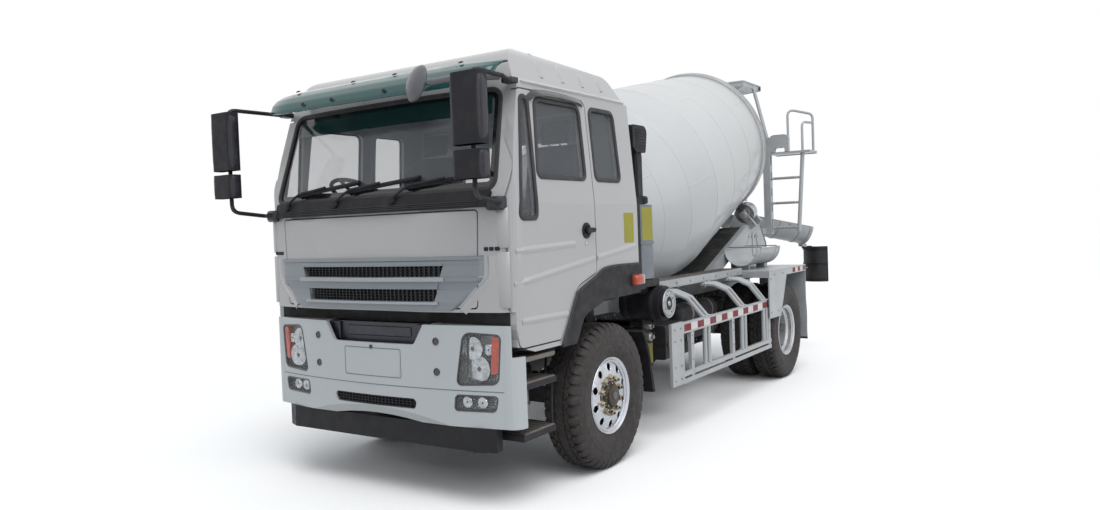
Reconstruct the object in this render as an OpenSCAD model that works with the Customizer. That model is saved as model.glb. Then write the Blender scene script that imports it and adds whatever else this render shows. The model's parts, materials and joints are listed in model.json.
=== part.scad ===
// Two-axle concrete mixer truck with a forward-control cab, in millimetres.
// +X is the truck's left side, -Y its front and +Z up.
// Modules are written with y = 0 at the front axle; place() moves them so that
// the origin lies on the ground under the middle of the truck.

/* [Wheels and axles] */
// From the front axle to the rear axle
wheelbase = 4030; // [3900:10:4200]
// Outer diameter of a tyre
tyre_d = 1070; // [1040:5:1080]
// Width of a tyre
tyre_w = 290; // [260:5:300]
// Diameter of a rim at its lips
rim_d = 560; // [520:5:600]
// From the middle of the truck to the middle of a front tyre
front_track_half = 1020; // [1000:5:1040]
// From the middle of the truck to the middle of a twin pair
rear_track_half = 885; // [870:5:900]
// Distance between the two tyres of a twin pair
twin_spacing = 340; // [325:5:350]
// From a king pin out to the middle of its tyre
king_pin_offset = 230; // [220:5:250]
// Round holes in a rim's disc
rim_holes = 10; // [8:1:12]

/* [Chassis frame] */
// Width over the two frame rails
frame_w = 860; // [820:10:880]
// Height of a frame rail
rail_h = 250; // [220:5:280]
// Top of the frame rails above the ground
rail_top = 1000; // [980:5:1010]
// Width of a rail's flange
rail_flange = 80; // [60:5:90]
// Thickness of the rail's plate
rail_t = 10; // [8:1:14]
// Front end of the rails
rail_front = -1120; // [-1140:5:-1080]
// From the rear axle to the rear end of the rails
rear_overhang = 930; // [870:10:1030]

/* [Cab] */
// Width of the cab
cab_w = 2300; // [2240:10:2340]
// Rear wall of the cab behind the front axle
cab_rear = 500; // [470:5:520]
// Height of the roof's highest line
cab_roof = 3000; // [2940:10:3060]
// Thickness of the cab's walls and doors
cab_wall = 40; // [30:1:50]
// Gap round a door
door_gap = 10; // [8:1:14]
// Lower edge of the windscreen
screen_bottom = 2050; // [2030:5:2080]
// Upper edge of the windscreen
screen_top = 2700; // [2660:5:2720]
// Radius of the front's bow seen from above
front_bow = 5200; // [4600:100:6500]
// Radius of the windscreen's curve
screen_r = 9000; // [7000:500:12000]
// Thickness of a window pane
glass_t = 6; // [4:1:8]

/* [Bumper] */
// Front face of the bumper ahead of the front axle
bumper_front = 1290; // [1270:5:1300]
// Lower edge of the bumper
bumper_bottom = 530; // [500:5:560]
// Upper edge of the bumper
bumper_top = 1185; // [1170:5:1195]
// Thickness of the bumper's skin
bumper_t = 25; // [15:1:35]

/* [Mixer drum] */
// Height of the drum's axis at its seam
drum_z = 2174; // [2160:2:2200]
// The seam behind the front axle
drum_y = 2420; // [2400:5:2440]
// Tilt of the drum's axis, rising to the rear
drum_tilt = 16.5; // [16:0.1:17]
// Radius of the drum at its seam
drum_r = 1039; // [1020:1:1042]
// Radius of the drum at the front of its belly
belly_r = 986; // [960:2:990]
// Radius of the track ring
ring_r = 909; // [895:1:912]
// Radius of the mouth
mouth_r = 470; // [430:5:500]
// Thickness of the drum's plate
drum_t = 8; // [5:1:12]
// Radius of a support roller
roller_r = 120; // [110:1:130]

/* [Rear equipment] */
// Width of the discharge chute
chute_w = 460; // [420:5:500]
// Length of the discharge chute
chute_l = 1150; // [1050:10:1250]
// Angle of the parked chute from straight back, towards the left
chute_parked = 45; // [40:1:50]
// Downward slope of the parked chute
chute_slope = 12; // [10:1:15]
// Diameter of the side guard's tubes
tube_d = 42; // [34:1:48]

/* [Hidden] */

$fn = 48;
fit_gap = 0.3;          // left between pieces that only rest on each other
axle_z = tyre_d / 2;
front_reach = 1620;     // foremost point, the mirrors' faces
rear_reach = 6450;      // rearmost point, the chute's flap
origin_y = -(rear_reach - front_reach) / 2;
cab_half = cab_w / 2;
rail_outer = frame_w / 2;
king_pin_x = front_track_half - king_pin_offset;
rail_rear = wheelbase + rear_overhang;
rail_inner = rail_outer - rail_flange;
rail_bottom = rail_top - rail_h;

// Paint and material colours
paint = [0.80, 0.80, 0.78];
steel_paint = [0.76, 0.78, 0.79];
drum_paint = [0.82, 0.83, 0.84];
dark = [0.13, 0.13, 0.14];
chassis_grey = [0.20, 0.21, 0.23];
rubber = [0.10, 0.09, 0.09];
polished = [0.78, 0.79, 0.80];
teal = [0.10, 0.36, 0.36];
glass = [0.55, 0.62, 0.66, 0.4];

// Outline helpers
function unit(v) = v / norm(v);
function at(p) = [p[0], p[1]];

// Arc that rounds corner b between a and c with radius r, in n steps
function corner(a, b, c, r, n) = r <= 0 ? [b] :
    let (
        u = unit(a - b), v = unit(c - b), half = acos(u * v) / 2,
        centre = b + unit(u + v) * r / sin(half),
        s = b + u * r / tan(half) - centre, e = b + v * r / tan(half) - centre,
        a0 = atan2(s.y, s.x), raw = atan2(e.y, e.x) - a0,
        turn = raw > 180 ? raw - 360 : raw < -180 ? raw + 360 : raw
    ) [for (i = [0 : n]) centre + r * [cos(a0 + turn * i / n), sin(a0 + turn * i / n)]];

// Outline from a table of [across, up, corner radius]
function outline(p, n = 5) = let (k = len(p)) [for (i = [0 : k - 1])
    each corner(at(p[(i + k - 1) % k]), at(p[i]), at(p[(i + 1) % k]), p[i][2], n)];

// The same table with every edge of a counter-clockwise outline moved inwards by e
function inset(p, e) = let (k = len(p)) [for (i = [0 : k - 1])
    let (
        a = at(p[(i + k - 1) % k]), b = at(p[i]), c = at(p[(i + 1) % k]),
        u = unit(a - b), v = unit(c - b), half = acos(u * v) / 2,
        convex = cross(c - b, a - b) > 0 ? 1 : -1,
        q = b + convex * unit(u + v) * e / sin(half)
    ) [q.x, q.y, max(0, p[i][2] - convex * e)]];

function mirrored(p) = concat(p, [for (i = [len(p) - 1 : -1 : 0]) [-p[i][0], p[i][1], p[i][2]]]);

// Points on an arc round c from angle a to b
function arc(c, r, a, b, n) = [for (i = [0 : n]) let (t = a + (b - a) * i / n) c + r * [cos(t), sin(t)]];

module along_x(x0, x1) translate([x0, 0, 0]) rotate([90, 0, 90]) linear_extrude(x1 - x0) children();
module along_y(y0, y1) translate([0, y1, 0]) rotate([90, 0, 0]) linear_extrude(y1 - y0) children();
module along_z(z0, z1) translate([0, 0, z0]) linear_extrude(z1 - z0) children();
module both_sides() { children(); mirror([1, 0, 0]) children(); }
module block(a, b) translate(a) cube(b - a);
module revolve_x(x) translate([x, 0, 0]) rotate([0, 90, 0]) rotate_extrude() children();
module rod_x(x0, x1, y, z, r) translate([x0, y, z]) rotate([0, 90, 0]) cylinder(r = r, h = x1 - x0);
module place() translate([0, origin_y, 0]) children();

// Straight round tube from a to b
module tube(a, b, d = tube_d) {
    v = b - a;
    translate(a) rotate([0, acos(v.z / norm(v)), atan2(v.y, v.x)]) cylinder(d = d, h = norm(v));
}

// Path through a list of points with bends of radius r, in n steps a bend
function bend(a, b, c, r, n) = let (
        u = unit(a - b), v = unit(c - b), half = acos(u * v) / 2,
        centre = b + unit(u + v) * r / sin(half), e1 = unit(b + u * r / tan(half) - centre)
    ) [for (i = [0 : n]) let (t = (180 - 2 * half) * i / n) centre + r * (cos(t) * e1 - sin(t) * u)];
function rounded_path(p, r, n = 3) = concat([p[0]],
    [for (i = [1 : 1 : len(p) - 2]) each bend(p[i - 1], p[i], p[i + 1], r, n)], [p[len(p) - 1]]);

function across(v) = unit(cross(v, abs(v.z) < 0.9 * norm(v) ? [0, 0, 1] : [1, 0, 0]));
function heading(p, i) = unit(p[min(i + 1, len(p) - 1)] - p[max(i - 1, 0)]);
// Sideways direction at each point of a path, carried along without twist
function carried(p, i, side) = i >= len(p) ? [] :
    let (t = heading(p, i), s = unit(side - (side * t) * t)) concat([s], carried(p, i + 1, s));

// Bent round tube of diameter d along a path
module tube_run(points, d = tube_d, r = 60, sides = 8) {
    p = rounded_path(points, r);
    side = carried(p, 0, across(heading(p, 0)));
    k = len(p);
    polyhedron([for (i = [0 : k - 1]) let (t = heading(p, i), s = side[i], w = cross(t, s))
            for (j = [0 : sides - 1]) p[i] + d / 2 * (cos(360 * j / sides) * s + sin(360 * j / sides) * w)],
        concat([[for (j = [0 : sides - 1]) j]], [[for (j = [sides - 1 : -1 : 0]) (k - 1) * sides + j]],
            [for (i = [0 : k - 2], j = [0 : sides - 1]) let (n = (j + 1) % sides)
                [i * sides + j, (i + 1) * sides + j, (i + 1) * sides + n, i * sides + n]]));
}

// Chassis
cross_member_y = [-1060, 1250, 2050, 3300, rail_rear - 110];
// Towing plate at the rear: hole spacing across and up, hole radius and the pattern's height
tow_spacing = [160, 100];
tow_hole_r = 10.5;
tow_z = 875;
// The cab tilts about this point of the side view
tilt_pivot = [-1185, 1150];
tilt_pin_r = 20;

module frame_rails() color(chassis_grey) {
    both_sides() along_y(rail_front, rail_rear) polygon([
        [rail_outer, rail_bottom], [rail_outer, rail_top], [rail_inner, rail_top],
        [rail_inner, rail_top - rail_t], [rail_outer - rail_t, rail_top - rail_t],
        [rail_outer - rail_t, rail_bottom + rail_t], [rail_inner, rail_bottom + rail_t],
        [rail_inner, rail_bottom]]);
    for (y = cross_member_y) block([-rail_outer + rail_t - 1, y - 40, rail_bottom + 110],
        [rail_outer - rail_t + 1, y + 40, rail_top - 40]);
    both_sides() difference() {
        along_x(rail_outer - rail_t, rail_outer + 30) polygon(outline([
            [rail_front + 140, rail_bottom + 30, 20], [rail_front + 140, rail_top, 20],
            [tilt_pivot.x + 42, tilt_pivot.y + 42, 40], [tilt_pivot.x - 42, tilt_pivot.y + 42, 40],
            [rail_front - 90, rail_top, 20], [rail_front - 60, rail_bottom + 30, 20]]));
        rod_x(rail_outer - 40, rail_outer + 60, tilt_pivot.x, tilt_pivot.y, tilt_pin_r + fit_gap);
    }
    along_y(rail_rear - 12, rail_rear) difference() {
        translate([-rail_outer, rail_bottom]) square([frame_w, rail_h]);
        for (x = [-1, 1], z = [-1, 1]) translate([x * tow_spacing.x / 2, tow_z + z * tow_spacing.y / 2])
            circle(r = tow_hole_r);
    }
}

// Leaf pack: columns are half length and how far the leaf lies below the first
leaf_t = 15;
leaves = [[640, 0], [560, 1], [440, 2], [310, 3]];
leaf_w = 80;
spring_x = rail_outer - 40;

module leaf_pack(y, seat_z, sag) {
    r = (pow(leaves[0][0], 2) + sag * sag) / (2 * sag);
    top = seat_z + len(leaves) * leaf_t;
    for (leaf = leaves) {
        outer = r + leaf[1] * leaf_t;
        span = asin(leaf[0] / r);
        translate([0, y, top + r - leaf_t]) both_sides()
            along_x(spring_x - leaf_w / 2, spring_x + leaf_w / 2)
            polygon(concat(arc([0, 0], outer + 0.5, -90 - span, -90 + span, 10),
                arc([0, 0], outer - leaf_t, -90 + span, -90 - span, 10)));
    }
    for (end = [-1, 1]) both_sides()
        block([spring_x - leaf_w / 2 - 8, y + end * leaves[0][0] - 45, top + sag - 40],
            [spring_x + leaf_w / 2 + 8, y + end * leaves[0][0] + 45, rail_bottom - fit_gap]);
}

// Steering head: the pin, the beam's boss round it and the knuckle's fork over and under the boss
king_pin_r = 22;
boss_r = 55;
boss_half = 70;
fork_t = 40;
fork_gap = 2;
fork_reach = boss_half + fork_gap + fork_t;
beam_top = axle_z + 20;
beam_half = 45;
module front_axle() color(dark) {
    difference() {
        union() {
            along_y(-beam_half, beam_half) polygon(outline(mirrored([
                [king_pin_x - 230, beam_top - 110, 60], [king_pin_x - 90, axle_z - 60, 60],
                [king_pin_x, axle_z - 60, 0], [king_pin_x, axle_z + 60, 0],
                [king_pin_x - 110, axle_z + 60, 60], [king_pin_x - 250, beam_top, 60]])));
            both_sides() translate([king_pin_x, 0, axle_z - boss_half])
                cylinder(r = boss_r, h = 2 * boss_half);
        }
        both_sides() translate([king_pin_x, 0, axle_z - fork_reach])
            cylinder(r = king_pin_r + fit_gap, h = 2 * fork_reach);
    }
    leaf_pack(0, beam_top, 95);
}

tube_r = 75;
module rear_axle() color(dark) {
    rod_x(-rear_track_half + 25, rear_track_half - 25, wheelbase, axle_z, tube_r);
    translate([0, wheelbase, axle_z]) rotate([90, 0, 0]) cylinder(r = 215, h = 200, center = true);
    translate([0, wheelbase, axle_z]) rotate([90, 0, 0]) cylinder(r1 = 150, r2 = 80, h = 260);
    leaf_pack(wheelbase, axle_z + tube_r - 5, 75);
}

engine_front = -960;
engine_rear = 560;
gearbox_rear = 1150;
gearbox_z = 800;
module engine_block() color(chassis_grey) {
    along_y(engine_front, engine_rear) polygon(outline([[-230, 600, 40], [230, 600, 40], [325, 760, 60],
        [325, 1330, 60], [-325, 1330, 60], [-325, 760, 60]]));
    translate([0, gearbox_rear, gearbox_z]) rotate([90, 0, 0])
        cylinder(r1 = 120, r2 = 210, h = gearbox_rear - engine_rear + 10);
}

module propshaft() color(dark) {
    front = [0, gearbox_rear + fit_gap, gearbox_z];
    rear = [0, wheelbase - 265, axle_z + 15];
    tube(front + [0, 30, -1], rear, 90);
    translate(front) rotate([-90, 0, 0]) cylinder(r = 75, h = 40);
}

// Bumper, lamps and steps
function bow(x, front) = -front + front_bow - sqrt(front_bow * front_bow - x * x);

// Plan of the bumper, inset by e
function bumper_outline(e) = outline(concat(
    [[-cab_half + e, -1080, 0], [-cab_half + e, -1175, 90]],
    [for (x = [-1040 + e / 2 : 130 : 1041 - e / 2]) [x, bow(x, bumper_front) + e, 0]],
    [[cab_half - e, -1175, 90], [cab_half - e, -1080, 0]]), 4);

bumper_end = -1168;
door_sill = 1040;
lamp = [[710, 800, 30], [1010, 815, 50], [1035, 1125, 30], [770, 1140, 60]];
fog_lamp = [[690, 635, 20], [985, 640, 30], [1005, 735, 20], [700, 735, 30]];
low_grille = [[-400, 690, 30], [-370, 620, 20], [370, 620, 20], [400, 690, 30]];
top_recess = [[-470, 1200, 0], [-380, 1050, 40], [380, 1050, 40], [470, 1200, 0]];

module bumper() color(paint) difference() {
    along_z(bumper_bottom, bumper_top) difference() {
        polygon(bumper_outline(0));
        polygon(bumper_outline(bumper_t));
        translate([-cab_half - 1, -1082]) square([cab_w + 2, 400]);
    }
    block([-cab_half - 1, bumper_end, 985], [cab_half + 1, -1000, bumper_top + 1]);
    both_sides() along_y(-1400, -1090) polygon(outline(lamp));
    both_sides() along_y(-1400, -1090) polygon(outline(fog_lamp));
    along_y(-1400, -1150) polygon(outline(low_grille));
    along_y(-1400, -1150) polygon(outline(top_recess));
    along_x(-cab_half - 1, cab_half + 1) polygon([[-1400, 500], [-1235, 500], [-1300, 640]]);
}

module underrun_bar() color(dark) {
    along_z(375, bumper_bottom - fit_gap) polygon([[-980, -1130], [-980, -1190], [-880, -1235], [880, -1235],
        [980, -1190], [980, -1130]]);
    both_sides() {
        block([rail_outer + 30 + fit_gap, -1160, 500], [rail_outer + 62, -1060, rail_bottom + 130]);
        block([rail_outer + 60, -1100, bumper_bottom + 120], [cab_half - bumper_t - 6, -1085, cab_sill - 20]);
    }
}

module headlamps() color(polished) both_sides() {
    for (shape = [lamp, fog_lamp]) intersection() {
        along_y(-1400, -1101) polygon(outline(inset(shape, 0.5)));
        along_z(bumper_bottom, bumper_top) difference() {
            polygon(bumper_outline(2));
            translate([0, bumper_t]) polygon(bumper_outline(2));
        }
    }
}

// Steps: columns are height of the tread and its outer edge
step_rows = [[470, 1110], [800, 1125]];
module steps() color(dark) both_sides() {
    for (row = step_rows) block([840, -1075, row[0] - 40], [row[1], -700, row[0]]);
    block([800, -1060, 430], [840, -720, 940]);
    block([rail_outer + fit_gap, -920, 850], [820, -860, 920]);
}

guard_r = 650;
module front_mudguards() color(dark) both_sides() {
    along_x(880, cab_half - 5) polygon(concat(
        arc([0, axle_z + 30], guard_r + 22, 35, 8, 5), [[720, 430], [690, 430]],
        arc([0, axle_z + 30], guard_r, 8, 35, 5)));
    block([rail_outer + fit_gap, 590, 830], [900, 628, 870]);
}

// Left and right equipment
module air_filter() {
    color(dark) rod_x(720, 1090, 1080, 1115, 150);
    color(polished) rod_x(1090, 1125, 1080, 1115, 120);
    color(dark) block([rail_outer, 1040, 900], [760, 1120, 965]);
}

module intake_duct() color(chassis_grey) {
    along_x(940, 1060) polygon(outline([[700, 2380, 20], [860, 2380, 20], [900, 2600, 60], [640, 2600, 20],
        [640, 2420, 20]]));
    block([960, 720, 1260], [1040, 820, 2385]);
    block([850, 740, 1270], [1040, 1080, 1330]);
    block([rail_outer, 740, 880], [500, 800, 1330]);
    block([480, 740, 1270], [880, 800, 1330]);
}

module fuel_tank() color(polished) {
    along_y(1150, 2250) polygon(outline([
        [-1090, 540, 90], [-560, 540, 90], [-560, 1030, 90], [-1090, 1030, 90]], 6));
    for (y = [1350, 2050]) block([-570, y - 30, 780], [-rail_outer - fit_gap, y + 30, 960]);
}

module battery_box() color(dark) {
    along_y(1450, 1950) polygon(outline([[540, 560, 20], [900, 560, 20], [900, 860, 20], [540, 860, 20]]));
    for (z = [640, 800]) translate([650, 2120, z + 80]) rotate([-90, 0, 0]) cylinder(r = 110, h = 900);
    for (y = [1600, 2400, 2900]) block([rail_outer, y - 30, 780], [660, y + 30, 830]);
}

// Mixer body
fender_top = 1245;
fender_x = rear_track_half + twin_spacing / 2 + tyre_w / 2 + 25;
fender_front = wheelbase - 690;
fender_rear = wheelbase + 620;
guard_x = fender_x - 25;
subframe_top = rail_top + 100;
subframe_front = 1000;
subframe_rear = rail_rear - 20;
deck_x = guard_x - 270;
deck_z = 1300;
deck_front = 1250;
deck_rear = fender_front - 5;
outrigger_y = [deck_front + 50, 2100, deck_rear - 455];
module mixer_subframe() color(steel_paint) {
    both_sides() {
        block([rail_inner, subframe_front, rail_top + fit_gap], [rail_outer, subframe_rear, subframe_top]);
        for (y = outrigger_y) along_y(y - 35, y + 35) polygon([
            [rail_outer - 1, rail_top + 2], [rail_outer - 1, subframe_top], [720, deck_z - 60],
            [720, deck_z - 30], [deck_x - 50, deck_z - 30], [deck_x - 50, deck_z - 95],
            [deck_x - 170, deck_z - 120], [520, rail_top + 2]]);
        block([deck_x - 60, deck_front, deck_z - 90], [deck_x, deck_rear, deck_z - 20]);
        block([700, deck_front, deck_z - 30], [deck_x, deck_rear, deck_z - 20]);
    }
    for (y = [subframe_front + 100, fender_front - 90, subframe_rear - 60])
        block([-rail_inner - 1, y - 40, rail_top + 20], [rail_inner + 1, y + 40, rail_top + 60]);
}

// Point on the drum's axis, s behind its seam
function on_axis(s) = [0, drum_y + s * cos(drum_tilt), drum_z + s * sin(drum_tilt)];
module on_drum_axis(s = 0) translate(on_axis(s)) rotate([drum_tilt - 90, 0, 0]) children();

belly_s = -527;
head_s = -1227;
head_r = 745;
nose_s = -1440;
nose_r = 300;
ring_s = 1893;
mouth_s = 2900;

// Vertical pivot of the chute, and the pin it is raised about
swivel = [0, 5330, 1560];
swivel_r = 40;
chute_pin_z = 60;
chute_pin_r = 15;
gearbox_r = 185;
flange_s = nose_s - 330;    // front face of the plate that carries the gearbox
module front_pedestal() color(steel_paint) {
    difference() {
        on_drum_axis(flange_s) translate([-300, -270, 0]) cube([600, 530, 30]);
        on_drum_axis(flange_s - 1) cylinder(r = gearbox_r + fit_gap, h = 32);
    }
    top = on_axis(flange_s);
    both_sides() {
        along_x(290, 330) polygon(outline([[800, subframe_top + 1, 0], [1180, subframe_top + 1, 0],
            [top.y + 190, top.z - 240, 30], [top.y + 20, top.z + 90, 30], [top.y - 10, top.z, 10]]));
        block([280, 800, subframe_top + fit_gap], [rail_outer, 1180, subframe_top + 15]);
    }
}

module drum_gearbox() color(chassis_grey) {
    on_drum_axis(flange_s - 60) cylinder(r = gearbox_r, h = nose_s - flange_s + 60 - fit_gap);
    on_drum_axis(flange_s - 60) cylinder(r = gearbox_r + 40, h = 60 - fit_gap);
    on_drum_axis(flange_s - 170) cylinder(r = 110, h = 120);
}

// Outer line of the drum: columns are place along the axis and radius
drum_line = [[nose_s, 0], [nose_s, nose_r], [nose_s + 40, 470], [head_s - 60, 640], [head_s, head_r],
    [belly_s, belly_r], [0, drum_r], [ring_s - 45, ring_r - 28], [ring_s - 45, ring_r],
    [ring_s + 45, ring_r], [ring_s + 45, ring_r - 30], [mouth_s - 90, mouth_r], [mouth_s, mouth_r]];
drum_inner = [[mouth_s, mouth_r - drum_t], [mouth_s - 92, mouth_r - drum_t],
    [ring_s + 45, ring_r - 40], [0, drum_r - drum_t - 1], [belly_s, belly_r - drum_t],
    [head_s, head_r - drum_t], [head_s - 60 + drum_t, 630], [nose_s + 40 + drum_t, 460],
    [nose_s + drum_t, 280], [nose_s + drum_t, 0]];
module drum_shell() color(drum_paint) on_drum_axis()
    rotate_extrude($fn = 96) polygon([for (p = concat(drum_line, drum_inner)) [p[1], p[0]]]);

// Two spiral blades stand on the drum's inside, their free edge leaning to the rear.
// Their height is a table of [place along the axis, height].
blade_from = -1080;
blade_to = 2650;
blade_turns = 2.25;
blade_steps = 48;       // steps in a full turn
blade_height = [[blade_from, 90], [belly_s, 255], [ring_s, 225], [blade_to, 120]];
blade_t = 6;
blade_lean = 45;

// Section at s, as corners of [radius, place]: first the foot, which follows the wall, then the free edge
function blade_section(s) = [for (c = [[-1, 0], [1, 0], [1, 1], [-1, 1]])
    let (w = s + c[0] * blade_t / 2)
        [lookup(w, drum_inner) - fit_gap - c[1] * lookup(s, blade_height), w + c[1] * blade_lean]];
module blade() {
    k = blade_turns * blade_steps;
    polyhedron([for (i = [0 : k]) let (a = i * 360 / blade_steps)
            for (p = blade_section(blade_from + (blade_to - blade_from) * i / k))
                [p[0] * cos(a), p[0] * sin(a), p[1]]],
        concat([[3, 2, 1, 0]], [[for (j = [0 : 3]) 4 * k + j]],
            [for (i = [0 : k - 1], j = [0 : 3]) let (b = 4 * i, n = (j + 1) % 4)
                each [[b + j, b + n, b + 4 + n], [b + j, b + 4 + n, b + 4 + j]]]));
}
module drum_blades() color(drum_paint) on_drum_axis()
    for (turn = [0, 180]) rotate([0, 0, turn]) blade();

// Support rollers under the track ring
roller_at = 34;
roller_gap = 0.5;
module on_roller(side) on_drum_axis(ring_s) rotate([0, 0, side * roller_at])
    translate([0, ring_r + roller_r + roller_gap, 0]) children();
module roller(side) color(polished) on_roller(side) difference() {
    translate([0, 0, -60]) cylinder(r = roller_r, h = 120);
    translate([0, 0, -70]) cylinder(r = 35 + fit_gap, h = 140);
}
module roller_left() roller(-1);
module roller_right() roller(1);

// Side plates of the rear pedestal, with the window cut in them: rows of [y, z, corner radius]
pedestal_x = 640;
pedestal_in = 590;
pedestal_front = wheelbase - 1080;
pedestal_rear = subframe_rear + 10;
pedestal_side = [[pedestal_front, subframe_top + 1, 0], [pedestal_rear, subframe_top + 1, 0],
    [pedestal_rear, 1500, 60], [pedestal_rear - 190, 1740, 40], [pedestal_rear - 650, 1740, 60],
    [pedestal_front, 1200, 20]];
pedestal_window = [[pedestal_front + 350, 1180, 20], [pedestal_front + 950, 1180, 40],
    [pedestal_front + 950, 1430, 60]];
// The arm that carries the chute's pivot: underside and top
arm_z = [1330, 1400];
module rear_pedestal() color(steel_paint) {
    both_sides() {
        difference() {
            along_x(pedestal_in, pedestal_x) polygon(outline(pedestal_side));
            along_x(pedestal_in - 10, pedestal_x + 10) polygon(outline(pedestal_window));
        }
        block([rail_inner, pedestal_front, subframe_top + fit_gap],
            [pedestal_x, subframe_rear, subframe_top + 20]);
    }
    block([-pedestal_in - 10, 4380, 1560], [pedestal_in + 10, 4620, 1640]);
    difference() {
        union() {
            block([-160, 4620, arm_z[0]], [160, swivel.y - 60, arm_z[1]]);
            translate([0, swivel.y, arm_z[0]]) cylinder(r = 90, h = arm_z[1] - arm_z[0]);
            block([-pedestal_in - 10, 4500, arm_z[0]], [pedestal_in + 10, 4640, arm_z[1]]);
        }
        translate([0, swivel.y, arm_z[0] - 30]) cylinder(r = swivel_r + fit_gap, h = 200);
    }
    for (side = [-1, 1]) on_roller(side) {
        translate([0, 0, -110]) cylinder(r = 35, h = 220);
        for (z = [-110, 75]) translate([-45, -45, z]) cube([90, 240, 35]);
    }
}

module rear_fenders() color(steel_paint) both_sides() {
    along_x(fender_x - 12, fender_x) polygon([[fender_front, 740], [fender_front + 360, 740],
        [fender_front + 590, fender_top - 65], [fender_rear, fender_top - 65], [fender_rear, fender_top],
        [fender_front, fender_top]]);
    block([pedestal_x + fit_gap, fender_front, fender_top - 8], [fender_x, fender_rear, fender_top]);
    for (y = [fender_front + 20, fender_rear - 50])
        block([pedestal_x + fit_gap, y - 20, fender_top - 70], [fender_x - 12, y + 20, fender_top - 8]);
    block([660, fender_rear - 10, 380], [fender_x, fender_rear, fender_top]);
}

// Side guard: a plate, two lower rails, an upper rail, posts, and pairs of bent tubes up to the deck
guard_front = 1180;
guard_rear = wheelbase - 590;
guard_post_y = [guard_front + 200, 2350, guard_rear - 40];
guard_tube_z = deck_z - 90 - tube_d / 2 - fit_gap;
guard_tube_y = [1720, 2650, guard_rear - 155];
module side_guards() color(steel_paint) both_sides() {
    block([guard_x - 25, guard_front - 230, 420], [guard_x, guard_front + 10, 950]);
    for (z = [415, 475]) block([guard_x - 30, guard_front, z], [guard_x, guard_rear, z + 40]);
    block([guard_x - 30, guard_front, 845], [guard_x, guard_rear - 110, 940]);
    for (y = guard_post_y) block([guard_x - 35, y - 30, 420], [guard_x - 5, y + 30, 850]);
    for (y = guard_tube_y, dy = [-45, 45])
        tube_run([[deck_x - 30, y + dy - 330, guard_tube_z], [deck_x + 80, y + dy - 300, guard_tube_z],
            [deck_x + 160, y + dy - 150, guard_tube_z - 70], [guard_x - 22, y + dy, 930]]);
}

// Hopper: rows of [half width, front, rear, height] of its walls, from the rim down
hopper_rows = [[450, 4850, 5480, 3560], [450, 4850, 5480, 3500], [215, 5105, 5380, 3465],
    [190, 5105, 5360, 3260]];
hopper_t = 6;
module hopper_solid(e) for (i = [0 : len(hopper_rows) - 2]) hull()
    for (row = [hopper_rows[i], hopper_rows[i + 1]])
        translate([-row[0] + e, row[1] + e, row[3]]) cube([2 * (row[0] - e), row[2] - row[1] - 2 * e, 1]);
// Open end of the hopper in a row, from z0 to z1
module hopper_opening(row, e, z0, z1)
    block([-row[0] + e, row[1] + e, z0], [row[0] - e, row[2] - e, z1]);
module hopper() color(steel_paint) {
    difference() {
        hopper_solid(0);
        hopper_solid(hopper_t);
        hopper_opening(hopper_rows[0], hopper_t * 2, hopper_rows[0][3], hopper_rows[0][3] + 10);
        hopper_opening(hopper_rows[3], hopper_t, hopper_rows[3][3] - 10, hopper_rows[3][3] + 5);
    }
    along_x(-188, 188) polygon([[5358, 3266], [5060, 2996], [5068, 2990], [5358, 3256]]);
    both_sides() {
        tube([436, 5230, 3540], [620, tower_y, tower_top + 20], 45);
        block([tower_x[0], tower_y - 40, tower_top + fit_gap],
            [tower_x[1] - 10, tower_y + 40, tower_top + 30]);
    }
}

// Funnel under the mouth: rows of [half width, front, rear, height]
funnel_rows = [[440, 5245, 5640, 2490], [190, 5280, 5520, 2060]];
module discharge_funnel() color(steel_paint) {
    difference() {
        hull() for (row = funnel_rows)
            translate([-row[0], row[1], row[3]]) cube([2 * row[0], row[2] - row[1], 1]);
        hull() for (row = funnel_rows)
            translate([-row[0] + 6, row[1] + 6, row[3] + (row[3] > 2200 ? 1 : -1)])
                cube([2 * row[0] - 12, row[2] - row[1] - 12, 1]);
    }
    along_y(5634, 5640)
        polygon(outline([[-440, 2488, 0], [440, 2488, 0], [300, 2800, 60], [-300, 2800, 60]]));
}

// Towers beside the chute, which carry the hopper and the funnel; the left one is the ladder's inner stile
tower_x = [570, 660];
tower_y = 5195;
tower_top = 2810;
module tower() {
    block([tower_x[0], tower_y - 45, 1610], [tower_x[1], tower_y + 45, tower_top]);
    block([pedestal_in - 60, 4700, 1610], [pedestal_in - fit_gap, tower_y + 45, 1690]);
    block([funnel_rows[0][0] + fit_gap, 5200, 2460], [tower_x[0] + 10, 5300, funnel_rows[0][3] + 1]);
}
// Ladder on the left with a small platform, an arched stay and two bent hand rails at its top
rung_z = [1690, 2005, 2320];
platform_z = 2625;
stile_foot = [1000, tower_y, 1640];
stile_head = [1070, tower_y, platform_z + 10];
module ladder() color(steel_paint) {
    both_sides() tower();
    tube(stile_foot, stile_head, 50);
    for (z = rung_z) let (t = (z - stile_foot.z) / (stile_head.z - stile_foot.z))
        tube([tower_x[1] - 10, tower_y, z], stile_foot + t * (stile_head - stile_foot), 32);
    block([tower_x[1] - 10, tower_y - 45, platform_z], [1170, 5450, platform_z + 22]);
    along_y(tower_y - 30, tower_y + 30) polygon(outline([[655, platform_z + 10, 0], [720, platform_z + 10, 0],
        [720, 2710, 30], [850, 2710, 30], [850, platform_z + 10, 0], [900, platform_z + 10, 0],
        [900, 2870, 60], [655, 2870, 60]]));
    tube_run([[875, 5245, platform_z + 10], [875, 5245, 3190], [1140, 5420, 3120],
        [1140, 5420, platform_z + 10]], 32);
    tube_run([stile_head, stile_head + [0, 0, 375], [1136, 5400, platform_z + 385]], 32);
}

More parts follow.
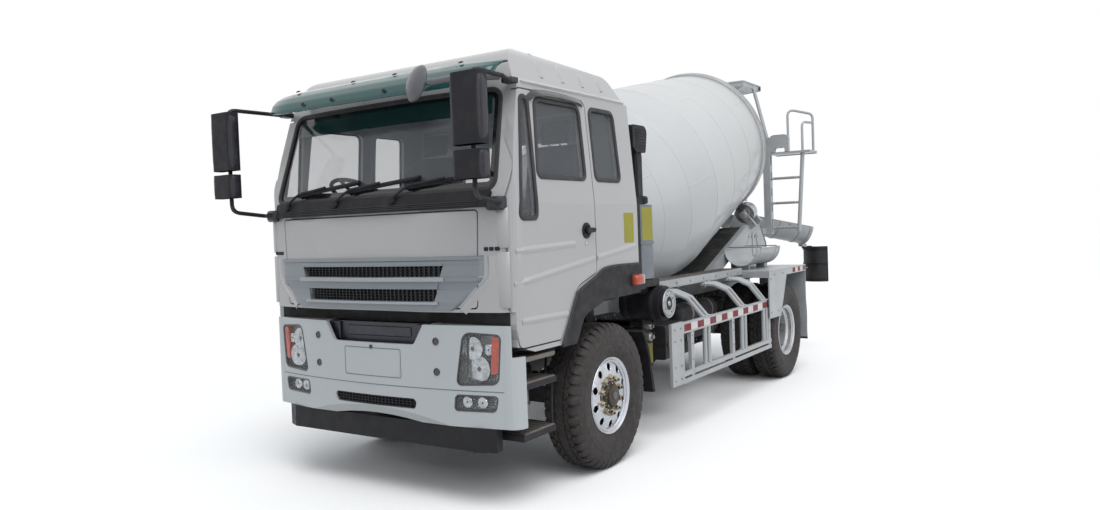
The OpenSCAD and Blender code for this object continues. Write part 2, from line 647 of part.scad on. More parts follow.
module rear_lamps() color(dark) {
    block([-1050, rail_rear + 30, 700], [1050, rail_rear + 80, 790]);
    both_sides() block([620, rail_rear + 80, 690], [1000, rail_rear + 110, 800]);
    both_sides() block([rail_outer - 60, rail_rear + fit_gap, 700], [rail_outer, rail_rear + 35, 860]);
}

module half_pipe(r, t, l) difference() {
    rotate([-90, 0, 0]) cylinder(r = r, h = l);
    translate([0, -1, 0]) rotate([-90, 0, 0]) cylinder(r = r - t, h = l + 2);
    translate([-r - 1, -1, 0]) cube([2 * r + 2, l + 2, r + 2]);
}

module spare_trough() color(steel_paint) {
    translate([pedestal_x + fit_gap + 190, 3560, 1480]) half_pipe(190, 5, 800);
    for (y = [3700, 4220]) block([780, y - 20, fender_top + fit_gap], [880, y + 20, 1293]);
}

module water_tank() color(steel_paint) {
    translate([-900, 3420, 1465]) rotate([-90, 0, 0]) cylinder(r = 210, h = 1100);
    for (y = [3620, 4320]) block([-1040, y - 30, fender_top + fit_gap], [-760, y + 30, 1320]);
}

// Cab
// Side view of the cab: rows of [y, z, corner radius]
cab_low_front = -1135;
cab_sill = 1000;
cab_base = 1475;                // underside behind the wheel arch
cab_nose = 1305;                // foremost line, ahead of the front axle
screen_foot = [-1262, 1985];    // the windscreen's plane passes through these two points
screen_head = [-1035, 2760];
cab_side = [[cab_low_front, cab_sill, 10], [-640, cab_sill, 20], [-430, 1330, 120], [0, cab_base, 200],
    [cab_rear, cab_base, 20], [cab_rear, 2740, 60], [cab_rear - 130, cab_roof - 60, 150],
    [-860, cab_roof, 160], [screen_head.x, screen_head.y, 80], [screen_foot.x, screen_foot.y, 60],
    [-cab_nose, 1270, 20], [cab_low_front, 1270, 8]];
// Front view of the cab's left half: rows of [x, z, corner radius]
cab_front = mirrored([[cab_half, 990, 0], [cab_half, 1950, 150], [cab_half - 65, 2730, 20],
    [cab_half - 105, 2770, 20], [965, cab_roof - 40, 120], [900, cab_roof + 6, 60]]);
function cab_plan(e) = outline(concat(
    [[cab_half - e, cab_rear + 50, 0], [-cab_half + e, cab_rear + 50, 0], [-cab_half + e, -1130, 110]],
    [for (x = [-1050 : 150 : 1051]) [x * (cab_half - e) / cab_half, bow(x, cab_nose) + e, 0]],
    [[cab_half - e, -1130, 110]]), 5);

screen_rake = atan2(screen_head.x - screen_foot.x, screen_head.y - screen_foot.y);
// Solid whose front is the bowed windscreen's surface, inset by e
module screen_cylinder(e) translate([0, screen_foot.x + screen_r / cos(screen_rake), screen_foot.y])
    rotate([-screen_rake, 0, 0]) cylinder(r = screen_r - e, h = 7000, center = true, $fn = 360);

module cab_solid(e) intersection() {
    along_x(-cab_half, cab_half) polygon(outline(inset(cab_side, e)));
    along_y(-1400, cab_rear + 100) polygon(outline(inset(cab_front, e)));
    along_z(900, 3100) polygon(cab_plan(e));
    screen_cylinder(e);
}

tunnel_x = 480;
tunnel_z = 1420;
// Outlines in the side view: rows of [y, z, corner radius]
door_line = [[-1115, door_sill, 30], [-655, door_sill, 30], [-425, 1382, 150], [-160, 1462, 40],
    [-160, 2690, 60], [-1005, 2690, 60], [-1160, 1990, 40], [-1160, 1300, 200]];
door_depth = cab_half - 110;     // how far in from the cab's side a door or side window reaches
door_window = [[-845, 2130, 40], [-250, 2130, 40], [-250, 2640, 60], [-800, 2640, 60]];
quarter_window = [[-1080, 1860, 30], [-900, 1860, 30], [-885, 2640, 40], [-960, 2640, 30]];
rear_window = [[-100, 2130, 40], [260, 2130, 40], [245, 2640, 50], [-100, 2640, 50]];
screen_line = mirrored([[1030, screen_bottom, 60], [975, screen_top, 80]]);
back_window = mirrored([[560, 2050, 60], [560, 2500, 60]]);

module cab_shell() color(paint) difference() {
    union() {
        cab_solid(0);
        both_sides() {
            rod_x(rail_outer - 20, tunnel_x + 5, tilt_pivot.x, tilt_pivot.y, tilt_pin_r);
            along_x(tunnel_x, tunnel_x + cab_wall) polygon(outline([
                [cab_low_front + 20, tilt_pivot.y - 38, 0], [cab_low_front + 20, tilt_pivot.y + 38, 0],
                [tilt_pivot.x - 38, tilt_pivot.y + 38, 37], [tilt_pivot.x - 38, tilt_pivot.y - 38, 37]]));
        }
    }
    difference() {
        cab_solid(cab_wall);
        block([-tunnel_x - cab_wall, -1400, 900], [tunnel_x + cab_wall, cab_rear, tunnel_z + cab_wall]);
    }
    difference() {
        block([-tunnel_x, -1270 + cab_wall, 900], [tunnel_x, cab_rear + 10, tunnel_z]);
        both_sides() rod_x(rail_outer - 20, tunnel_x + 5, tilt_pivot.x, tilt_pivot.y, tilt_pin_r);
    }
    both_sides() along_x(door_depth, cab_half + 10) polygon(outline(inset(door_line, -door_gap)));
    both_sides() along_x(door_depth, cab_half + 10) polygon(outline(rear_window));
    along_y(-1400, -900) polygon(outline(screen_line));
    along_y(-1400, -1150) polygon(outline(front_opening));
    along_y(cab_rear - 60, cab_rear + 60) polygon(outline(back_window));
}

module door(side) color(paint) mirror([side < 0 ? 1 : 0, 0, 0]) difference() {
    intersection() {
        cab_solid(0);
        along_x(door_depth, cab_half + 10) polygon(outline(door_line));
    }
    cab_solid(cab_wall);
    for (window = [door_window, quarter_window])
        along_x(door_depth, cab_half + 10) polygon(outline(window));
}
module door_left() door(1);
module door_right() door(-1);

module side_pane(window) intersection() {
    along_x(door_depth, cab_half + 10) polygon(outline(inset(window, 0.5)));
    difference() { cab_solid(15); cab_solid(15 + glass_t); }
}
module door_glass(side) color(glass) mirror([side < 0 ? 1 : 0, 0, 0])
    for (window = [door_window, quarter_window]) side_pane(window);
module door_glass_left() door_glass(1);
module door_glass_right() door_glass(-1);

module cab_glass() color(glass) {
    intersection() {
        along_y(-1400, -900) polygon(outline(inset(screen_line, 0.5)));
        difference() { screen_cylinder(10); screen_cylinder(10 + glass_t); }
    }
    both_sides() side_pane(rear_window);
    along_y(cab_rear - 25, cab_rear - 25 + glass_t) polygon(outline(inset(back_window, 0.5)));
}

front_opening = mirrored([[900, 1290, 30], [925, 1925, 30]]);
panel_top = 1915;
// The front panel and the grille below the windscreen
panel_line = mirrored([[890, 1300, 20], [915, panel_top, 20]]);
grille_frame = mirrored([[730, 1275, 60], [960, 1480, 60], [960, 1640, 30]]);
grille_slots = [[1340, 1420, 600], [1500, 1570, 660]];
module front_panel() color(paint) difference() {
    intersection() {
        difference() { cab_solid(0); cab_solid(25); }
        along_y(-1400, -1150) polygon(outline(panel_line));
    }
    for (slot = grille_slots) block([-slot[2], -1400, slot[0]], [slot[2], -1150, slot[1]]);
}
module grille() color(chassis_grey) difference() {
    intersection() {
        along_y(-1400, -1150) polygon(outline(inset(grille_frame, 8)));
        along_z(1200, 1700) difference() {
            polygon(cab_plan(-22));
            polygon(cab_plan(-fit_gap));
        }
    }
    for (slot = grille_slots) block([-slot[2], -1400, slot[0]], [slot[2], -1150, slot[1]]);
}

// How far ahead of the front axle the plastic cowl under the windscreen starts and ends
cowl_reach = [-1295, -1190];
module cowl() color(dark) intersection() {
    along_y(cowl_reach[0], cowl_reach[1])
        polygon(outline(mirrored([[1000, 1935, 20], [1020, screen_bottom - 8, 20]])));
    difference() { screen_cylinder(-20); screen_cylinder(-fit_gap); }
}

cab_floor = cab_base + cab_wall + fit_gap;
module cab_interior() color(dark) {
    for (x = [-620, 620]) {
        block([x - 250, -480, cab_floor], [x + 250, 60, tunnel_z + cab_wall + 220]);
        block([x - 250, 60, cab_floor], [x + 250, 180, 2250]);
    }
    intersection() {
        cab_solid(cab_wall + fit_gap);
        block([-1005, -1300, 1520], [1005, -850, 1950]);
    }
}

module sun_visor() color(teal) both_sides() {
    along_x(0, 1040) polygon([[-1330, 2690], [-1300, 2700], [-1080, 2870], [-1100, 2890]]);
    for (x = [180, 760]) difference() {
        block([x - 20, -1120, 2800], [x + 20, -950, 2850]);
        cab_solid(-fit_gap);
    }
}

mirror_c = [1140, -1530, 2500];
module mirrors() color(dark) both_sides() {
    for (z = [[2290, 2710], [2090, 2260]])
        along_z(z[0], z[1]) polygon(outline([[mirror_c.x - 120, -1500, 20], [mirror_c.x - 110, -1590, 40],
            [mirror_c.x + 110, -1590, 40], [mirror_c.x + 120, -1500, 20]]));
    difference() {
        tube_run([[1060, -1020, 2730], [1120, -1180, 2740], [mirror_c.x, mirror_c.y + 18, 2740],
            [mirror_c.x, mirror_c.y + 18, 1990], [1110, -1250, 1960], [1070, -1150, 1960]], 30);
        cab_solid(-fit_gap);
    }
}

// The black trim round the wheel arch: rows of [y, z, corner radius]
arch_outer = [[cab_rear, 1493, 0], [0, 1489, 200], [-443, 1341, 120], [-664, 985, 0]];
arch_inner = [[-480, 985, 0], [-360, 1170, 150], [-60, 1250, 200], [cab_rear, 1260, 0]];
module arch_trims() color(dark) both_sides() difference() {
    along_x(cab_half - 60, cab_half + 12) polygon(outline(concat(arch_outer, arch_inner)));
    cab_solid(-fit_gap);
}

// Steering knuckles and wheels
spindle_r = 35;
module knuckle(side) color(dark) mirror([side < 0 ? 1 : 0, 0, 0]) translate([king_pin_x, 0, axle_z]) {
    for (z = [-fork_reach, boss_half + fork_gap]) {
        translate([0, 0, z]) cylinder(r = boss_r, h = fork_t);
        translate([0, -beam_half, z]) cube([100, 2 * beam_half, fork_t]);
    }
    translate([0, 0, -fork_reach]) cylinder(r = king_pin_r, h = 2 * fork_reach);
    translate([62, -60, -fork_reach]) cube([24, 120, 2 * fork_reach]);
    rotate([0, 90, 0]) translate([0, 0, 60]) cylinder(r = spindle_r, h = king_pin_offset - 35);
    translate([20, 40, -fork_reach]) cube([30, 150, 30]);
}
module knuckle_left() knuckle(1);
module knuckle_right() knuckle(-1);

// Half of the tyre's section: rows of [radius, distance from the tyre's middle]
tyre_r = tyre_d / 2;
rim_r = rim_d / 2;
wall_x = tyre_w / 2;
tyre_half = [[rim_r - 18, 92], [rim_r + 20, 126], [tyre_r - 135, wall_x], [tyre_r - 65, wall_x - 4],
    [tyre_r - 14, wall_x - 22], [tyre_r, wall_x - 42], [tyre_r, 62], [tyre_r - 12, 56], [tyre_r - 12, 44],
    [tyre_r, 38]];
tyre_inside = [[tyre_r - 26, wall_x - 50], [tyre_r - 80, wall_x - 22], [rim_r + 30, 104], [rim_r - 18, 72]];
function flipped(p) = [for (i = [len(p) - 1 : -1 : 0]) [p[i][0], -p[i][1]]];
module tyre(x) color(rubber) revolve_x(x)
    polygon(concat(tyre_half, flipped(tyre_half), flipped(tyre_inside), tyre_inside));

rim_seat = rim_r - 18.3;
// Section of a rim's barrel: rows of [radius, distance outwards from its middle]
barrel = [[rim_r, 118], [rim_r, 110], [rim_seat, 92], [rim_seat, 60], [rim_seat - 30, 40],
    [rim_seat - 30, -40], [rim_seat, -60], [rim_seat, -92], [rim_r, -110], [rim_r, -118],
    [rim_seat - 12, -100], [rim_seat - 12, -62], [rim_seat - 42, -42],
    [rim_seat - 42, 42], [rim_seat - 12, 62], [rim_seat - 12, 100]];
// Section of the front wheel's disc, likewise
front_disc = [[rim_seat - 35, 0], [rim_seat - 35, 20], [165, 72], [140, 78], [100, 78], [100, 62],
    [140, 62], [165, 54]];
// Section of a twin wheel's disc, likewise
rear_disc = [[rim_seat - 35, 110], [rim_seat - 35, 128], [160, 14], [100, 14], [100, 0], [165, 0]];
module front_wheel(side) color(polished) mirror([side < 0 ? 1 : 0, 0, 0]) difference() {
    union() {
        revolve_x(front_track_half) polygon(barrel);
        revolve_x(front_track_half) polygon(front_disc);
        rod_x(front_track_half - 130, front_track_half + 100, 0, 0, 104);
        rod_x(front_track_half - 120, front_track_half - 40, 0, 0, 200);
        rod_x(front_track_half + 99, front_track_half + 138, 0, 0, 78);
    }
    rod_x(front_track_half - 140, front_track_half + 30, 0, 0, spindle_r + fit_gap);
    for (i = [0 : rim_holes - 1]) rotate([i * 360 / rim_holes, 0, 0])
        rod_x(front_track_half - 20, front_track_half + 90, 0, 196, 27);
}
module rear_wheel(side) color(polished) mirror([side < 0 ? 1 : 0, 0, 0]) difference() {
    union() {
        for (s = [-1, 1]) revolve_x(rear_track_half + s * twin_spacing / 2) polygon(barrel);
        for (s = [-1, 1]) revolve_x(rear_track_half) polygon([for (p = rear_disc) [p[0], s * p[1]]]);
        rod_x(rear_track_half - 230, rear_track_half + 60, 0, 0, 104);
        rod_x(rear_track_half - 235, rear_track_half - 60, 0, 0, 205);
        rod_x(rear_track_half + 59, rear_track_half + 110, 0, 0, 80);
    }
    rod_x(rear_track_half - 240, rear_track_half - 20, 0, 0, tube_r + fit_gap);
    for (i = [0 : rim_holes - 1]) rotate([i * 360 / rim_holes, 0, 0])
        rod_x(rear_track_half - 50, rear_track_half + 140, 0, 196, 27);
}
module on_axle(y) translate([0, y, axle_z]) children();
module wheel_front_left() on_axle(0) front_wheel(1);
module wheel_front_right() on_axle(0) front_wheel(-1);
module tyre_front_left() on_axle(0) tyre(front_track_half);
module tyre_front_right() on_axle(0) tyre(-front_track_half);
module wheel_rear_left() on_axle(wheelbase) rear_wheel(1);
module wheel_rear_right() on_axle(wheelbase) rear_wheel(-1);
module tyres_rear_left() on_axle(wheelbase) for (s = [-1, 1]) tyre(rear_track_half + s * twin_spacing / 2);
module tyres_rear_right() on_axle(wheelbase) for (s = [-1, 1]) tyre(-rear_track_half + s * twin_spacing / 2);

// Discharge chute; its trough's rim lies trough_z over the pin
trough_z = chute_w / 2 + 60;
module at_swivel() translate([0, swivel.y, swivel.z]) rotate([0, 0, -chute_parked]) children();
module at_chute() at_swivel() translate([0, 0, chute_pin_z]) rotate([-chute_slope, 0, 0]) children();

module chute_bracket() color(steel_paint) {
    translate([0, swivel.y, 1290]) cylinder(r = swivel_r, h = swivel.z - 1290);
    translate([0, swivel.y, 1400 + fit_gap]) cylinder(r = 75, h = 30);
    at_swivel() {
        translate([-110, -100, -30]) cube([220, 260, 30]);
        both_sides() difference() {
            translate([62, -50, -1]) cube([30, 100, chute_pin_z + 40]);
            rod_x(50, 110, 0, chute_pin_z, chute_pin_r + fit_gap);
        }
    }
}
module chute() color(steel_paint) at_chute() {
    difference() {
        translate([0, -60, trough_z]) half_pipe(chute_w / 2, 5, chute_l);
        block([-40, -50, 0], [40, 50, 61]);
    }
    block([-60, -45, -25], [60, 45, 62]);
    rod_x(-95, 95, 0, 0, chute_pin_r);
    for (y = [-60, chute_l - 100]) translate([0, y, trough_z]) half_pipe(chute_w / 2 + 8, 8.5, 40);
    both_sides() block([30, chute_l - 80, flap_pin.y - 16], [60, flap_pin.x + 16, 66]);
    rod_x(-60, 60, flap_pin.x, flap_pin.y, flap_pin_r);
}
// The hinged end piece of the chute hangs straight down when parked
flap_l = 480;
flap_r = chute_w / 2 - 20;
flap_pin = [chute_l - 38, 38];
flap_pin_r = 8;
module at_flap() at_chute() translate([0, flap_pin.x, flap_pin.y])
    rotate([chute_slope - 90, 0, 0]) children();
module chute_flap() color(dark) at_flap() {
    translate([0, 12, flap_r + 28]) half_pipe(flap_r, 6, flap_l);
    difference() {
        union() {
            rod_x(-25, 25, 0, 0, 16);
            block([-25, 0, -10], [25, 40, 32]);
        }
        rod_x(-30, 30, 0, 0, flap_pin_r + fit_gap);
    }
}

place() frame_rails();
place() front_axle();
place() rear_axle();
place() engine_block();
place() propshaft();
place() bumper();
place() underrun_bar();
place() headlamps();
place() steps();
place() front_mudguards();
place() air_filter();
place() intake_duct();
place() fuel_tank();
place() battery_box();
place() mixer_subframe();
place() front_pedestal();
place() drum_gearbox();
place() rear_pedestal();
place() rear_fenders();
place() side_guards();
place() hopper();
place() discharge_funnel();
place() ladder();
place() rear_lamps();
place() spare_trough();
place() water_tank();
place() roller_left();
place() roller_right();
place() drum_shell();
place() drum_blades();
place() cab_shell();
place() cab_interior();
place() cab_glass();
place() sun_visor();
place() mirrors();
place() cowl();
place() arch_trims();
place() door_left();
place() door_right();
place() door_glass_left();
place() door_glass_right();
place() front_panel();
place() grille();
place() knuckle_left();
place() knuckle_right();
place() wheel_front_left();
place() wheel_front_right();
place() tyre_front_left();
place() tyre_front_right();
place() wheel_rear_left();
place() wheel_rear_right();
place() tyres_rear_left();
place() tyres_rear_right();
place() chute_bracket();
place() chute();
place() chute_flap();
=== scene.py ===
"""Looks of the concrete mixer truck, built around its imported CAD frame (metres, +X left, -Y front, +Z up)."""
import json
import math

import bmesh
import bpy
from mathutils import Matrix, Vector
from mathutils.bvhtree import BVHTree


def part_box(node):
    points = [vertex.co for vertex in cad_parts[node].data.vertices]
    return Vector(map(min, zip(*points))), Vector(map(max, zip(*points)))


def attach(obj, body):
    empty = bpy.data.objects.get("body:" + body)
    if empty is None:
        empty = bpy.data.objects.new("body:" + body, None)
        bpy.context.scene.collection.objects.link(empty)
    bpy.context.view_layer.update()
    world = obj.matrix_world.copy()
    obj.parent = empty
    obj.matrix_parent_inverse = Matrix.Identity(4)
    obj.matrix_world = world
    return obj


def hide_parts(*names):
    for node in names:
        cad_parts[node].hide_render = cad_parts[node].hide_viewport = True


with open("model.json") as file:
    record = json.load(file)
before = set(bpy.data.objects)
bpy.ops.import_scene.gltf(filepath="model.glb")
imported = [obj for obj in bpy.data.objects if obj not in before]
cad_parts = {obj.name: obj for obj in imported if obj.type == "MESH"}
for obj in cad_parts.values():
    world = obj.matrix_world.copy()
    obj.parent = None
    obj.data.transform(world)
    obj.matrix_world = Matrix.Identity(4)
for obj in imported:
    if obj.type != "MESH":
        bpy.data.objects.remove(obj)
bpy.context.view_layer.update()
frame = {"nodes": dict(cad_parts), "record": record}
nodes = frame["nodes"]


def middle(node):
    low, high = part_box(node)
    return (low + high) / 2


FRONT_AXLE = middle("tyre_front_left")
REAR_AXLE = middle("tyres_rear_left")
OY = FRONT_AXLE.y


def at(x, y, z):
    """Point given with y counted from the front axle."""
    return Vector((x, y + OY, z))


AHEAD = Vector((0, -1, 0))
SIDES = ((1, "left"), (-1, "right"))
scene = bpy.context.scene

# Materials

def shader(name):
    mat = bpy.data.materials.new(name)
    mat.use_nodes = True
    tree = mat.node_tree
    return mat, tree, tree.nodes["Principled BSDF"]


def add_node(tree, kind, values=(), **settings):
    n = tree.nodes.new(kind)
    for key, value in settings.items():
        setattr(n, key, value)
    for key, value in dict(values).items():
        n.inputs[key].default_value = value
    return n


def noise(tree, coords, scale, detail=4.0, rough=0.55, low=0.35, high=0.65):
    """Noise texture with its contrast stretched; returns the output socket, 0 to 1."""
    n = add_node(tree, "ShaderNodeTexNoise", {"Scale": scale, "Detail": detail, "Roughness": rough})
    tree.links.new(coords, n.inputs["Vector"])
    m = add_node(tree, "ShaderNodeMapRange", {"From Min": low, "From Max": high})
    tree.links.new(n.outputs["Fac"], m.inputs["Value"])
    return m.outputs["Result"]


def multiply(tree, a, b):
    m = add_node(tree, "ShaderNodeMath", operation="MULTIPLY")
    for socket, value in zip(m.inputs, (a, b)):
        if isinstance(value, float):
            socket.default_value = value
        else:
            tree.links.new(value, socket)
    return m.outputs[0]


def blend_colour(tree, fac, a, b):
    m = add_node(tree, "ShaderNodeMix", data_type="RGBA")
    tree.links.new(fac, m.inputs[0])
    for socket, value in ((m.inputs[6], a), (m.inputs[7], b)):
        if isinstance(value, tuple):
            socket.default_value = (*value, 1)
        else:
            tree.links.new(value, socket)
    return m.outputs[2]


def surface(name, colour, rough=0.5, metal=0.0, coat=0.0, vary=0.12, vary_scale=3.0, grime=None, grime_share=0.3,
            dust=0.0, dust_top=1.3, bump=0.0, bump_scale=150.0, grain="noise", rough_vary=0.1, stretch=(1, 1, 1),
            alpha=1.0, ior=1.5, shine=0.5):
    """Procedural material: colour variation, grime in patches, road dust low down, uneven gloss and fine bump."""
    mat, tree, bsdf = shader(name)
    coords = add_node(tree, "ShaderNodeTexCoord").outputs["Object"]
    darker = tuple(c * (1 - 1.6 * vary) for c in colour)
    lighter = tuple(min(1, c * (1 + vary)) for c in colour)
    base = blend_colour(tree, noise(tree, coords, vary_scale, 6.0, 0.6), darker, lighter)
    if grime:
        patches = multiply(tree, noise(tree, coords, vary_scale * 2.3, 8.0, 0.7, 0.48, 0.75), grime_share)
        base = blend_colour(tree, patches, base, grime)
    if dust:
        split = add_node(tree, "ShaderNodeSeparateXYZ")
        tree.links.new(coords, split.inputs[0])
        low = add_node(tree, "ShaderNodeMapRange", {"From Min": 0.1, "From Max": dust_top, "To Min": 1.0, "To Max": 0.0})
        tree.links.new(split.outputs[2], low.inputs["Value"])
        patches = noise(tree, coords, 5.0, 8.0, 0.7, 0.25, 0.8)
        base = blend_colour(tree, multiply(tree, multiply(tree, low.outputs[0], patches), dust), base, ROAD_DUST)
    tree.links.new(base, bsdf.inputs["Base Color"])
    spread = add_node(tree, "ShaderNodeMapRange", {"To Min": max(SMOOTHEST, rough - rough_vary),
                                                   "To Max": min(1, rough + rough_vary)})
    tree.links.new(noise(tree, coords, vary_scale * 4, 5.0), spread.inputs["Value"])
    tree.links.new(spread.outputs[0], bsdf.inputs["Roughness"])
    if bump:
        scaled = coords
        if stretch != (1, 1, 1):
            mapping = add_node(tree, "ShaderNodeMapping")
            mapping.inputs["Scale"].default_value = stretch
            tree.links.new(coords, mapping.inputs["Vector"])
            scaled = mapping.outputs[0]
        if grain == "voronoi":
            n = add_node(tree, "ShaderNodeTexVoronoi", {"Scale": bump_scale})
            tree.links.new(scaled, n.inputs["Vector"])
            height = n.outputs["Distance"]
        else:
            height = noise(tree, scaled, bump_scale, 3.0, 0.5, 0.2, 0.8)
        b = add_node(tree, "ShaderNodeBump", {"Strength": bump, "Distance": 0.002})
        tree.links.new(height, b.inputs["Height"])
        tree.links.new(b.outputs[0], bsdf.inputs["Normal"])
    for socket, value in (("Metallic", metal), ("Coat Weight", coat), ("Coat Roughness", 0.08), ("Alpha", alpha),
                          ("IOR", ior), ("Specular IOR Level", shine)):
        bsdf.inputs[socket].default_value = value
    return mat


DIRT, ROAD_DUST = (0.30, 0.27, 0.23), (0.33, 0.29, 0.25)
SMOOTHEST = 0.02
PAINT = surface("cab_paint", (0.415, 0.417, 0.423), 0.36, coat=0.6, vary=0.015, vary_scale=1.2, grime=(0.37, 0.36, 0.345),
                grime_share=0.10, dust=0.18, dust_top=1.5, rough_vary=0.03)
BUMPER = surface("bumper_paint", (0.46, 0.495, 0.505), 0.36, coat=0.5, vary=0.015, vary_scale=1.2, grime=(0.38, 0.39, 0.39),
                 grime_share=0.08, dust=0.15, dust_top=0.8, rough_vary=0.03)
STEEL = surface("steel_paint", (0.42, 0.435, 0.45), 0.42, metal=0.1, coat=0.2, vary=0.06, grime=DIRT, grime_share=0.2,
                dust=0.18, bump=0.12, bump_scale=90)
DRUM = surface("drum_paint", (0.55, 0.56, 0.565), 0.42, coat=0.3, vary=0.03, vary_scale=0.8, grime=(0.44, 0.43, 0.415),
               grime_share=0.22, dust=0.10, dust_top=2.4, rough_vary=0.05, bump=0.03, bump_scale=6)
BLACK = surface("chassis_black", (0.020, 0.020, 0.023), 0.58, vary=0.2, grime=DIRT, grime_share=0.10, dust=0.12, bump=0.2,
                bump_scale=70, shine=0.35)
GREY = surface("chassis_grey", (0.085, 0.09, 0.095), 0.5, vary=0.2, grime=DIRT, grime_share=0.2, dust=0.2, bump=0.2,
               bump_scale=70)
PLASTIC = surface("black_plastic", (0.014, 0.014, 0.018), 0.52, vary=0.15, grime=(0.09, 0.085, 0.08), grime_share=0.2,
                  dust=0.06, bump=0.25, bump_scale=500, grain="voronoi", shine=0.22)
TEAL = surface("teal_plastic", (0.014, 0.085, 0.082), 0.14, coat=0.5, vary=0.08, bump=0.02, bump_scale=60)
GRILLE = surface("grille_plastic", (0.20, 0.225, 0.245), 0.38, metal=0.25, coat=0.4, vary=0.03, rough_vary=0.03)
INTERIOR = surface("interior", (0.34, 0.345, 0.36), 0.7, vary=0.15, bump=0.3, bump_scale=400, grain="voronoi")
GLASS = surface("window_glass", (0.23, 0.255, 0.28), 0.03, vary=0.05, rough_vary=0.01, alpha=0.20, ior=1.8)
CHROME = surface("rim_metal", (0.50, 0.52, 0.56), 0.30, metal=1.0, vary=0.12, grime=(0.30, 0.27, 0.24), grime_share=0.3,
                 bump=0.08, bump_scale=60, rough_vary=0.12)
TANK = surface("tank_metal", (0.44, 0.45, 0.46), 0.38, metal=0.8, vary=0.04, grime=DIRT, grime_share=0.10, bump=0.05,
               bump_scale=120, stretch=(1, 0.05, 1))
TYRE = surface("tyre", (0.030, 0.027, 0.026), 0.78, vary=0.25, grime=(0.085, 0.070, 0.060), grime_share=0.5, vary_scale=9,
               bump=0.35, bump_scale=220)
LAMP = surface("lamp", (0.60, 0.62, 0.63), 0.03, vary=0.02, rough_vary=0.01, alpha=0.10, ior=1.8)

finishes = {"cab_paint": PAINT, "bumper_paint": BUMPER, "steel_paint": STEEL, "drum_paint": DRUM,
            "chassis_black": BLACK, "chassis_grey": GREY, "black_plastic": PLASTIC, "teal_plastic": TEAL,
            "grille_plastic": GRILLE, "interior": INTERIOR, "lamp": LAMP, "window_glass": GLASS,
            "rim_metal": CHROME, "tank_metal": TANK, "tyre": TYRE}
for part in frame["record"]["subparts"]:
    mesh = nodes[part["node"]].data
    mesh.materials.clear()
    mesh.materials.append(finishes[part["material_slot"]])

# Mesh building

def rounded(table, n=5):
    """Outline from rows of (across, up, corner radius)."""
    out = []
    k = len(table)
    for i, (x, y, r) in enumerate(table):
        b = Vector((x, y))
        if r <= 0:
            out.append((x, y))
            continue
        u = (Vector(table[i - 1][:2]) - b).normalized()
        v = (Vector(table[(i + 1) % k][:2]) - b).normalized()
        half = math.acos(max(-1, min(1, u.dot(v)))) / 2
        centre = b + (u + v).normalized() * r / math.sin(half)
        s, e = b + u * r / math.tan(half) - centre, b + v * r / math.tan(half) - centre
        a0 = math.atan2(s.y, s.x)
        turn = (math.atan2(e.y, e.x) - a0 + math.pi) % (2 * math.pi) - math.pi
        out += [(centre.x + r * math.cos(a0 + turn * j / n), centre.y + r * math.sin(a0 + turn * j / n))
                for j in range(n + 1)]
    return out


def circle(n, r, start=0.0):
    """Places of n things spread round a circle, the first a share of a step past nought."""
    turns = [2 * math.pi * (i + start) / n for i in range(n)]
    return [(r * math.cos(a), r * math.sin(a)) for a in turns]


def strip(foot, deep, top, high):
    """Profile of a low strip: half width and depth of its foot, half width and height of its top."""
    return [(-foot, -deep), (-top, high), (top, high), (foot, -deep)]


def collar(r0, s0, r1, s1, s=0.0):
    """Profile of a raised ring round place s: radius and half width of its foot, then of its top."""
    return [(r0, s - s0), (r1, s - s1), (r1, s + s1), (r0, s + s0)]


def mirrored(table):
    """Rows followed by themselves in reverse with the first value negated."""
    return list(table) + [(-row[0], *row[1:]) for row in reversed(table)]


def resample(points, step=0.05):
    """Closed outline with no gap longer than step."""
    out = []
    for i, p in enumerate(points):
        q = points[(i + 1) % len(points)]
        n = max(1, math.ceil(math.dist(p, q) / step))
        out += [tuple(a + (b - a) * j / n for a, b in zip(p, q)) for j in range(n)]
    return out


def directions(points, closed):
    k = len(points)
    out = []
    for i in range(k):
        a = points[(i - 1) % k if closed else max(i - 1, 0)]
        b = points[(i + 1) % k if closed else min(i + 1, k - 1)]
        out.append((b - a).normalized())
    return out


def curve_through(points, steps=8):
    """Smooth line through points, each span in the given number of steps."""
    p = [Vector(q) for q in points]
    p = [2 * p[0] - p[1]] + p + [2 * p[-1] - p[-2]]
    out = []
    for i in range(1, len(p) - 2):
        for j in range(steps):
            t = j / steps
            out.append(0.5 * (2 * p[i] + (p[i + 1] - p[i - 1]) * t
                              + (2 * p[i - 1] - 5 * p[i] + 4 * p[i + 1] - p[i + 2]) * t * t
                              + (3 * p[i] - p[i - 1] - 3 * p[i + 1] + p[i + 2]) * t ** 3))
    return out + [p[-2]]


def bent(points, r=0.06, n=4):
    """Line through points with corners rounded to radius r."""
    p = [Vector(q) for q in points]
    out = [p[0]]
    for a, b, c in zip(p, p[1:], p[2:]):
        u, v = (a - b).normalized(), (c - b).normalized()
        half = math.acos(max(-1, min(1, u.dot(v)))) / 2
        if half > 1.55:
            out.append(b)
            continue
        reach = min(r / math.tan(half), 0.45 * (a - b).length, 0.45 * (c - b).length)
        for j in range(n + 1):
            t = j / n
            out.append(b + u * reach * (1 - t) ** 2 + v * reach * t * t)
    return out + [p[-1]]


BEVEL_STEPS = 2


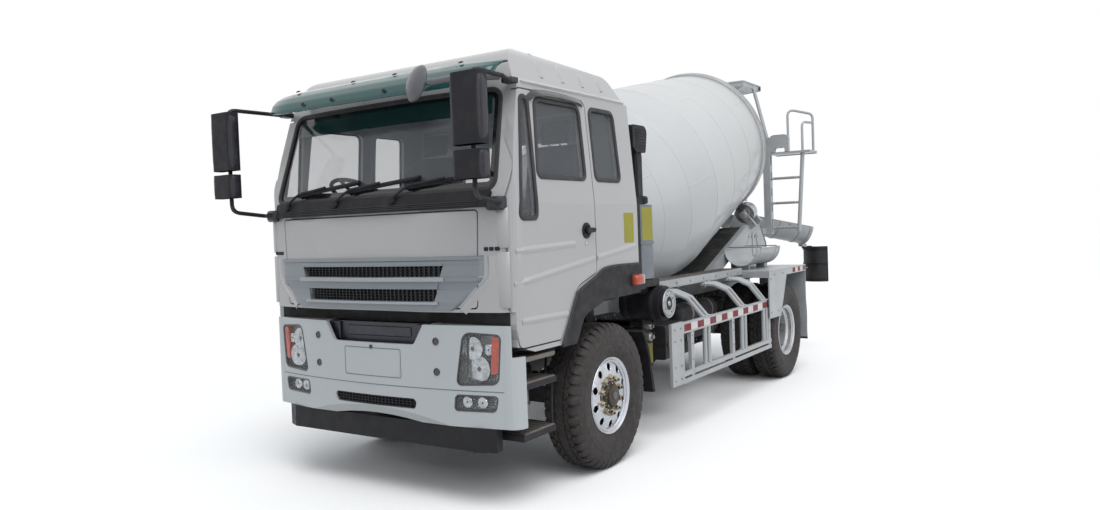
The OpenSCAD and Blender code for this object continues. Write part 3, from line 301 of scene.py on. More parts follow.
class Piece:
    """Mesh gathered from simple forms: one object that rides on one body."""

    def __init__(self, name, body, slot, mat=None):
        self.name, self.body, self.slot = name, body, slot
        self.verts, self.faces, self.index = [], [], []
        self.mats = [mat or finishes[slot]]

    def add(self, verts, faces, mat=None):
        if mat and mat not in self.mats:
            self.mats.append(mat)
        k, m = len(self.verts), self.mats.index(mat) if mat else 0
        self.verts += [tuple(v) for v in verts]
        self.faces += [tuple(k + i for i in f) for f in faces]
        self.index += [m] * len(faces)
        return self

    def box(self, a, b, mat=None):
        """Box between two opposite corners."""
        (x0, y0, z0), (x1, y1, z1) = a, b
        v = [Vector((x, y, z)) for z in (z0, z1) for y in (y0, y1) for x in (x0, x1)]
        return self.add(v, [(0, 2, 3, 1), (4, 5, 7, 6), (0, 1, 5, 4), (2, 6, 7, 3), (0, 4, 6, 2), (1, 3, 7, 5)], mat)

    def grid(self, rows, close_u=False, close_v=False, mat=None):
        """Surface through equal rows of points."""
        k, n = len(rows), len(rows[0])
        faces = [(i * n + j, i * n + (j + 1) % n, (i + 1) % k * n + (j + 1) % n, (i + 1) % k * n + j)
                 for i in range(k if close_v else k - 1) for j in range(n if close_u else n - 1)]
        return self.add([p for row in rows for p in row], faces, mat)

    def loft(self, rows, mat=None):
        """Closed rings joined into a solid."""
        n, k = len(rows[0]), len(self.verts)
        self.grid(rows, close_u=True, mat=mat)
        m = self.mats.index(mat) if mat else 0
        last = k + (len(rows) - 1) * n
        self.faces += [tuple(k + i for i in reversed(range(n))), tuple(last + i for i in range(n))]
        self.index += [m, m]
        return self

    def prism(self, outline, place, w0, w1, mat=None):
        """Outline (u, v) pushed from depth w0 to w1; place(u, v, w) gives the point."""
        return self.loft([[place(u, v, w) for u, v in outline] for w in (w0, w1)], mat)

    def sweep(self, path, sides, profile, closed=False, mat=None):
        """Profile rows of (across, out) carried along a path; sides are the outward normals."""
        rows = []
        for p, t, n in zip(path, directions(path, closed), sides):
            n = (n - n.dot(t) * t).normalized()
            w = t.cross(n)
            rows.append([p + w * a + n * b for a, b in profile])
        if closed:
            return self.grid(rows, close_u=True, close_v=True, mat=mat)
        return self.loft(rows, mat)

    def tube(self, path, r, n=10, mat=None, closed=False):
        path = [Vector(p) for p in path]
        dirs = directions(path, closed)
        side = dirs[0].orthogonal().normalized()
        sides = []
        for t in dirs:
            side = (side - side.dot(t) * t).normalized()
            sides.append(side)
        ring = [(r * math.cos(2 * math.pi * j / n), r * math.sin(2 * math.pi * j / n)) for j in range(n)]
        return self.sweep(path, sides, ring, closed, mat)

    def lathe(self, profile, origin, axis, n=48, mat=None, closed=False):
        """Rows of (radius, along axis) turned about an axis."""
        axis = Vector(axis).normalized()
        e1 = axis.orthogonal().normalized()
        e2 = axis.cross(e1)
        origin = Vector(origin)
        rows = [[origin + axis * s + r * (math.cos(2 * math.pi * j / n) * e1 + math.sin(2 * math.pi * j / n) * e2)
                 for j in range(n)] for r, s in profile]
        if closed:
            return self.grid(rows, close_u=True, close_v=True, mat=mat)
        return self.loft(rows, mat)

    def bolt(self, place, axis, r, h, mat=None):
        """Hexagon head with a domed top."""
        return self.lathe([(r, 0), (r, h * 0.8), (r * 0.8, h)], place, axis, 6, mat)

    def both(self, build):
        """Builds on the left, then mirrored on the right."""
        k, f = len(self.verts), len(self.faces)
        build(self)
        n = len(self.verts) - k
        self.verts += [(-x, y, z) for x, y, z in self.verts[k:]]
        self.faces += [tuple(i + n for i in reversed(face)) for face in self.faces[f:]]
        self.index += self.index[f:]
        return self

    def done(self, bevel=0.0, angle=32, replaces=()):
        """Makes the object: angle is where its edges turn sharp, replaces the nodes it stands for."""
        mesh = bpy.data.meshes.new(self.name)
        mesh.from_pydata(self.verts, [], self.faces)
        for mat in self.mats:
            mesh.materials.append(mat)
        mesh.polygons.foreach_set("material_index", self.index)
        mesh.validate()
        work = bmesh.new()
        work.from_mesh(mesh)
        bmesh.ops.recalc_face_normals(work, faces=work.faces)
        work.to_mesh(mesh)
        work.free()
        mesh.shade_smooth()
        mesh.set_sharp_from_angle(angle=math.radians(angle))
        o = bpy.data.objects.new(self.name, mesh)
        scene.collection.objects.link(o)
        if bevel:
            m = o.modifiers.new("bevel", "BEVEL")
            m.width, m.segments, m.limit_method, m.angle_limit = bevel, BEVEL_STEPS, "ANGLE", math.radians(angle)
            m.harden_normals = True
        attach(o, self.body)
        if replaces:
            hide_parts(*replaces)
        return o


# Places on the cab's skin

def skin_of(*names):
    """Search tree over the faces of the named nodes."""
    verts, faces = [], []
    for name in names:
        k = len(verts)
        m = nodes[name].data
        verts += [v.co.copy() for v in m.vertices]
        faces += [[k + i for i in p.vertices] for p in m.polygons]
    return BVHTree.FromPolygons(verts, faces)


CAB = skin_of("cab_shell", "door_left", "door_right", "front_panel")
SHELL = skin_of("cab_shell")
# Places tried in turn where a ray falls into a gap of the skin, and where the rays start
NEAR = [(0, 0)] + [(a * d, b * d) for d in (0.012, 0.024) for a, b in ((0, 1), (0, -1), (1, 0), (-1, 0))]
RAY_START = 20


def on_front(x, z, tree=CAB):
    """Point and outward normal of the cab's front at (x, z); where a gap lies there, of the skin beside it."""
    for a, b in NEAR:
        p, n, _, _ = tree.ray_cast(Vector((x + a, -RAY_START, z + b)), Vector((0, 1, 0)))
        if p and p.y < OY - 0.9:
            return Vector((x, p.y, z)), (n if n.y < 0 else -n)
    raise ValueError(f"no front at {x}, {z}")


def on_side(y, z, side=1, tree=CAB):
    """Point and outward normal of the cab's side at (y from the front axle, z)."""
    for a, b in NEAR:
        p, n, _, _ = tree.ray_cast(Vector((side * RAY_START, y + OY + a, z + b)), Vector((-side, 0, 0)))
        if p and p.x * side > 0.9:
            return Vector((p.x, y + OY, z)), (n if n.x * side > 0 else -n)
    raise ValueError(f"no side at {y}, {z}")

# Places on curved surfaces

def bow(x, front, radius=5.2):
    """Where a bowed front lies at x, in y; its middle is that far ahead of the front axle."""
    return OY - front + radius - math.sqrt(radius * radius - x * x)


def outward(points, e):
    """Closed outline moved outwards by e (inwards if negative)."""
    k = len(points)
    area = sum(points[i][0] * points[(i + 1) % k][1] - points[(i + 1) % k][0] * points[i][1] for i in range(k))
    e = e if area > 0 else -e
    out = []
    for i, p in enumerate(points):
        t = (Vector(points[(i + 1) % k]) - Vector(points[i - 1])).normalized()
        out.append((p[0] + t.y * e, p[1] - t.x * e))
    return out


SEAL = [(-0.017, -0.006), (-0.015, 0.004), (-0.008, 0.008), (0.008, 0.008), (0.015, 0.004), (0.017, -0.006)]


def seal(piece, outline, finder, profile=SEAL, move=0.004):
    """Section laid round an opening on a skin."""
    path, sides = zip(*[finder(a, b) for a, b in outward(resample(outline), move)])
    return piece.sweep(path, sides, profile, closed=True)


def ridge(piece, points, finder, profile):
    """Section laid along an open line on a skin."""
    path, sides = zip(*[finder(a, b) for a, b in points])
    return piece.sweep(path, sides, profile)


def line(a, b, n):
    """Straight line from a to b in n steps."""
    return [tuple(p + (q - p) * i / n for p, q in zip(a, b)) for i in range(n + 1)]


def value_at(s, table):
    """Value at place s in rows of (place, value), straight between the rows and level beyond them."""
    if s <= table[0][0]:
        return table[0][1]
    for (s0, v0), (s1, v1) in zip(table, table[1:]):
        if s <= s1:
            return v0 + (v1 - v0) * (s - s0) / (s1 - s0)
    return table[-1][1]


# Windows

RUBBER = surface("rubber", (0.022, 0.022, 0.024), 0.6, vary=0.2, grime=(0.10, 0.09, 0.08), grime_share=0.2, bump=0.1)
BORDER = surface("glass_border", (0.012, 0.012, 0.014), 0.12, coat=0.5, vary=0.1)
TINT = surface("screen_tint", (0.010, 0.040, 0.038), 0.08, coat=0.4, vary=0.1, alpha=0.88)
SCREEN = mirrored([(1.030, 2.050, 0.06), (0.975, 2.700, 0.08)])
DOOR_WINDOW = [(-0.845, 2.130, 0.04), (-0.250, 2.130, 0.04), (-0.250, 2.640, 0.06), (-0.800, 2.640, 0.06)]
QUARTER_WINDOW = [(-1.080, 1.860, 0.03), (-0.900, 1.860, 0.03), (-0.885, 2.640, 0.04), (-0.960, 2.640, 0.03)]
REAR_WINDOW = [(-0.100, 2.130, 0.04), (0.260, 2.130, 0.04), (0.245, 2.640, 0.05), (-0.100, 2.640, 0.05)]
PANE = skin_of("cab_glass")


def on_pane(x, z, lift=0.0):
    p, n = on_front(x, z, PANE)
    return p + n * lift


p = Piece("windscreen_seal", "cab", "black_plastic", RUBBER)
seal(p, rounded(SCREEN), lambda x, z: on_front(x, z, SHELL)).done()
p = Piece("windscreen_border", "cab", "black_plastic", BORDER)
ring = resample(rounded(SCREEN), 0.05)
p.grid([[on_pane(x, z, 0.001) for x, z in outward(ring, -e)] for e in (0.004, 0.045)], close_u=True).done()
p = Piece("windscreen_tint", "cab", "black_plastic", TINT)
p.grid([[on_pane(x * 0.97 * (1.02 - 0.085 * (z - 2.05) / 0.65), z, 0.0015) for x in [i / 20 for i in range(-20, 21)]]
        for z in (2.54, 2.58, 2.62, 2.665)]).done()
for side, name in SIDES:
    p = Piece("door_seals_" + name, "door_" + name, "black_plastic", RUBBER)
    for window in (DOOR_WINDOW, QUARTER_WINDOW):
        seal(p, rounded(window), lambda y, z: on_side(y, z, side))
    p.done()
p = Piece("rear_window_seals", "cab", "black_plastic", RUBBER)
for side in (1, -1):
    seal(p, rounded(REAR_WINDOW), lambda y, z: on_side(y, z, side))
p.done()

# Wipers and cowl
p = Piece("wipers", "cab", "black_plastic")
for foot in (-0.86, -0.31, 0.24):
    q, n = on_front(foot, 2.005)
    q = q + n * 0.02
    p.lathe([(0.030, -0.03), (0.030, 0.012), (0.022, 0.022), (0.001, 0.024)], q, n, 16)
    arm = [q + n * 0.018] + [on_pane(foot + 0.42 * t, 2.07 + 0.055 * t, 0.045) for t in (0.3, 0.65, 1.0)]
    p.tube(curve_through(arm, 4), 0.009, 8)
    blade = [on_pane(foot + 0.42 + 0.33 * s, 2.118 + 0.03 * s, 0.016) for s in [i / 6 for i in range(-6, 7)]]
    p.sweep(blade, [n] * len(blade), [(-0.010, -0.014), (-0.016, 0.004), (-0.006, 0.018), (0.006, 0.018), (0.016, 0.004), (0.010, -0.014)])
p.done()
COWL = skin_of("cowl")
p = Piece("cowl_louvres", "cab", "black_plastic", RUBBER)
for z in (1.950, 1.962, 1.974):
    ridge(p, line((-0.93, z), (0.93, z), 24), lambda x, z: on_front(x, z, COWL), [(-0.003, -0.002), (-0.002, 0.005), (0.002, 0.005), (0.003, -0.002)])
p.done()

# Grille: one shaped front over the plain CAD frame, with two dark slots
GRILLE_FRONT, BUMPER_FRONT = 1.305, 1.290       # how far their middles lie ahead of the front axle
# Columns are height and half width of the grille
GRILLE_LINE = [(1.283, 0.715), (1.296, 0.748), (1.330, 0.785), (1.400, 0.856), (1.470, 0.928), (1.490, 0.944),
               (1.520, 0.952), (1.632, 0.952)]
# Columns are height, then how far the middle and the wings stand out of the bowed front
GRILLE_ROWS = [(1.283, 0.0, 0.0), (1.285, 0.018, 0.016), (1.300, 0.022, 0.018), (1.318, 0.022, 0.018),
               (1.322, 0.034, 0.020), (1.338, 0.034, 0.020), (1.341, -0.030, 0.018), (1.380, -0.030, 0.012),
               (1.417, -0.030, 0.006), (1.420, 0.016, 0.004), (1.450, 0.020, 0.010), (1.466, 0.020, 0.014),
               (1.470, 0.038, 0.030), (1.496, 0.038, 0.030), (1.500, -0.030, 0.020), (1.535, -0.030, 0.018),
               (1.568, -0.030, 0.016), (1.572, 0.024, 0.014), (1.588, 0.026, 0.020), (1.604, 0.020, 0.020),
               (1.608, 0.028, 0.028), (1.626, 0.026, 0.026), (1.632, 0.0, 0.0)]
rows = []
for z, deep, wing in GRILLE_ROWS:
    w = value_at(z, GRILLE_LINE)
    s = 0.585 + (z - 1.34) * 0.33          # half width of the slots
    row = []
    for i in range(-34, 35):
        k = abs(i)
        if k <= 20:
            x, h = s * k / 20, deep
        elif k == 21:
            x, h = s + 0.004, wing
        else:
            t = (k - 21) / 13
            x, h = s + 0.004 + (w - s - 0.004) * t, wing * (1 if k < 33 else 0.9 if k == 33 else 0)
        row.append(Vector((x if i >= 0 else -x, bow(x, GRILLE_FRONT) - h, z)))
    rows.append(row)
p = Piece("grille_front", "front_panel", "grille_plastic")
p.grid(rows).done(angle=25, replaces=["grille"])
# Painted highlight: lighter faces on the two forward bars of the grille
p = Piece("grille_bar_highlights", "front_panel", "grille_plastic", surface("painted_grille_highlight", (0.36, 0.385, 0.41), 0.42, vary=0.03))
for z, half, out, h in ((1.329, 0.625, 0.035, 0.009), (1.483, 0.680, 0.039, 0.014)):
    path = [Vector((half * j / 12, bow(half * j / 12, GRILLE_FRONT) - out, z)) for j in range(-12, 13)]
    p.sweep(path, [Vector((0, -1, 0))] * 25, [(-h, -0.012), (-h, -0.001), (-h + 0.003, 0.002), (h - 0.003, 0.002), (h, -0.001), (h, -0.012)])
p.done(angle=40)
MESH = surface("dark_mesh", (0.008, 0.008, 0.012), 0.5, vary=0.2, bump=0.5, bump_scale=60, grain="voronoi")
p = Piece("grille_mesh", "front_panel", "black_plastic", MESH)
for z0, z1, half in ((1.341, 1.419, 0.585), (1.500, 1.570, 0.640)):
    for i in range(1, 4):
        z = z0 + (z1 - z0) * i / 4
        p.sweep([Vector((x, bow(x, GRILLE_FRONT) + 0.022, z)) for x in [half * j / 10 for j in range(-10, 11)]], [Vector((0, -1, 0))] * 21,
                [(-0.004, -0.01), (-0.002, 0.012), (0.002, 0.012), (0.004, -0.01)])
    for i in range(-16, 17):
        x = half * i / 16.5
        p.box((x - 0.003, bow(x, GRILLE_FRONT) + 0.006, z0), (x + 0.003, bow(x, GRILLE_FRONT) + 0.03, z1))
p.done()

# Corners beside the grille: a crease along the frame, a vent, and panels that end ahead of the doors
CREASE = [(-0.045, -0.003), (-0.012, 0.010), (0.0, 0.012), (0.008, 0.008), (0.016, -0.003)]


def corner_skin(t, z, off):
    """Point on the cab's corner in plan: t is 0 at the front (x 1.03) and 1 on the side (y -1.08)."""
    a = math.radians(90 * t)
    r = 0.115 + off
    return Vector((1.035 + r * math.sin(a), OY - 1.080 - r * math.cos(a), z))


for side, name in SIDES:
    p = Piece("corner_trim_" + name, "cab", "cab_paint")
    pts = [(side * x, z) for x, z in ((0.78, 1.290), (0.82, 1.33), (0.90, 1.41), (0.985, 1.49), (0.992, 1.53), (0.992, 1.63))]
    ridge(p, pts, lambda x, z: on_front(x, z, CAB), [(a * -side, b) for a, b in CREASE])
    p.done()
    p = Piece("corner_vent_" + name, "cab", "black_plastic")
    for x0, x1 in ((0.955, 0.985), (0.992, 1.022), (1.029, 1.062)):
        q, n = on_front(side * (x0 + x1) / 2, 1.672, CAB)
        p.box((side * x0, q.y - 0.006, 1.660), (side * x1, q.y + 0.012, 1.684))
    p.done(bevel=0.003)
    p = Piece("corner_panels_" + name, "cab", "cab_paint")
    for z0, z1 in ((1.298, 1.650), (1.676, 1.925)):
        rings = []
        for z, grow in ((z0, -0.004), (z0 + 0.006, 0.0), (z1 - 0.006, 0.0), (z1, -0.004)):
            ts = [0.06 + 0.42 * i / 8 for i in range(9)]
            lift = [0.004 + 0.014 * t + grow for t in ts]
            ring = [corner_skin(t, z, e) for t, e in zip(ts, lift)]
            ring += [corner_skin(t, z, e - 0.006) for t, e in reversed(list(zip(ts, lift)))]
            rings.append([Vector((side * q.x, q.y, q.z)) for q in ring])
        p.loft(rings)
    p.done(angle=40)

# Lamps and bumper

LAMP_LINE = [(0.710, 0.800, 0.03), (1.010, 0.815, 0.05), (1.035, 1.125, 0.03), (0.770, 1.140, 0.06)]
FOG_LINE = [(0.690, 0.635, 0.02), (0.985, 0.640, 0.03), (1.005, 0.735, 0.02), (0.700, 0.735, 0.03)]
BOWL = surface("reflector", (0.42, 0.44, 0.46), 0.14, metal=1.0, vary=0.2, vary_scale=30, rough_vary=0.05)
HOUSE = surface("lamp_house", (0.25, 0.26, 0.27), 0.22, metal=0.8, vary=0.35, vary_scale=25)
ORANGE = surface("orange_lens", (0.50, 0.045, 0.010), 0.18, coat=0.3, vary=0.15, vary_scale=25)
BEZEL = surface("lamp_bezel", (0.03, 0.03, 0.035), 0.25, coat=0.4, vary=0.1)
# Painted shade: the dark band laid in the gap between the cab and the bumper
GAP_SHADE = surface("painted_gap_shade", (0.015, 0.015, 0.016), 0.8, vary=0.1)


def on_bumper(x, z, deep=0.0):
    """Point at (x, z), so deep behind the bumper's bowed face."""
    return Vector((x, bow(x, BUMPER_FRONT) + deep, z))


def bumper_face(x, z):
    return on_bumper(x, z), AHEAD


for side, name in SIDES:
    p = Piece("headlamp_inside_" + name, "chassis", "lamp", BOWL)
    for shape, deep in ((LAMP_LINE, 0.085), (FOG_LINE, 0.06)):
        ring = [(side * a, b) for a, b in resample(rounded(shape), 0.05)]
        k = len(ring)
        cx, cz = sum(a for a, b in ring) / k, sum(b for a, b in ring) / k
        rows = [[on_bumper(cx + (a - cx) * s, cz + (b - cz) * s, d) for a, b in ring]
                for s, d in ((0.985, 0.012), (0.97, deep * 0.5), (0.90, deep), (0.5, deep + 0.004), (0.02, deep + 0.004))]
        p.grid(rows, close_u=True, mat=HOUSE)
        # Flutes across the house
        for i in range(7):
            z = cz + (i - 3) * 0.04 * (2.2 if deep > 0.07 else 1) * 0.5
            half = max(abs(a - cx) for a, b in ring) * 0.9
            p.prism([(z - 0.003, 0.0), (z, 0.010), (z + 0.003, 0.0)], lambda u, v, w: on_bumper(w, u, deep - v), cx - half, cx + half, HOUSE)
    # Bowls: columns are place across, height, radius and depth
    for x, z, r, deep in ((0.822, 1.035, 0.072, 0.05), (0.865, 0.905, 0.078, 0.055), (0.935, 1.03, 0.035, 0.03),
                          (0.770, 0.688, 0.036, 0.03), (0.880, 0.688, 0.036, 0.03)):
        c = on_bumper(side * x, z, 0.020)
        steps = [(r * 1.00, 0.0), (r * 1.08, 0.003), (r * 1.08, 0.014), (r * 0.97, 0.012)]
        for i in range(6):
            q = 0.94 - 0.12 * i
            steps += [(r * q, deep * (0.22 + 0.12 * i)), (r * (q - 0.05), deep * (0.33 + 0.12 * i))]
        p.lathe(steps + [(r * 0.22, deep)], c, (0, 1, 0), 32)
        p.lathe([(r * 0.93, 0.013), (r * 0.90, 0.006), (r * 0.84, 0.006), (r * 0.84, 0.016)], c, (0, 1, 0), 32, mat=BEZEL, closed=True)
        p.lathe([(0.001, -0.004), (r * 0.20, 0.0), (r * 0.26, 0.010), (r * 0.28, deep)], c, (0, 1, 0), 18, mat=BEZEL)
        for j in range(3):
            t = 2 * math.pi * j / 3 + 0.5
            u = Vector((math.cos(t), 0, math.sin(t)))
            p.prism([(0.24, -0.010), (0.86, -0.006), (0.86, 0.006), (0.24, 0.010)],
                    lambda a, b, w: c + u * (r * a) + Vector((-u.z, 0, u.x)) * b + Vector((0, w, 0)), 0.008, 0.012, BEZEL)
    p.done()
    p = Piece("turn_lens_" + name, "chassis", "lamp", ORANGE)
    lens = [(0.955, 0.872, 0.01), (1.008, 0.880, 0.015), (1.026, 1.112, 0.015), (0.968, 1.118, 0.01)]
    p.prism([(side * a, b) for a, b in rounded(lens)], lambda u, v, w: on_bumper(u, v, w), 0.004, 0.055)
    p.done(bevel=0.004)
    p = Piece("lamp_rims_" + name, "chassis", "black_plastic", BEZEL)
    for shape in (LAMP_LINE, FOG_LINE):
        seal(p, [(side * a, b) for a, b in rounded(shape)], bumper_face, strip(0.006, 0.01, 0.005, 0.002), move=0.0)
    p.done()

BUMPER_SHADE = surface("bumper_shade", (0.16, 0.175, 0.18), 0.5, coat=0.2, vary=0.05)
p = Piece("bumper_lines", "chassis", "bumper_paint", BUMPER_SHADE)
for x0, x1 in ((-1.06, -0.41), (0.41, 1.06), (-0.41, 0.41)):
    ridge(p, line((x0, 0.765), (x1, 0.765), 14), bumper_face, strip(0.003, 0.004, 0.003, 0.001))
seal(p, rounded([(-0.26, 0.825, 0.008), (0.26, 0.825, 0.008), (0.26, 1.010, 0.008), (-0.26, 1.010, 0.008)]),
     bumper_face, strip(0.0035, 0.004, 0.003, 0.001))
p.done()
p = Piece("plate_place", "chassis", "bumper_paint")
p.prism(rounded([(-0.252, 0.833, 0.008), (0.252, 0.833, 0.008), (0.252, 1.002, 0.008), (-0.252, 1.002, 0.008)]),
        lambda u, v, w: on_bumper(u, v, w), -0.003, 0.006)
p.done(bevel=0.0015)
p = Piece("bumper_caps", "chassis", "black_plastic", BEZEL)
for x, z, r in ((-0.56, 1.078, 0.024), (-0.56, 0.878, 0.024), (0.56, 1.078, 0.024), (0.56, 0.878, 0.024), (0.0, 1.022, 0.014)):
    p.lathe([(r, -0.006), (r * 1.08, 0.0), (r * 1.02, 0.005), (r * 0.75, 0.006), (r * 0.7, 0.002), (0.001, 0.003)], on_bumper(x, z), (0, -1, 0), 24)
p.done()
p = Piece("bumper_grille", "chassis", "black_plastic", MESH)
p.box((-0.42, OY - 1.245, 0.61), (0.42, OY - 1.235, 0.70))
for i in range(4):
    z = 0.628 + i * 0.018
    p.sweep([on_bumper(x, z, 0.022) for x in [0.4 * j / 8 for j in range(-8, 9)]], [Vector((0, -1, 0))] * 17, [(-0.003, -0.008), (-0.0015, 0.01), (0.0015, 0.01), (0.003, -0.008)])
for i in range(-12, 13):
    x = 0.385 * i / 12
    q = on_bumper(x, 0, 0.018).y
    p.box((x - 0.003, q, 0.622), (x + 0.003, q + 0.012, 0.692))
p.done()
INSIDE = surface("inner_blue_black", (0.010, 0.011, 0.022), 0.42, coat=0.2, vary=0.3, vary_scale=6, grime=(0.05, 0.05, 0.055), grime_share=0.3)
p = Piece("bumper_backing", "chassis", "black_plastic", INSIDE)
p.box((-0.50, OY - 1.205, 1.020), (0.50, OY - 1.190, 1.185))
for x in (-0.43, 0.43):
    p.box((x - 0.06, OY - 1.225, 1.05), (x + 0.06, OY - 1.200, 1.180))
p.box((-0.30, OY - 1.215, 1.085), (0.30, OY - 1.200, 1.155))
p.done(bevel=0.01)

# Sun visor: one shell with rounded ends that turn back along the roof
VISOR_SECTION = [(-1.325, 2.690), (-1.322, 2.712), (-1.300, 2.760), (-1.250, 2.810), (-1.180, 2.852), (-1.100, 2.882)]
VISOR = surface("visor_teal", (0.008, 0.068, 0.066), 0.18, coat=0.12, vary=0.15, vary_scale=1.2, grime=(0.05, 0.12, 0.12), grime_share=0.2, bump=0.02, bump_scale=30)


def visor_point(u, v, inside):
    """u runs -1 to 1 across, v 0 to 1 from the lip to the roof."""
    i = min(int(v * 5), 4)
    (y0, z0), (y1, z1) = VISOR_SECTION[i], VISOR_SECTION[i + 1]
    t = v * 5 - i
    y, z = y0 + (y1 - y0) * t, z0 + (z1 - z0) * t
    a = abs(u)
    end = max(0.0, (a - 0.72) / 0.28)
    x = 1.045 * (a if a < 0.72 else 0.72 + 0.28 * math.sin(end * math.pi / 2))
    y += 0.02 * a * a + 0.17 * (1 - math.cos(end * math.pi / 2)) * (1 - 0.55 * v)
    z += 0.055 * end ** 1.5 * (1 - v) - 0.012 * end * v
    if inside:
        y, z, x = y + 0.006 * (1 - v) + 0.002, z - 0.006 * v - 0.002, x * 0.994
    return at(math.copysign(x, u), y, z)


us = [i / 36 for i in range(-36, 37)]
vs = [i / 20 for i in range(21)]
p = Piece("visor_shell", "cab", "teal_plastic", VISOR)
outer = [[visor_point(u, v, False) for u in us] for v in vs]
inner = [[visor_point(u, v, True) for u in us] for v in vs]
p.grid(outer + list(reversed(inner)), close_v=True)
p.done(replaces=["sun_visor"])
p = Piece("visor_brackets", "cab", "black_plastic")
for x in (-0.78, -0.2, 0.2, 0.78):
    p.tube([at(x, -1.20, 2.825), at(x, -1.06, 2.80), at(x, -0.985, 2.82)], 0.012, 8)
    p.lathe([(0.016, 0), (0.016, 0.006), (0.001, 0.010)], at(x, -1.155, 2.868), (0, -0.35, 0.94), 12)
for x in (-0.55, -0.25, 0.25, 0.55):
    p.lathe([(0.014, 0), (0.014, 0.004), (0.001, 0.007)], at(x, -1.322 + 0.02 * x * x, 2.735), (0, -0.95, 0.3), 12)
p.done()


# Dark band of painted shade where the cab stands over the bumper, and the clean black of the bar under it
p = Piece("front_gap_shade", "cab", "black_plastic", GAP_SHADE)
p.sweep([at(x, -1.1375, 1.225) for x in (-1.08, -0.6, 0.0, 0.6, 1.08)], [Vector((0, -1, 0))] * 5,
        [(-0.042, -0.002), (-0.042, 0.003), (0.042, 0.003), (0.042, -0.002)])
p.done(angle=30)
UNDER = surface("bar_black", (0.010, 0.010, 0.012), 0.50, vary=0.15, grime=(0.05, 0.045, 0.04), grime_share=0.12, bump=0.05, bump_scale=60, shine=0.25)
nodes["underrun_bar"].data.materials[0] = UNDER

# Cab sides and roof

SOFT = [(-0.030, -0.002), (-0.012, 0.004), (-0.003, 0.0085), (0.003, 0.0085), (0.018, 0.003), (0.034, -0.002)]
CLEAR = surface("marker_clear", (0.50, 0.48, 0.46), 0.15, coat=0.5, vary=0.1)
YELLOW = surface("yellow_sticker", (0.33, 0.31, 0.03), 0.5, vary=0.08, grime=(0.22, 0.21, 0.05), grime_share=0.3, shine=0.3)
SILVER = surface("plated_steel", (0.55, 0.56, 0.57), 0.32, metal=1.0, vary=0.1, grime=DIRT, grime_share=0.25, bump=0.05)

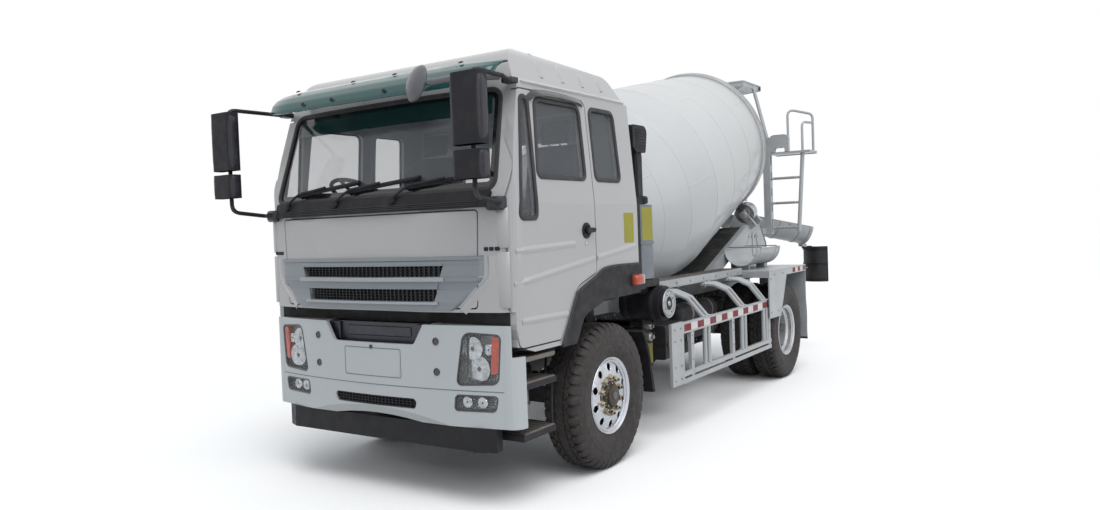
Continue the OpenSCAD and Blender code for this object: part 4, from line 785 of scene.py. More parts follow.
for side, name in SIDES:
    finder = lambda y, z: on_side(y, z, side)
    p = Piece("door_creases_" + name, "door_" + name, "cab_paint")
    for a, b in (((-1.125, 1.652), (-0.44, 1.674)), ((-1.14, 1.446), (-0.175, 1.560)), ((-1.10, 1.206), (-0.565, 1.200))):
        ridge(p, line(a, b, 12), finder, [(w * side, h) for w, h in SOFT])
    p.done(angle=60)
    p = Piece("body_crease_" + name, "cab", "cab_paint")
    ridge(p, line((-0.145, 1.563), (0.45, 1.630), 8), finder, [(w * side, h) for w, h in SOFT])
    p.done(angle=60)
    # Handle: a round dish with a lever that points to the rear
    p = Piece("door_handle_" + name, "door_" + name, "black_plastic")
    q, n = on_side(-0.285, 1.762, side)
    p.lathe([(0.056, -0.004), (0.058, 0.006), (0.050, 0.011), (0.040, 0.010), (0.030, 0.004), (0.001, 0.003)], q, n, 32)
    p.prism(rounded([(-0.028, -0.020, 0.012), (0.085, -0.013, 0.010), (0.098, 0.004, 0.008), (0.085, 0.018, 0.010), (-0.028, 0.022, 0.012)]),
            lambda u, v, w: q + Vector((side * w, u, v)), 0.010, 0.030)
    p.lathe([(0.011, 0.0), (0.011, 0.006), (0.001, 0.007)], q + Vector((0, -0.01, -0.09)), n, 16, mat=SILVER)
    p.done(bevel=0.004)
    p = Piece("window_visor_" + name, "door_" + name, "black_plastic", BEZEL)
    rows = []
    for v, (h, out) in enumerate(((0.030, 0.004), (0.022, 0.020), (0.004, 0.034), (-0.014, 0.040), (-0.016, 0.036), (0.002, 0.029), (0.018, 0.014))):
        row = []
        for i in range(21):
            t = i / 20
            y = -0.90 + 0.72 * t
            z = 2.665 + h + 0.018 * math.sin(t * math.pi) - 0.05 * max(0, 0.12 - t) / 0.12
            q, n = on_side(y, min(z, 2.70), side)
            row.append(q + Vector((side * out * math.sin(min(1, 6 * t, 6 * (1 - t)) * math.pi / 2), 0, z - min(z, 2.70))))
        rows.append(row)
    p.grid(rows)
    p.done()
    p = Piece("roof_gutter_" + name, "cab", "cab_paint")
    ridge(p, line((-0.93, 2.735), (0.44, 2.735), 20), finder, [(-0.010 * side, -0.004), (-0.010 * side, 0.012), (0.004 * side, 0.016), (0.010 * side, -0.004)])
    p.done(angle=50)
    p = Piece("cab_sticker_" + name, "cab", "cab_paint", YELLOW)
    p.prism(rounded([(0.275, 1.655, 0.008), (0.430, 1.655, 0.008), (0.430, 1.885, 0.008), (0.275, 1.885, 0.008)]),
            lambda u, v, w: on_side(u, v, side)[0] + Vector((side * w, 0, 0)), -0.001, 0.0012)
    p.done()
    p = Piece("arch_lip_" + name, "cab", "black_plastic", RUBBER)
    arch = [(0.49, 1.489), (0.0, 1.487), (-0.20, 1.424), (-0.415, 1.348), (-0.47, 1.30), (-0.655, 1.005)]
    path = [Vector((side * 1.160, q.y + OY, q.z)) for q in curve_through([Vector((0, a, b)) for a, b in arch], 6)]
    p.sweep(path, [Vector((side, 0, 0))] * len(path), [(-0.008, -0.004), (-0.006, 0.005), (0.006, 0.005), (0.008, -0.004)])
    p.done()
    p = Piece("side_marker_" + name, "cab", "lamp", ORANGE)
    base = rounded([(0.345, 1.318, 0.012), (0.490, 1.318, 0.012), (0.490, 1.412, 0.012), (0.345, 1.412, 0.012)])
    lens = rounded([(0.352, 1.325, 0.012), (0.484, 1.325, 0.012), (0.484, 1.405, 0.02), (0.352, 1.405, 0.03)])
    p.prism(base, lambda u, v, w: at(side * w, u, v), 1.157, 1.170, RUBBER)
    p.loft([[at(side * w, 0.418 + (u - 0.418) * k, 1.365 + (v - 1.365) * k) for u, v in lens] for w, k in ((1.168, 1.0), (1.190, 0.98), (1.203, 0.88), (1.208, 0.70))])
    p.loft([[at(side * w, 0.474 + (u - 0.418) * k * 0.18, 1.365 + (v - 1.365) * k) for u, v in lens] for w, k in ((1.168, 1.0), (1.192, 0.98), (1.206, 0.88), (1.210, 0.60))], CLEAR)
    p.done()

ROOF = skin_of("cab_shell")
p = Piece("roof_ribs", "cab", "cab_paint")
for y in (-0.60, -0.33, -0.06, 0.21):
    path, sides = [], []
    for i in range(-30, 31):
        a = math.radians(i * 2.55)
        q, n, _, _ = ROOF.ray_cast(at(4 * math.sin(a), y, 1.9 + 4 * math.cos(a)), Vector((-math.sin(a), 0, -math.cos(a))))
        if q is None or q.z < 2.775:
            continue
        path.append(q)
        sides.append(n if n.z > 0 or n.x * q.x > 0 else -n)
    p.sweep(path, sides, [(-0.020, -0.002), (-0.012, 0.007), (0.012, 0.007), (0.020, -0.002)])
p.done(angle=60)

# Mirrors: rounded housings on a bent arm, with a round kerb mirror over the windscreen
HOUSING = surface("mirror_black", (0.018, 0.018, 0.026), 0.36, coat=0.1, vary=0.15, grime=(0.07, 0.07, 0.075), grime_share=0.2, shine=0.35, bump=0.15, bump_scale=400, grain="voronoi")
MIRROR = surface("mirror_glass", (0.75, 0.78, 0.80), 0.03, metal=1.0, vary=0.02, rough_vary=0.01)
for side, name in SIDES:
    p = Piece("mirror_set_" + name, "cab", "black_plastic", HOUSING)
    for z0, z1 in ((2.290, 2.710), (2.090, 2.260)):
        rows = []
        for j in range(13):
            v = j / 12
            round_off = 1 - 0.10 * abs(2 * v - 1) ** 6
            z = z0 + (z1 - z0) * v
            half = 0.120 * round_off
            row = []
            for i in range(40):
                a = 2 * math.pi * i / 40
                c, s = math.cos(a), math.sin(a)
                x = half * math.copysign(abs(c) ** 0.45, c)
                y = math.copysign(abs(s) ** 0.5, s)
                deep = (0.052 if y < 0 else 0.034) * abs(y) * round_off
                groove = 0.004 * (1 if (i % 4) < 1 and y < -0.6 and 0.1 < v < 0.9 else 0)
                row.append(Vector((side * (1.140 + x), OY - 1.538 + math.copysign(deep - groove, y), z)))
            rows.append(row)
        p.loft(rows)
        p.prism([(x * side, z) for x, z in rounded([(1.040, z0 + 0.02, 0.03), (1.240, z0 + 0.02, 0.03), (1.240, z1 - 0.02, 0.03), (1.040, z1 - 0.02, 0.03)])],
                lambda u, v, w: Vector((u, OY - 1.504 + w, v)), 0.0, 0.004, mat=MIRROR)
    arm = bent([Vector((side * x, y + OY, z)) for x, y, z in ((1.045, -1.020, 2.730), (1.120, -1.180, 2.740), (1.140, -1.512, 2.740),
               (1.140, -1.512, 1.990), (1.110, -1.250, 1.960), (1.050, -1.180, 1.960))], 0.06, 6)
    p.tube(arm, 0.014, 12)
    for z in (2.60, 2.40, 2.17):
        p.box((side * 1.140 - 0.025, OY - 1.535, z - 0.015), (side * 1.140 + 0.025, OY - 1.500, z + 0.015))
    # Feet on the cab's corner
    for x, y, z, w, h in ((1.050, -1.195, 1.955, 0.060, 0.045), (1.070, -1.03, 2.735, 0.045, 0.020)):
        p.loft([[Vector((side * (x + a * w * s), OY + y + d, z + b * h * s)) for a, b in rounded([(-1, -1, 0.4), (1, -1, 0.4), (1, 1, 0.4), (-1, 1, 0.4)], 3)]
                for d, s in ((-0.055, 0.6), (-0.035, 0.95), (0.03, 1.0))])
    p.done()
p = Piece("kerb_mirror", "cab", "black_plastic", surface("mirror_grey", (0.085, 0.09, 0.10), 0.35, coat=0.2, vary=0.1))
c, out = at(0.655, -1.44, 2.715), Vector((-0.35, -0.80, 0.25)).normalized()
p.lathe([(0.112, -0.012), (0.120, -0.004), (0.118, 0.008), (0.095, 0.032), (0.055, 0.048), (0.001, 0.054)], c, out, 40)
p.lathe([(0.106, -0.010), (0.001, -0.018)], c, out, 40, mat=MIRROR)
arm = bent([c + out * 0.03 + Vector((0.05, 0.01, 0)), at(0.80, -1.47, 2.70), at(0.98, -1.40, 2.72), at(1.08, -1.16, 2.742)], 0.08, 6)
p.tube(arm, 0.022, 12)
p.done()

# Cab inside

FABRIC = surface("seat_fabric", (0.055, 0.060, 0.070), 0.9, vary=0.25, vary_scale=40, bump=0.4, bump_scale=600)
TRIM = surface("cab_trim", (0.34, 0.345, 0.35), 0.8, vary=0.08, bump=0.1, bump_scale=300)
for x, name in ((0.62, "left"), (-0.62, "right")):
    p = Piece("seat_" + name, "cab", "interior", FABRIC)

    def cushion(width, rows, n=36):
        """Rounded cushion through rows of (middle, half thickness, lean)."""
        rings = []
        for c, thick, lean in rows:
            ring, out = [], Vector((0, math.cos(lean), math.sin(lean)))
            for i in range(n):
                a = 2 * math.pi * i / n
                u, v = math.cos(a), math.sin(a)
                ring.append(c + Vector((width * math.copysign(abs(u) ** 0.5, u), 0, 0))
                            + out * thick * math.copysign(abs(v) ** 0.6, v))
            rings.append(ring)
        p.loft(rings)

    # Seat, back and head rest
    cushion(0.235, [(at(x, -0.46 + 0.5 * t, 1.83 + 0.02 * math.sin(t * math.pi)),
                     0.050 + 0.045 * math.sin(min(1, 0.25 + t) * math.pi / 2), math.pi / 2)
                    for t in (0, 0.03, 0.12, 0.35, 0.6, 0.85, 0.97, 1.0)])
    cushion(0.230, [(at(x, 0.055 + 0.10 * t, 1.86 + 0.56 * t),
                     0.060 * (0.35 + 0.65 * math.sin(min(1, 3 * t, 3.2 * (1 - t) + 0.25) * math.pi / 2)), -0.15)
                    for t in (0, 0.04, 0.15, 0.4, 0.6, 0.8, 0.95, 1.0)])
    cushion(0.125, [(at(x, 0.165 + 0.03 * t, 2.45 + 0.17 * t), 0.050 * (0.4 + 0.6 * math.sin(t * math.pi)), -0.1)
                    for t in (0, 0.08, 0.25, 0.5, 0.75, 0.92, 1.0)])
    for dx in (-0.05, 0.05):
        p.tube([at(x + dx, 0.15, 2.38), at(x + dx, 0.17, 2.48)], 0.007, 8, mat=SILVER)
    p.box(at(x - 0.20, -0.44, 1.517), at(x + 0.20, 0.05, 1.76), mat=finishes["black_plastic"])
    p.box(at(x - 0.235, -0.47, 1.745), at(x + 0.235, 0.12, 1.775), mat=finishes["black_plastic"])
    p.tube([at(x + 0.22, 0.13, 1.79), at(x + 0.235, 0.02, 1.80), at(x + 0.235, -0.02, 1.82)], 0.012, 8, mat=RUBBER)
    p.done()

p = Piece("dashboard", "cab", "interior", INTERIOR)
rows = []
for i in range(33):
    x = -1.0 + i / 16
    binnacle = 0.055 * math.exp(-((x + 0.62) / 0.24) ** 2)
    section = [(-1.175, 1.53), (-1.185, 1.88), (-1.14, 1.945 + 0.3 * binnacle), (-1.02, 1.952 + binnacle), (-0.90, 1.935 + 1.3 * binnacle), (-0.855, 1.895 + binnacle),
               (-0.865, 1.80), (-0.93, 1.66), (-0.95, 1.53)]
    rows.append([at(x, y, z) for y, z in section])
p.loft(rows)
p.box(at(-0.30, -0.87, 1.70), at(0.30, -0.845, 1.88), mat=BEZEL)
for i in range(3):
    p.box(at(-0.24 + i * 0.17, -0.848, 1.80), at(-0.12 + i * 0.17, -0.840, 1.86), mat=TRIM)
    p.lathe([(0.016, 0), (0.014, 0.018), (0.001, 0.018)], at(-0.20 + i * 0.17, -0.846, 1.745), (0, 1, 0), 16, mat=TRIM)
p.done(bevel=0.004, replaces=["cab_interior"])
p = Piece("steering_wheel", "cab", "interior", RUBBER)
hub, axis = at(-0.62, -0.74, 2.10), Vector((0, 0.50, 0.866))
e1, e2 = Vector((1, 0, 0)), axis.cross(Vector((1, 0, 0)))
turns = [2 * math.pi * i / 48 for i in range(48)]
ring = [hub + 0.225 * (math.cos(a) * e1 + math.sin(a) * e2) for a in turns]
p.tube(ring, 0.016, 12, closed=True)
for a in (0.5, 2.64, 4.71):
    d = math.cos(a) * e1 + math.sin(a) * e2
    p.tube([hub + d * 0.03 - axis * 0.02, hub + d * 0.13 - axis * 0.015, hub + d * 0.225], 0.013, 8)
p.lathe([(0.066, -0.035), (0.072, -0.01), (0.060, 0.006), (0.001, 0.012)], hub, axis, 28)
p.tube([hub - axis * 0.02, hub - axis * 0.22, at(-0.62, -0.98, 1.70)], 0.036, 14)
p.tube([hub - axis * 0.10, hub - axis * 0.10 + Vector((0.17, 0.02, 0.03))], 0.008, 8)
p.done()
p = Piece("cab_lining", "cab", "interior", TRIM)
p.box(at(-1.06, 0.452, 1.55), at(1.06, 0.456, 2.03))
p.box(at(-1.00, 0.452, 2.53), at(1.00, 0.456, 2.70))
p.box(at(-0.22, -0.40, 1.517), at(0.22, 0.30, 1.66), mat=finishes["black_plastic"])
p.tube([at(0.0, -0.30, 1.66), at(0.01, -0.36, 1.80), at(0.0, -0.42, 1.93)], 0.010, 8, mat=RUBBER)
p.lathe([(0.001, 0.05), (0.022, 0.04), (0.026, 0.02), (0.015, 0.0)], at(0.0, -0.42, 1.92), (0, -0.2, 1), 16, mat=RUBBER)
p.done(bevel=0.002)

# Wheels

AXLE_Z = FRONT_AXLE.z
# Middle of a front wheel, middle of a twin pair, and how far each twin lies from it
FRONT_X, TWIN_X, TWIN_HALF = 1.020, 0.885, 0.170
TREAD_PITCHES, GROOVE = 46, 0.014
# Tyre section from the bead to the middle of the tread: columns are distance from the middle, radius, and the
# zone that says how the tread is cut (0 none, 1 shoulder, 2 edge rib, 3 middle, 4 groove round the tyre)
TYRE_ROWS = [(0.092, 0.262, 0), (0.112, 0.275, 0), (0.126, 0.300, 0), (0.1285, 0.318, 0), (0.131, 0.322, 0),
             (0.134, 0.330, 0), (0.143, 0.368, 0), (0.1450, 0.400, 0), (0.1452, 0.405, 0), (0.1472, 0.409, 0),
             (0.1472, 0.415, 0), (0.1450, 0.419, 0), (0.1448, 0.440, 0), (0.1435, 0.462, 0), (0.1400, 0.478, 1),
             (0.1360, 0.496, 1), (0.1250, 0.520, 1), (0.1090, 0.532, 1), (0.1030, 0.5345, 1), (0.0800, 0.535, 1),
             (0.0760, 0.535, 4), (0.0700, 0.535, 4), (0.0660, 0.535, 2), (0.0420, 0.535, 2), (0.0380, 0.535, 4),
             (0.0320, 0.535, 4), (0.0280, 0.535, 3), (0.0, 0.535, 3)]
TYRE_ANGLES = [0.0, 0.04, 0.30, 0.34, 0.50, 0.54, 0.74, 0.78]
SHOULDER_CUT = (0, 1, 1, 0, 0, 0, 0, 0)
RIB_CUT = (0, 0, 0, 0, 0, 1, 1, 0)
MIDDLE_CUT = (0, 0.5, 0.5, 0, 0, 0, 0, 0)


def tyre_rows(place_x, y):
    rows = []
    section = TYRE_ROWS + [(-w, r, zone) for w, r, zone in reversed(TYRE_ROWS[:-1])]
    for w, r, zone in section:
        row = []
        flip = 1 if w >= 0 else -1
        for pitch in range(TREAD_PITCHES):
            for j, share in enumerate(TYRE_ANGLES):
                place = pitch + share + (0.5 if flip < 0 else 0)
                cut = shift = 0.0
                if zone == 1:
                    cut = GROOVE * SHOULDER_CUT[j] * (1 if r > 0.50 else 0.55 if r > 0.486 else 0.25)
                elif zone == 2:
                    cut = 0.007 * RIB_CUT[j]
                elif zone == 3:
                    cut = 0.006 * MIDDLE_CUT[j]
                elif zone == 4:
                    cut = GROOVE
                if zone in (2, 4) or w in (0.080, -0.080, 0.028, -0.028):
                    shift = 0.006 * (1 if j in (0, 1, 2, 3) else -1) * flip
                slant = 0.10 * abs(w) / 0.145
                a = 2 * math.pi * (place + slant) / TREAD_PITCHES
                row.append(Vector((place_x + w + shift, y - (r - cut) * math.sin(a), AXLE_Z + (r - cut) * math.cos(a))))
        rows.append(row)
    # Close the section round its inner side
    turns = [2 * math.pi * (pitch + share) / TREAD_PITCHES for pitch in range(TREAD_PITCHES) for share in TYRE_ANGLES]
    for w, r in ((-0.072, 0.262), (-0.104, 0.310), (0.104, 0.310), (0.072, 0.262)):
        rows.append([Vector((place_x + w, y - r * math.sin(a), AXLE_Z + r * math.cos(a))) for a in turns])
    return rows


for side, name in SIDES:
    p = Piece("tread_front_" + name, "front_wheel_" + name, "tyre")
    p.grid(tyre_rows(side * FRONT_X, FRONT_AXLE.y), close_u=True, close_v=True)
    p.done(angle=38, replaces=["tyre_front_" + name])
    p = Piece("treads_rear_" + name, "rear_wheels_" + name, "tyre")
    for x in (TWIN_X - TWIN_HALF, TWIN_X + TWIN_HALF):
        p.grid(tyre_rows(side * x, REAR_AXLE.y), close_u=True, close_v=True)
    p.done(angle=38, replaces=["tyres_rear_" + name])

HUB = surface("hub_dark", (0.045, 0.038, 0.032), 0.45, metal=0.5, vary=0.3, vary_scale=20, grime=(0.16, 0.10, 0.05), grime_share=0.5, bump=0.2, bump_scale=120)
NUT = surface("wheel_nut", (0.36, 0.31, 0.23), 0.35, metal=1.0, vary=0.15, grime=(0.18, 0.12, 0.07), grime_share=0.5)
# Painted shade: the dark ring behind the front discs' hand holes, so that they look dark
HOLE_SHADE = surface("brake_shade", (0.010, 0.010, 0.011), 0.8, vary=0.2, shine=0.2)
RIM_PAINT = surface("rim_silver", (0.52, 0.53, 0.54), 0.34, metal=0.7, vary=0.08, grime=(0.3, 0.26, 0.22), grime_share=0.3, bump=0.08)
# Front wheel's disc, bulged as in the photograph: angles round a hand hole, with the corners of its share among them
CORNER = math.atan2(0.040, 0.0654)
ROUND = [CORNER * i / 3 for i in range(3)] + [CORNER + (math.pi / 2 - CORNER) * i / 4 for i in range(4)]
ROUND += [math.pi - a for a in reversed(ROUND[1:] + [math.pi / 2])]
ROUND += [math.pi + a for a in ROUND]


def bulge(r):
    """How far out the front disc lies at radius r."""
    return 0.116 - 0.020 * ((r - 0.160) / 0.097) ** 2


for side, name in SIDES:
    ax = Vector((side, 0, 0))
    c = Vector((side * FRONT_X, FRONT_AXLE.y, AXLE_Z))
    p = Piece("hub_front_" + name, "front_wheel_" + name, "chassis_black", HUB)
    p.lathe([(0.104, 0.112), (0.104, 0.124), (0.094, 0.130), (0.084, 0.132), (0.0800, 0.138), (0.0795, 0.1480), (0.074, 0.1525), (0.058, 0.1545), (0.001, 0.156)], c, ax, 40)
    p.lathe([(0.030, 0.155), (0.030, 0.160), (0.026, 0.163), (0.001, 0.164)], c, ax, 24, mat=finishes["chassis_grey"])
    for u, v in circle(10, 0.131, 0.5):
        q = c + Vector((0, u, v))
        p.lathe([(0.027, 0.115), (0.027, 0.120), (0.021, 0.122)], q, ax, 16, mat=NUT)
        p.lathe([(0.0195, 0.121), (0.0195, 0.141), (0.013, 0.145)], q, ax, 6, mat=NUT)
        p.lathe([(0.009, 0.144), (0.009, 0.154), (0.001, 0.155)], q, ax, 8, mat=HUB)
    for u, v in circle(8, 0.092):
        p.lathe([(0.008, 0.130), (0.008, 0.138)], c + Vector((0, u, v)), ax, 6, mat=NUT)
    p.done(angle=30)
    # Painted shade behind the hand holes of the disc
    p = Piece("disc_shade_front_" + name, "front_wheel_" + name, "chassis_black", HOLE_SHADE)
    p.lathe([(0.165, 0.086), (0.252, 0.072), (0.252, 0.076), (0.165, 0.090)], c, ax, 64, closed=True)
    p.done(angle=60)
    p = Piece("disc_front_" + name, "front_wheel_" + name, "rim_metal")
    for i in range(10):
        mid = 2 * math.pi * i / 10
        rows = []
        for share, lift in ((0.0, -0.010), (0.0, 0.0005), (0.04, 0.002), (0.10, 0.0025), (0.16, 0.001), (0.22, 0.0), (0.6, 0.0), (1.0, 0.0)):
            row = []
            for a in ROUND:
                du, dv = math.cos(a), math.sin(a)
                reach = min(0.0654 / max(abs(du), 1e-6), 0.040 / max(abs(dv), 1e-6))
                far = 0.0265 + (reach - 0.0265) * share
                r, turn = 0.211 + far * dv, mid + far * du / 0.0654 * math.pi / 10
                row.append(c + ax * (bulge(r) + lift) + r * Vector((0, -math.sin(turn), math.cos(turn))))
            rows.append(row)
        p.grid(rows, close_u=True)
    p.lathe([(0.171, bulge(0.171)), (0.160, 0.1175), (0.150, 0.1175), (0.145, 0.1155), (0.104, 0.1155), (0.104, 0.1120), (0.171, 0.1100)], c, ax, 96, closed=True)
    p.lathe([(0.251, bulge(0.251)), (0.256, 0.095), (0.2595, 0.088), (0.2595, 0.075), (0.256, 0.075), (0.251, 0.090)], c, ax, 96, closed=True)
    p.lathe([(0.275, 0.112), (0.283, 0.116), (0.286, 0.122), (0.282, 0.127), (0.272, 0.124), (0.262, 0.112)], c, ax, 96, closed=True)
    p.done(angle=50)
    c = Vector((side * TWIN_X, REAR_AXLE.y, AXLE_Z))
    p = Piece("hub_rear_" + name, "rear_wheels_" + name, "chassis_black", HUB)
    p.lathe([(0.104, 0.020), (0.104, 0.066), (0.092, 0.076), (0.082, 0.078), (0.082, 0.112), (0.074, 0.122), (0.001, 0.126)], c, ax, 40)
    for u, v in circle(10, 0.134, 0.5):
        q = c + Vector((0, u, v))
        p.lathe([(0.024, 0.013), (0.024, 0.020), (0.018, 0.021)], q, ax, 16, mat=NUT)
        p.lathe([(0.0175, 0.020), (0.0175, 0.046), (0.012, 0.050)], q, ax, 6, mat=NUT)
        p.lathe([(0.009, 0.048), (0.009, 0.066), (0.001, 0.067)], q, ax, 8, mat=HUB)
    for u, v in circle(12, 0.093):
        p.lathe([(0.007, 0.077), (0.007, 0.086)], c + Vector((0, u, v)), ax, 6, mat=NUT)
    p.done(angle=30)
    nodes["wheel_rear_" + name].data.materials[0] = RIM_PAINT
    p = Piece("rim_edge_rear_" + name, "rear_wheels_" + name, "rim_metal", RIM_PAINT)
    p.lathe([(0.275, 0.282), (0.283, 0.286), (0.286, 0.292), (0.282, 0.297), (0.272, 0.294), (0.262, 0.282)], c, ax, 96, closed=True)
    p.done(angle=60)

# Drum

TILT = math.radians(16.5)
SEAM_AT = at(0, 2.420, 2.174)
AXIS = Vector((0, math.cos(TILT), math.sin(TILT)))
ACROSS = Vector((1, 0, 0))
OVER = ACROSS.cross(AXIS)


def radial(a):
    return math.cos(a) * ACROSS + math.sin(a) * OVER


def on_drum(s, r, a):
    """Point at place s along the axis from the widest seam, radius r and angle a."""
    return SEAM_AT + AXIS * s + r * radial(a)


# Columns are place along the axis and radius; plates run straight between the seams
DRUM_OUT = [(-1.440, 0.001), (-1.440, 0.290), (-1.436, 0.304), (-1.404, 0.466), (-1.396, 0.478), (-1.292, 0.634),
            (-1.282, 0.645), (-1.232, 0.738), (-1.222, 0.750), (-0.880, 0.869), (-0.532, 0.985), (-0.524, 0.987),
            (-0.260, 1.0135), (-0.003, 1.0388), (0.003, 1.0388), (0.640, 0.9870), (1.280, 0.9350), (1.848, 0.8835),
            (1.848, 0.906), (1.852, 0.909), (1.934, 0.909), (1.938, 0.906), (1.938, 0.8790), (2.420, 0.6640),
            (2.806, 0.474), (2.814, 0.470), (2.892, 0.470), (2.892, 0.480), (2.908, 0.480), (2.908, 0.462),
            (2.810, 0.460), (1.940, 0.868), (0.0, 1.030), (-0.527, 0.977), (-1.222, 0.738), (-1.280, 0.630),
            (-1.392, 0.462), (-1.432, 0.280), (-1.432, 0.001)]
N = 192
rows = [[on_drum(s, r, 2 * math.pi * i / N) for i in range(N)] for s, r in DRUM_OUT]
p = Piece("drum_body", "drum", "drum_paint")
p.grid(rows, close_u=True)
p.done(angle=14, replaces=["drum_shell"])
p = Piece("drum_seams", "drum", "drum_paint")
for s, r in ((-1.227, 0.746), (-0.880, 0.869), (-0.527, 0.9865), (0.0, 1.0390), (0.640, 0.9870), (1.280, 0.9350), (2.420, 0.664)):
    p.lathe([(r - 0.003, -0.009), (r + 0.0025, -0.004), (r + 0.0025, 0.004), (r - 0.003, 0.009)], SEAM_AT + AXIS * s, AXIS, N, closed=True)
for s0, r0, s1, r1, turns in ((-1.222, 0.750, -0.880, 0.869, (0.4, 2.5, 4.6)), (-0.880, 0.869, -0.527, 0.987, (1.2, 3.3, 5.4)),
                              (-0.524, 0.987, 0.0, 1.0390, (0.1, 2.2, 4.3)), (0.0, 1.0390, 0.640, 0.987, (0.9, 3.0, 5.1)),
                              (0.640, 0.987, 1.280, 0.935, (1.9, 4.0, 6.1)), (1.280, 0.935, 1.845, 0.8838, (0.6, 2.7, 4.8))):
    for a in turns:
        path = [on_drum(s0 + (s1 - s0) * t, r0 + (r1 - r0) * t, a) for t in (0.01, 0.5, 0.99)]
        p.sweep(path, [radial(a)] * 3, strip(0.007, 0.003, 0.003, 0.002))
p.done(angle=60)
RING = surface("track_ring", (0.42, 0.42, 0.42), 0.32, metal=0.9, vary=0.15, grime=(0.14, 0.11, 0.09), grime_share=0.4, bump=0.1, bump_scale=80)
p = Piece("drum_ring_face", "drum", "rim_metal", RING)
p.lathe([(0.9085, -0.040), (0.9094, -0.038), (0.9094, 0.038), (0.9085, 0.040)], SEAM_AT + AXIS * 1.893, AXIS, N, closed=True)
p.done(angle=60)
CONCRETE = surface("drum_inside", (0.24, 0.235, 0.22), 0.8, vary=0.2, vary_scale=5, grime=(0.34, 0.33, 0.31), grime_share=0.6, bump=0.6, bump_scale=30)
# Two spiral blades: their height and the drum's inner wall as rows of (place along the axis, value)
WALL_IN = [(-1.227, 0.737), (-0.527, 0.978), (0.0, 1.030), (1.938, 0.869), (2.808, 0.462), (2.900, 0.462)]
BLADE = [(-1.080, 0.090), (-0.527, 0.255), (1.893, 0.225), (2.650, 0.120)]
BLADE_START, BLADE_LENGTH, BLADE_TURNS, BLADE_STEPS, BLADE_GAP = -1.080, 3.730, 2.25, 270, 0.0003
# Blade section as (share of the height, place along the axis, thickness either side): a rolled bead ends the free edge
SECTION = [(0.0, 0.0, 0.0030), (0.25, 0.010, 0.0030), (0.5, 0.021, 0.0030), (0.75, 0.033, 0.0030), (0.95, 0.043, 0.0030), (1.0, 0.045, 0.0044)]
p = Piece("drum_blade_pair", "drum", "drum_paint", CONCRETE)
for start in (0.0, math.pi):
    path_rows = []
    for i in range(BLADE_STEPS + 1):
        s = BLADE_START + BLADE_LENGTH * i / BLADE_STEPS
        a = -(start + 2 * math.pi * BLADE_TURNS * i / BLADE_STEPS)
        ring = []
        for e, table in ((-1, SECTION), (1, SECTION[::-1])):
            for share, along, t in table:
                w = s + e * t
                ring.append(on_drum(w + along, value_at(w, WALL_IN) - BLADE_GAP - share * value_at(s, BLADE), a))
        path_rows.append(ring)
    p.loft(path_rows)
p.done(angle=40, replaces=["drum_blades"])
# Inspection cover on the belly
p = Piece("drum_cover", "drum", "drum_paint")
a0 = 3.75
grid = []
for v in range(7):
    s = 0.20 + 0.34 * v / 6
    grid.append([on_drum(s, 1.0390 - 0.0813 * s + (0.010 if 0 < v < 6 and 0 < u < 8 else 0.0), a0 + (u / 8 - 0.5) * 0.44) for u in range(9)])
p.grid(grid)
for v in (0.23, 0.37, 0.51):
    for u in (-0.40, -0.13, 0.13, 0.40):
        a = a0 + u * 0.44
        n = radial(a)
        p.lathe([(0.014, 0.006), (0.014, 0.016), (0.001, 0.018)], on_drum(v, 1.0390 - 0.0813 * v, a), n, 6)
p.done(angle=30)

# Chassis, side and rear details; sections in the xz plane (XZ), the yz plane (YZ) or the xy plane (XY)

def XZ(u, v, w):
    return at(u, w, v)


def YZ(u, v, w):
    return at(w, u, v)


def XY(u, v, w):
    return at(u, v, w)


X, Y, Z = Vector((1, 0, 0)), Vector((0, 1, 0)), Vector((0, 0, 1))
TREADS = surface("step_tread", (0.17, 0.155, 0.14), 0.6, metal=0.4, vary=0.2, grime=DIRT, grime_share=0.5, bump=0.3, bump_scale=90)
RED = surface("red_band", (0.17, 0.008, 0.014), 0.5, vary=0.1, dust=0.12, shine=0.25)
WHITE = surface("white_band", (0.62, 0.62, 0.60), 0.35, coat=0.3, vary=0.05, dust=0.2)
DUCT = surface("duct_grey", (0.16, 0.18, 0.21), 0.45, vary=0.1, grime=DIRT, grime_share=0.25, dust=0.2)
LENS_RED = surface("red_lens", (0.40, 0.01, 0.01), 0.12, coat=0.6, vary=0.1)
LENS_CLEAR = surface("clear_lens", (0.55, 0.55, 0.55), 0.12, coat=0.6, vary=0.1)
FLAP = surface("rubber_flap", (0.03, 0.03, 0.032), 0.7, vary=0.2, grime=DIRT, grime_share=0.4, dust=0.5, bump=0.3, bump_scale=40)
BOLT = surface("bolt_zinc", (0.34, 0.34, 0.33), 0.4, metal=0.8, vary=0.2, grime=(0.16, 0.12, 0.09), grime_share=0.4)

p = Piece("step_treads", "chassis", "chassis_black", TREADS)


def treads(p):
    for z, x0, x1 in ((0.470, 0.850, 1.105), (0.800, 0.850, 1.120), (0.962, 0.900, 1.128)):
        if z > 0.9:
            p.prism(rounded([(x0 - 0.02, -1.07, 0.01), (x1, -1.07, 0.03), (x1, -0.70, 0.03), (x0 - 0.02, -0.70, 0.01)]), XY, z - 0.022, z)
        for i in range(8):
            y = -1.045 + 0.046 * i
            p.prism([(y - 0.008, 0), (y - 0.005, 0.007), (y + 0.005, 0.007), (y + 0.008, 0)], lambda u, v, w: at(w, u, z + v), x0, x1 - 0.015)
        p.prism([(x1 - 0.012, -0.02), (x1 + 0.002, -0.018), (x1 + 0.002, 0.008), (x1 - 0.012, 0.010)], lambda u, v, w: at(u, w, z + v), -1.06, -0.715)


p.both(treads)
p.done(bevel=0.0015, angle=30)
p = Piece("step_frame_details", "chassis", "chassis_black")


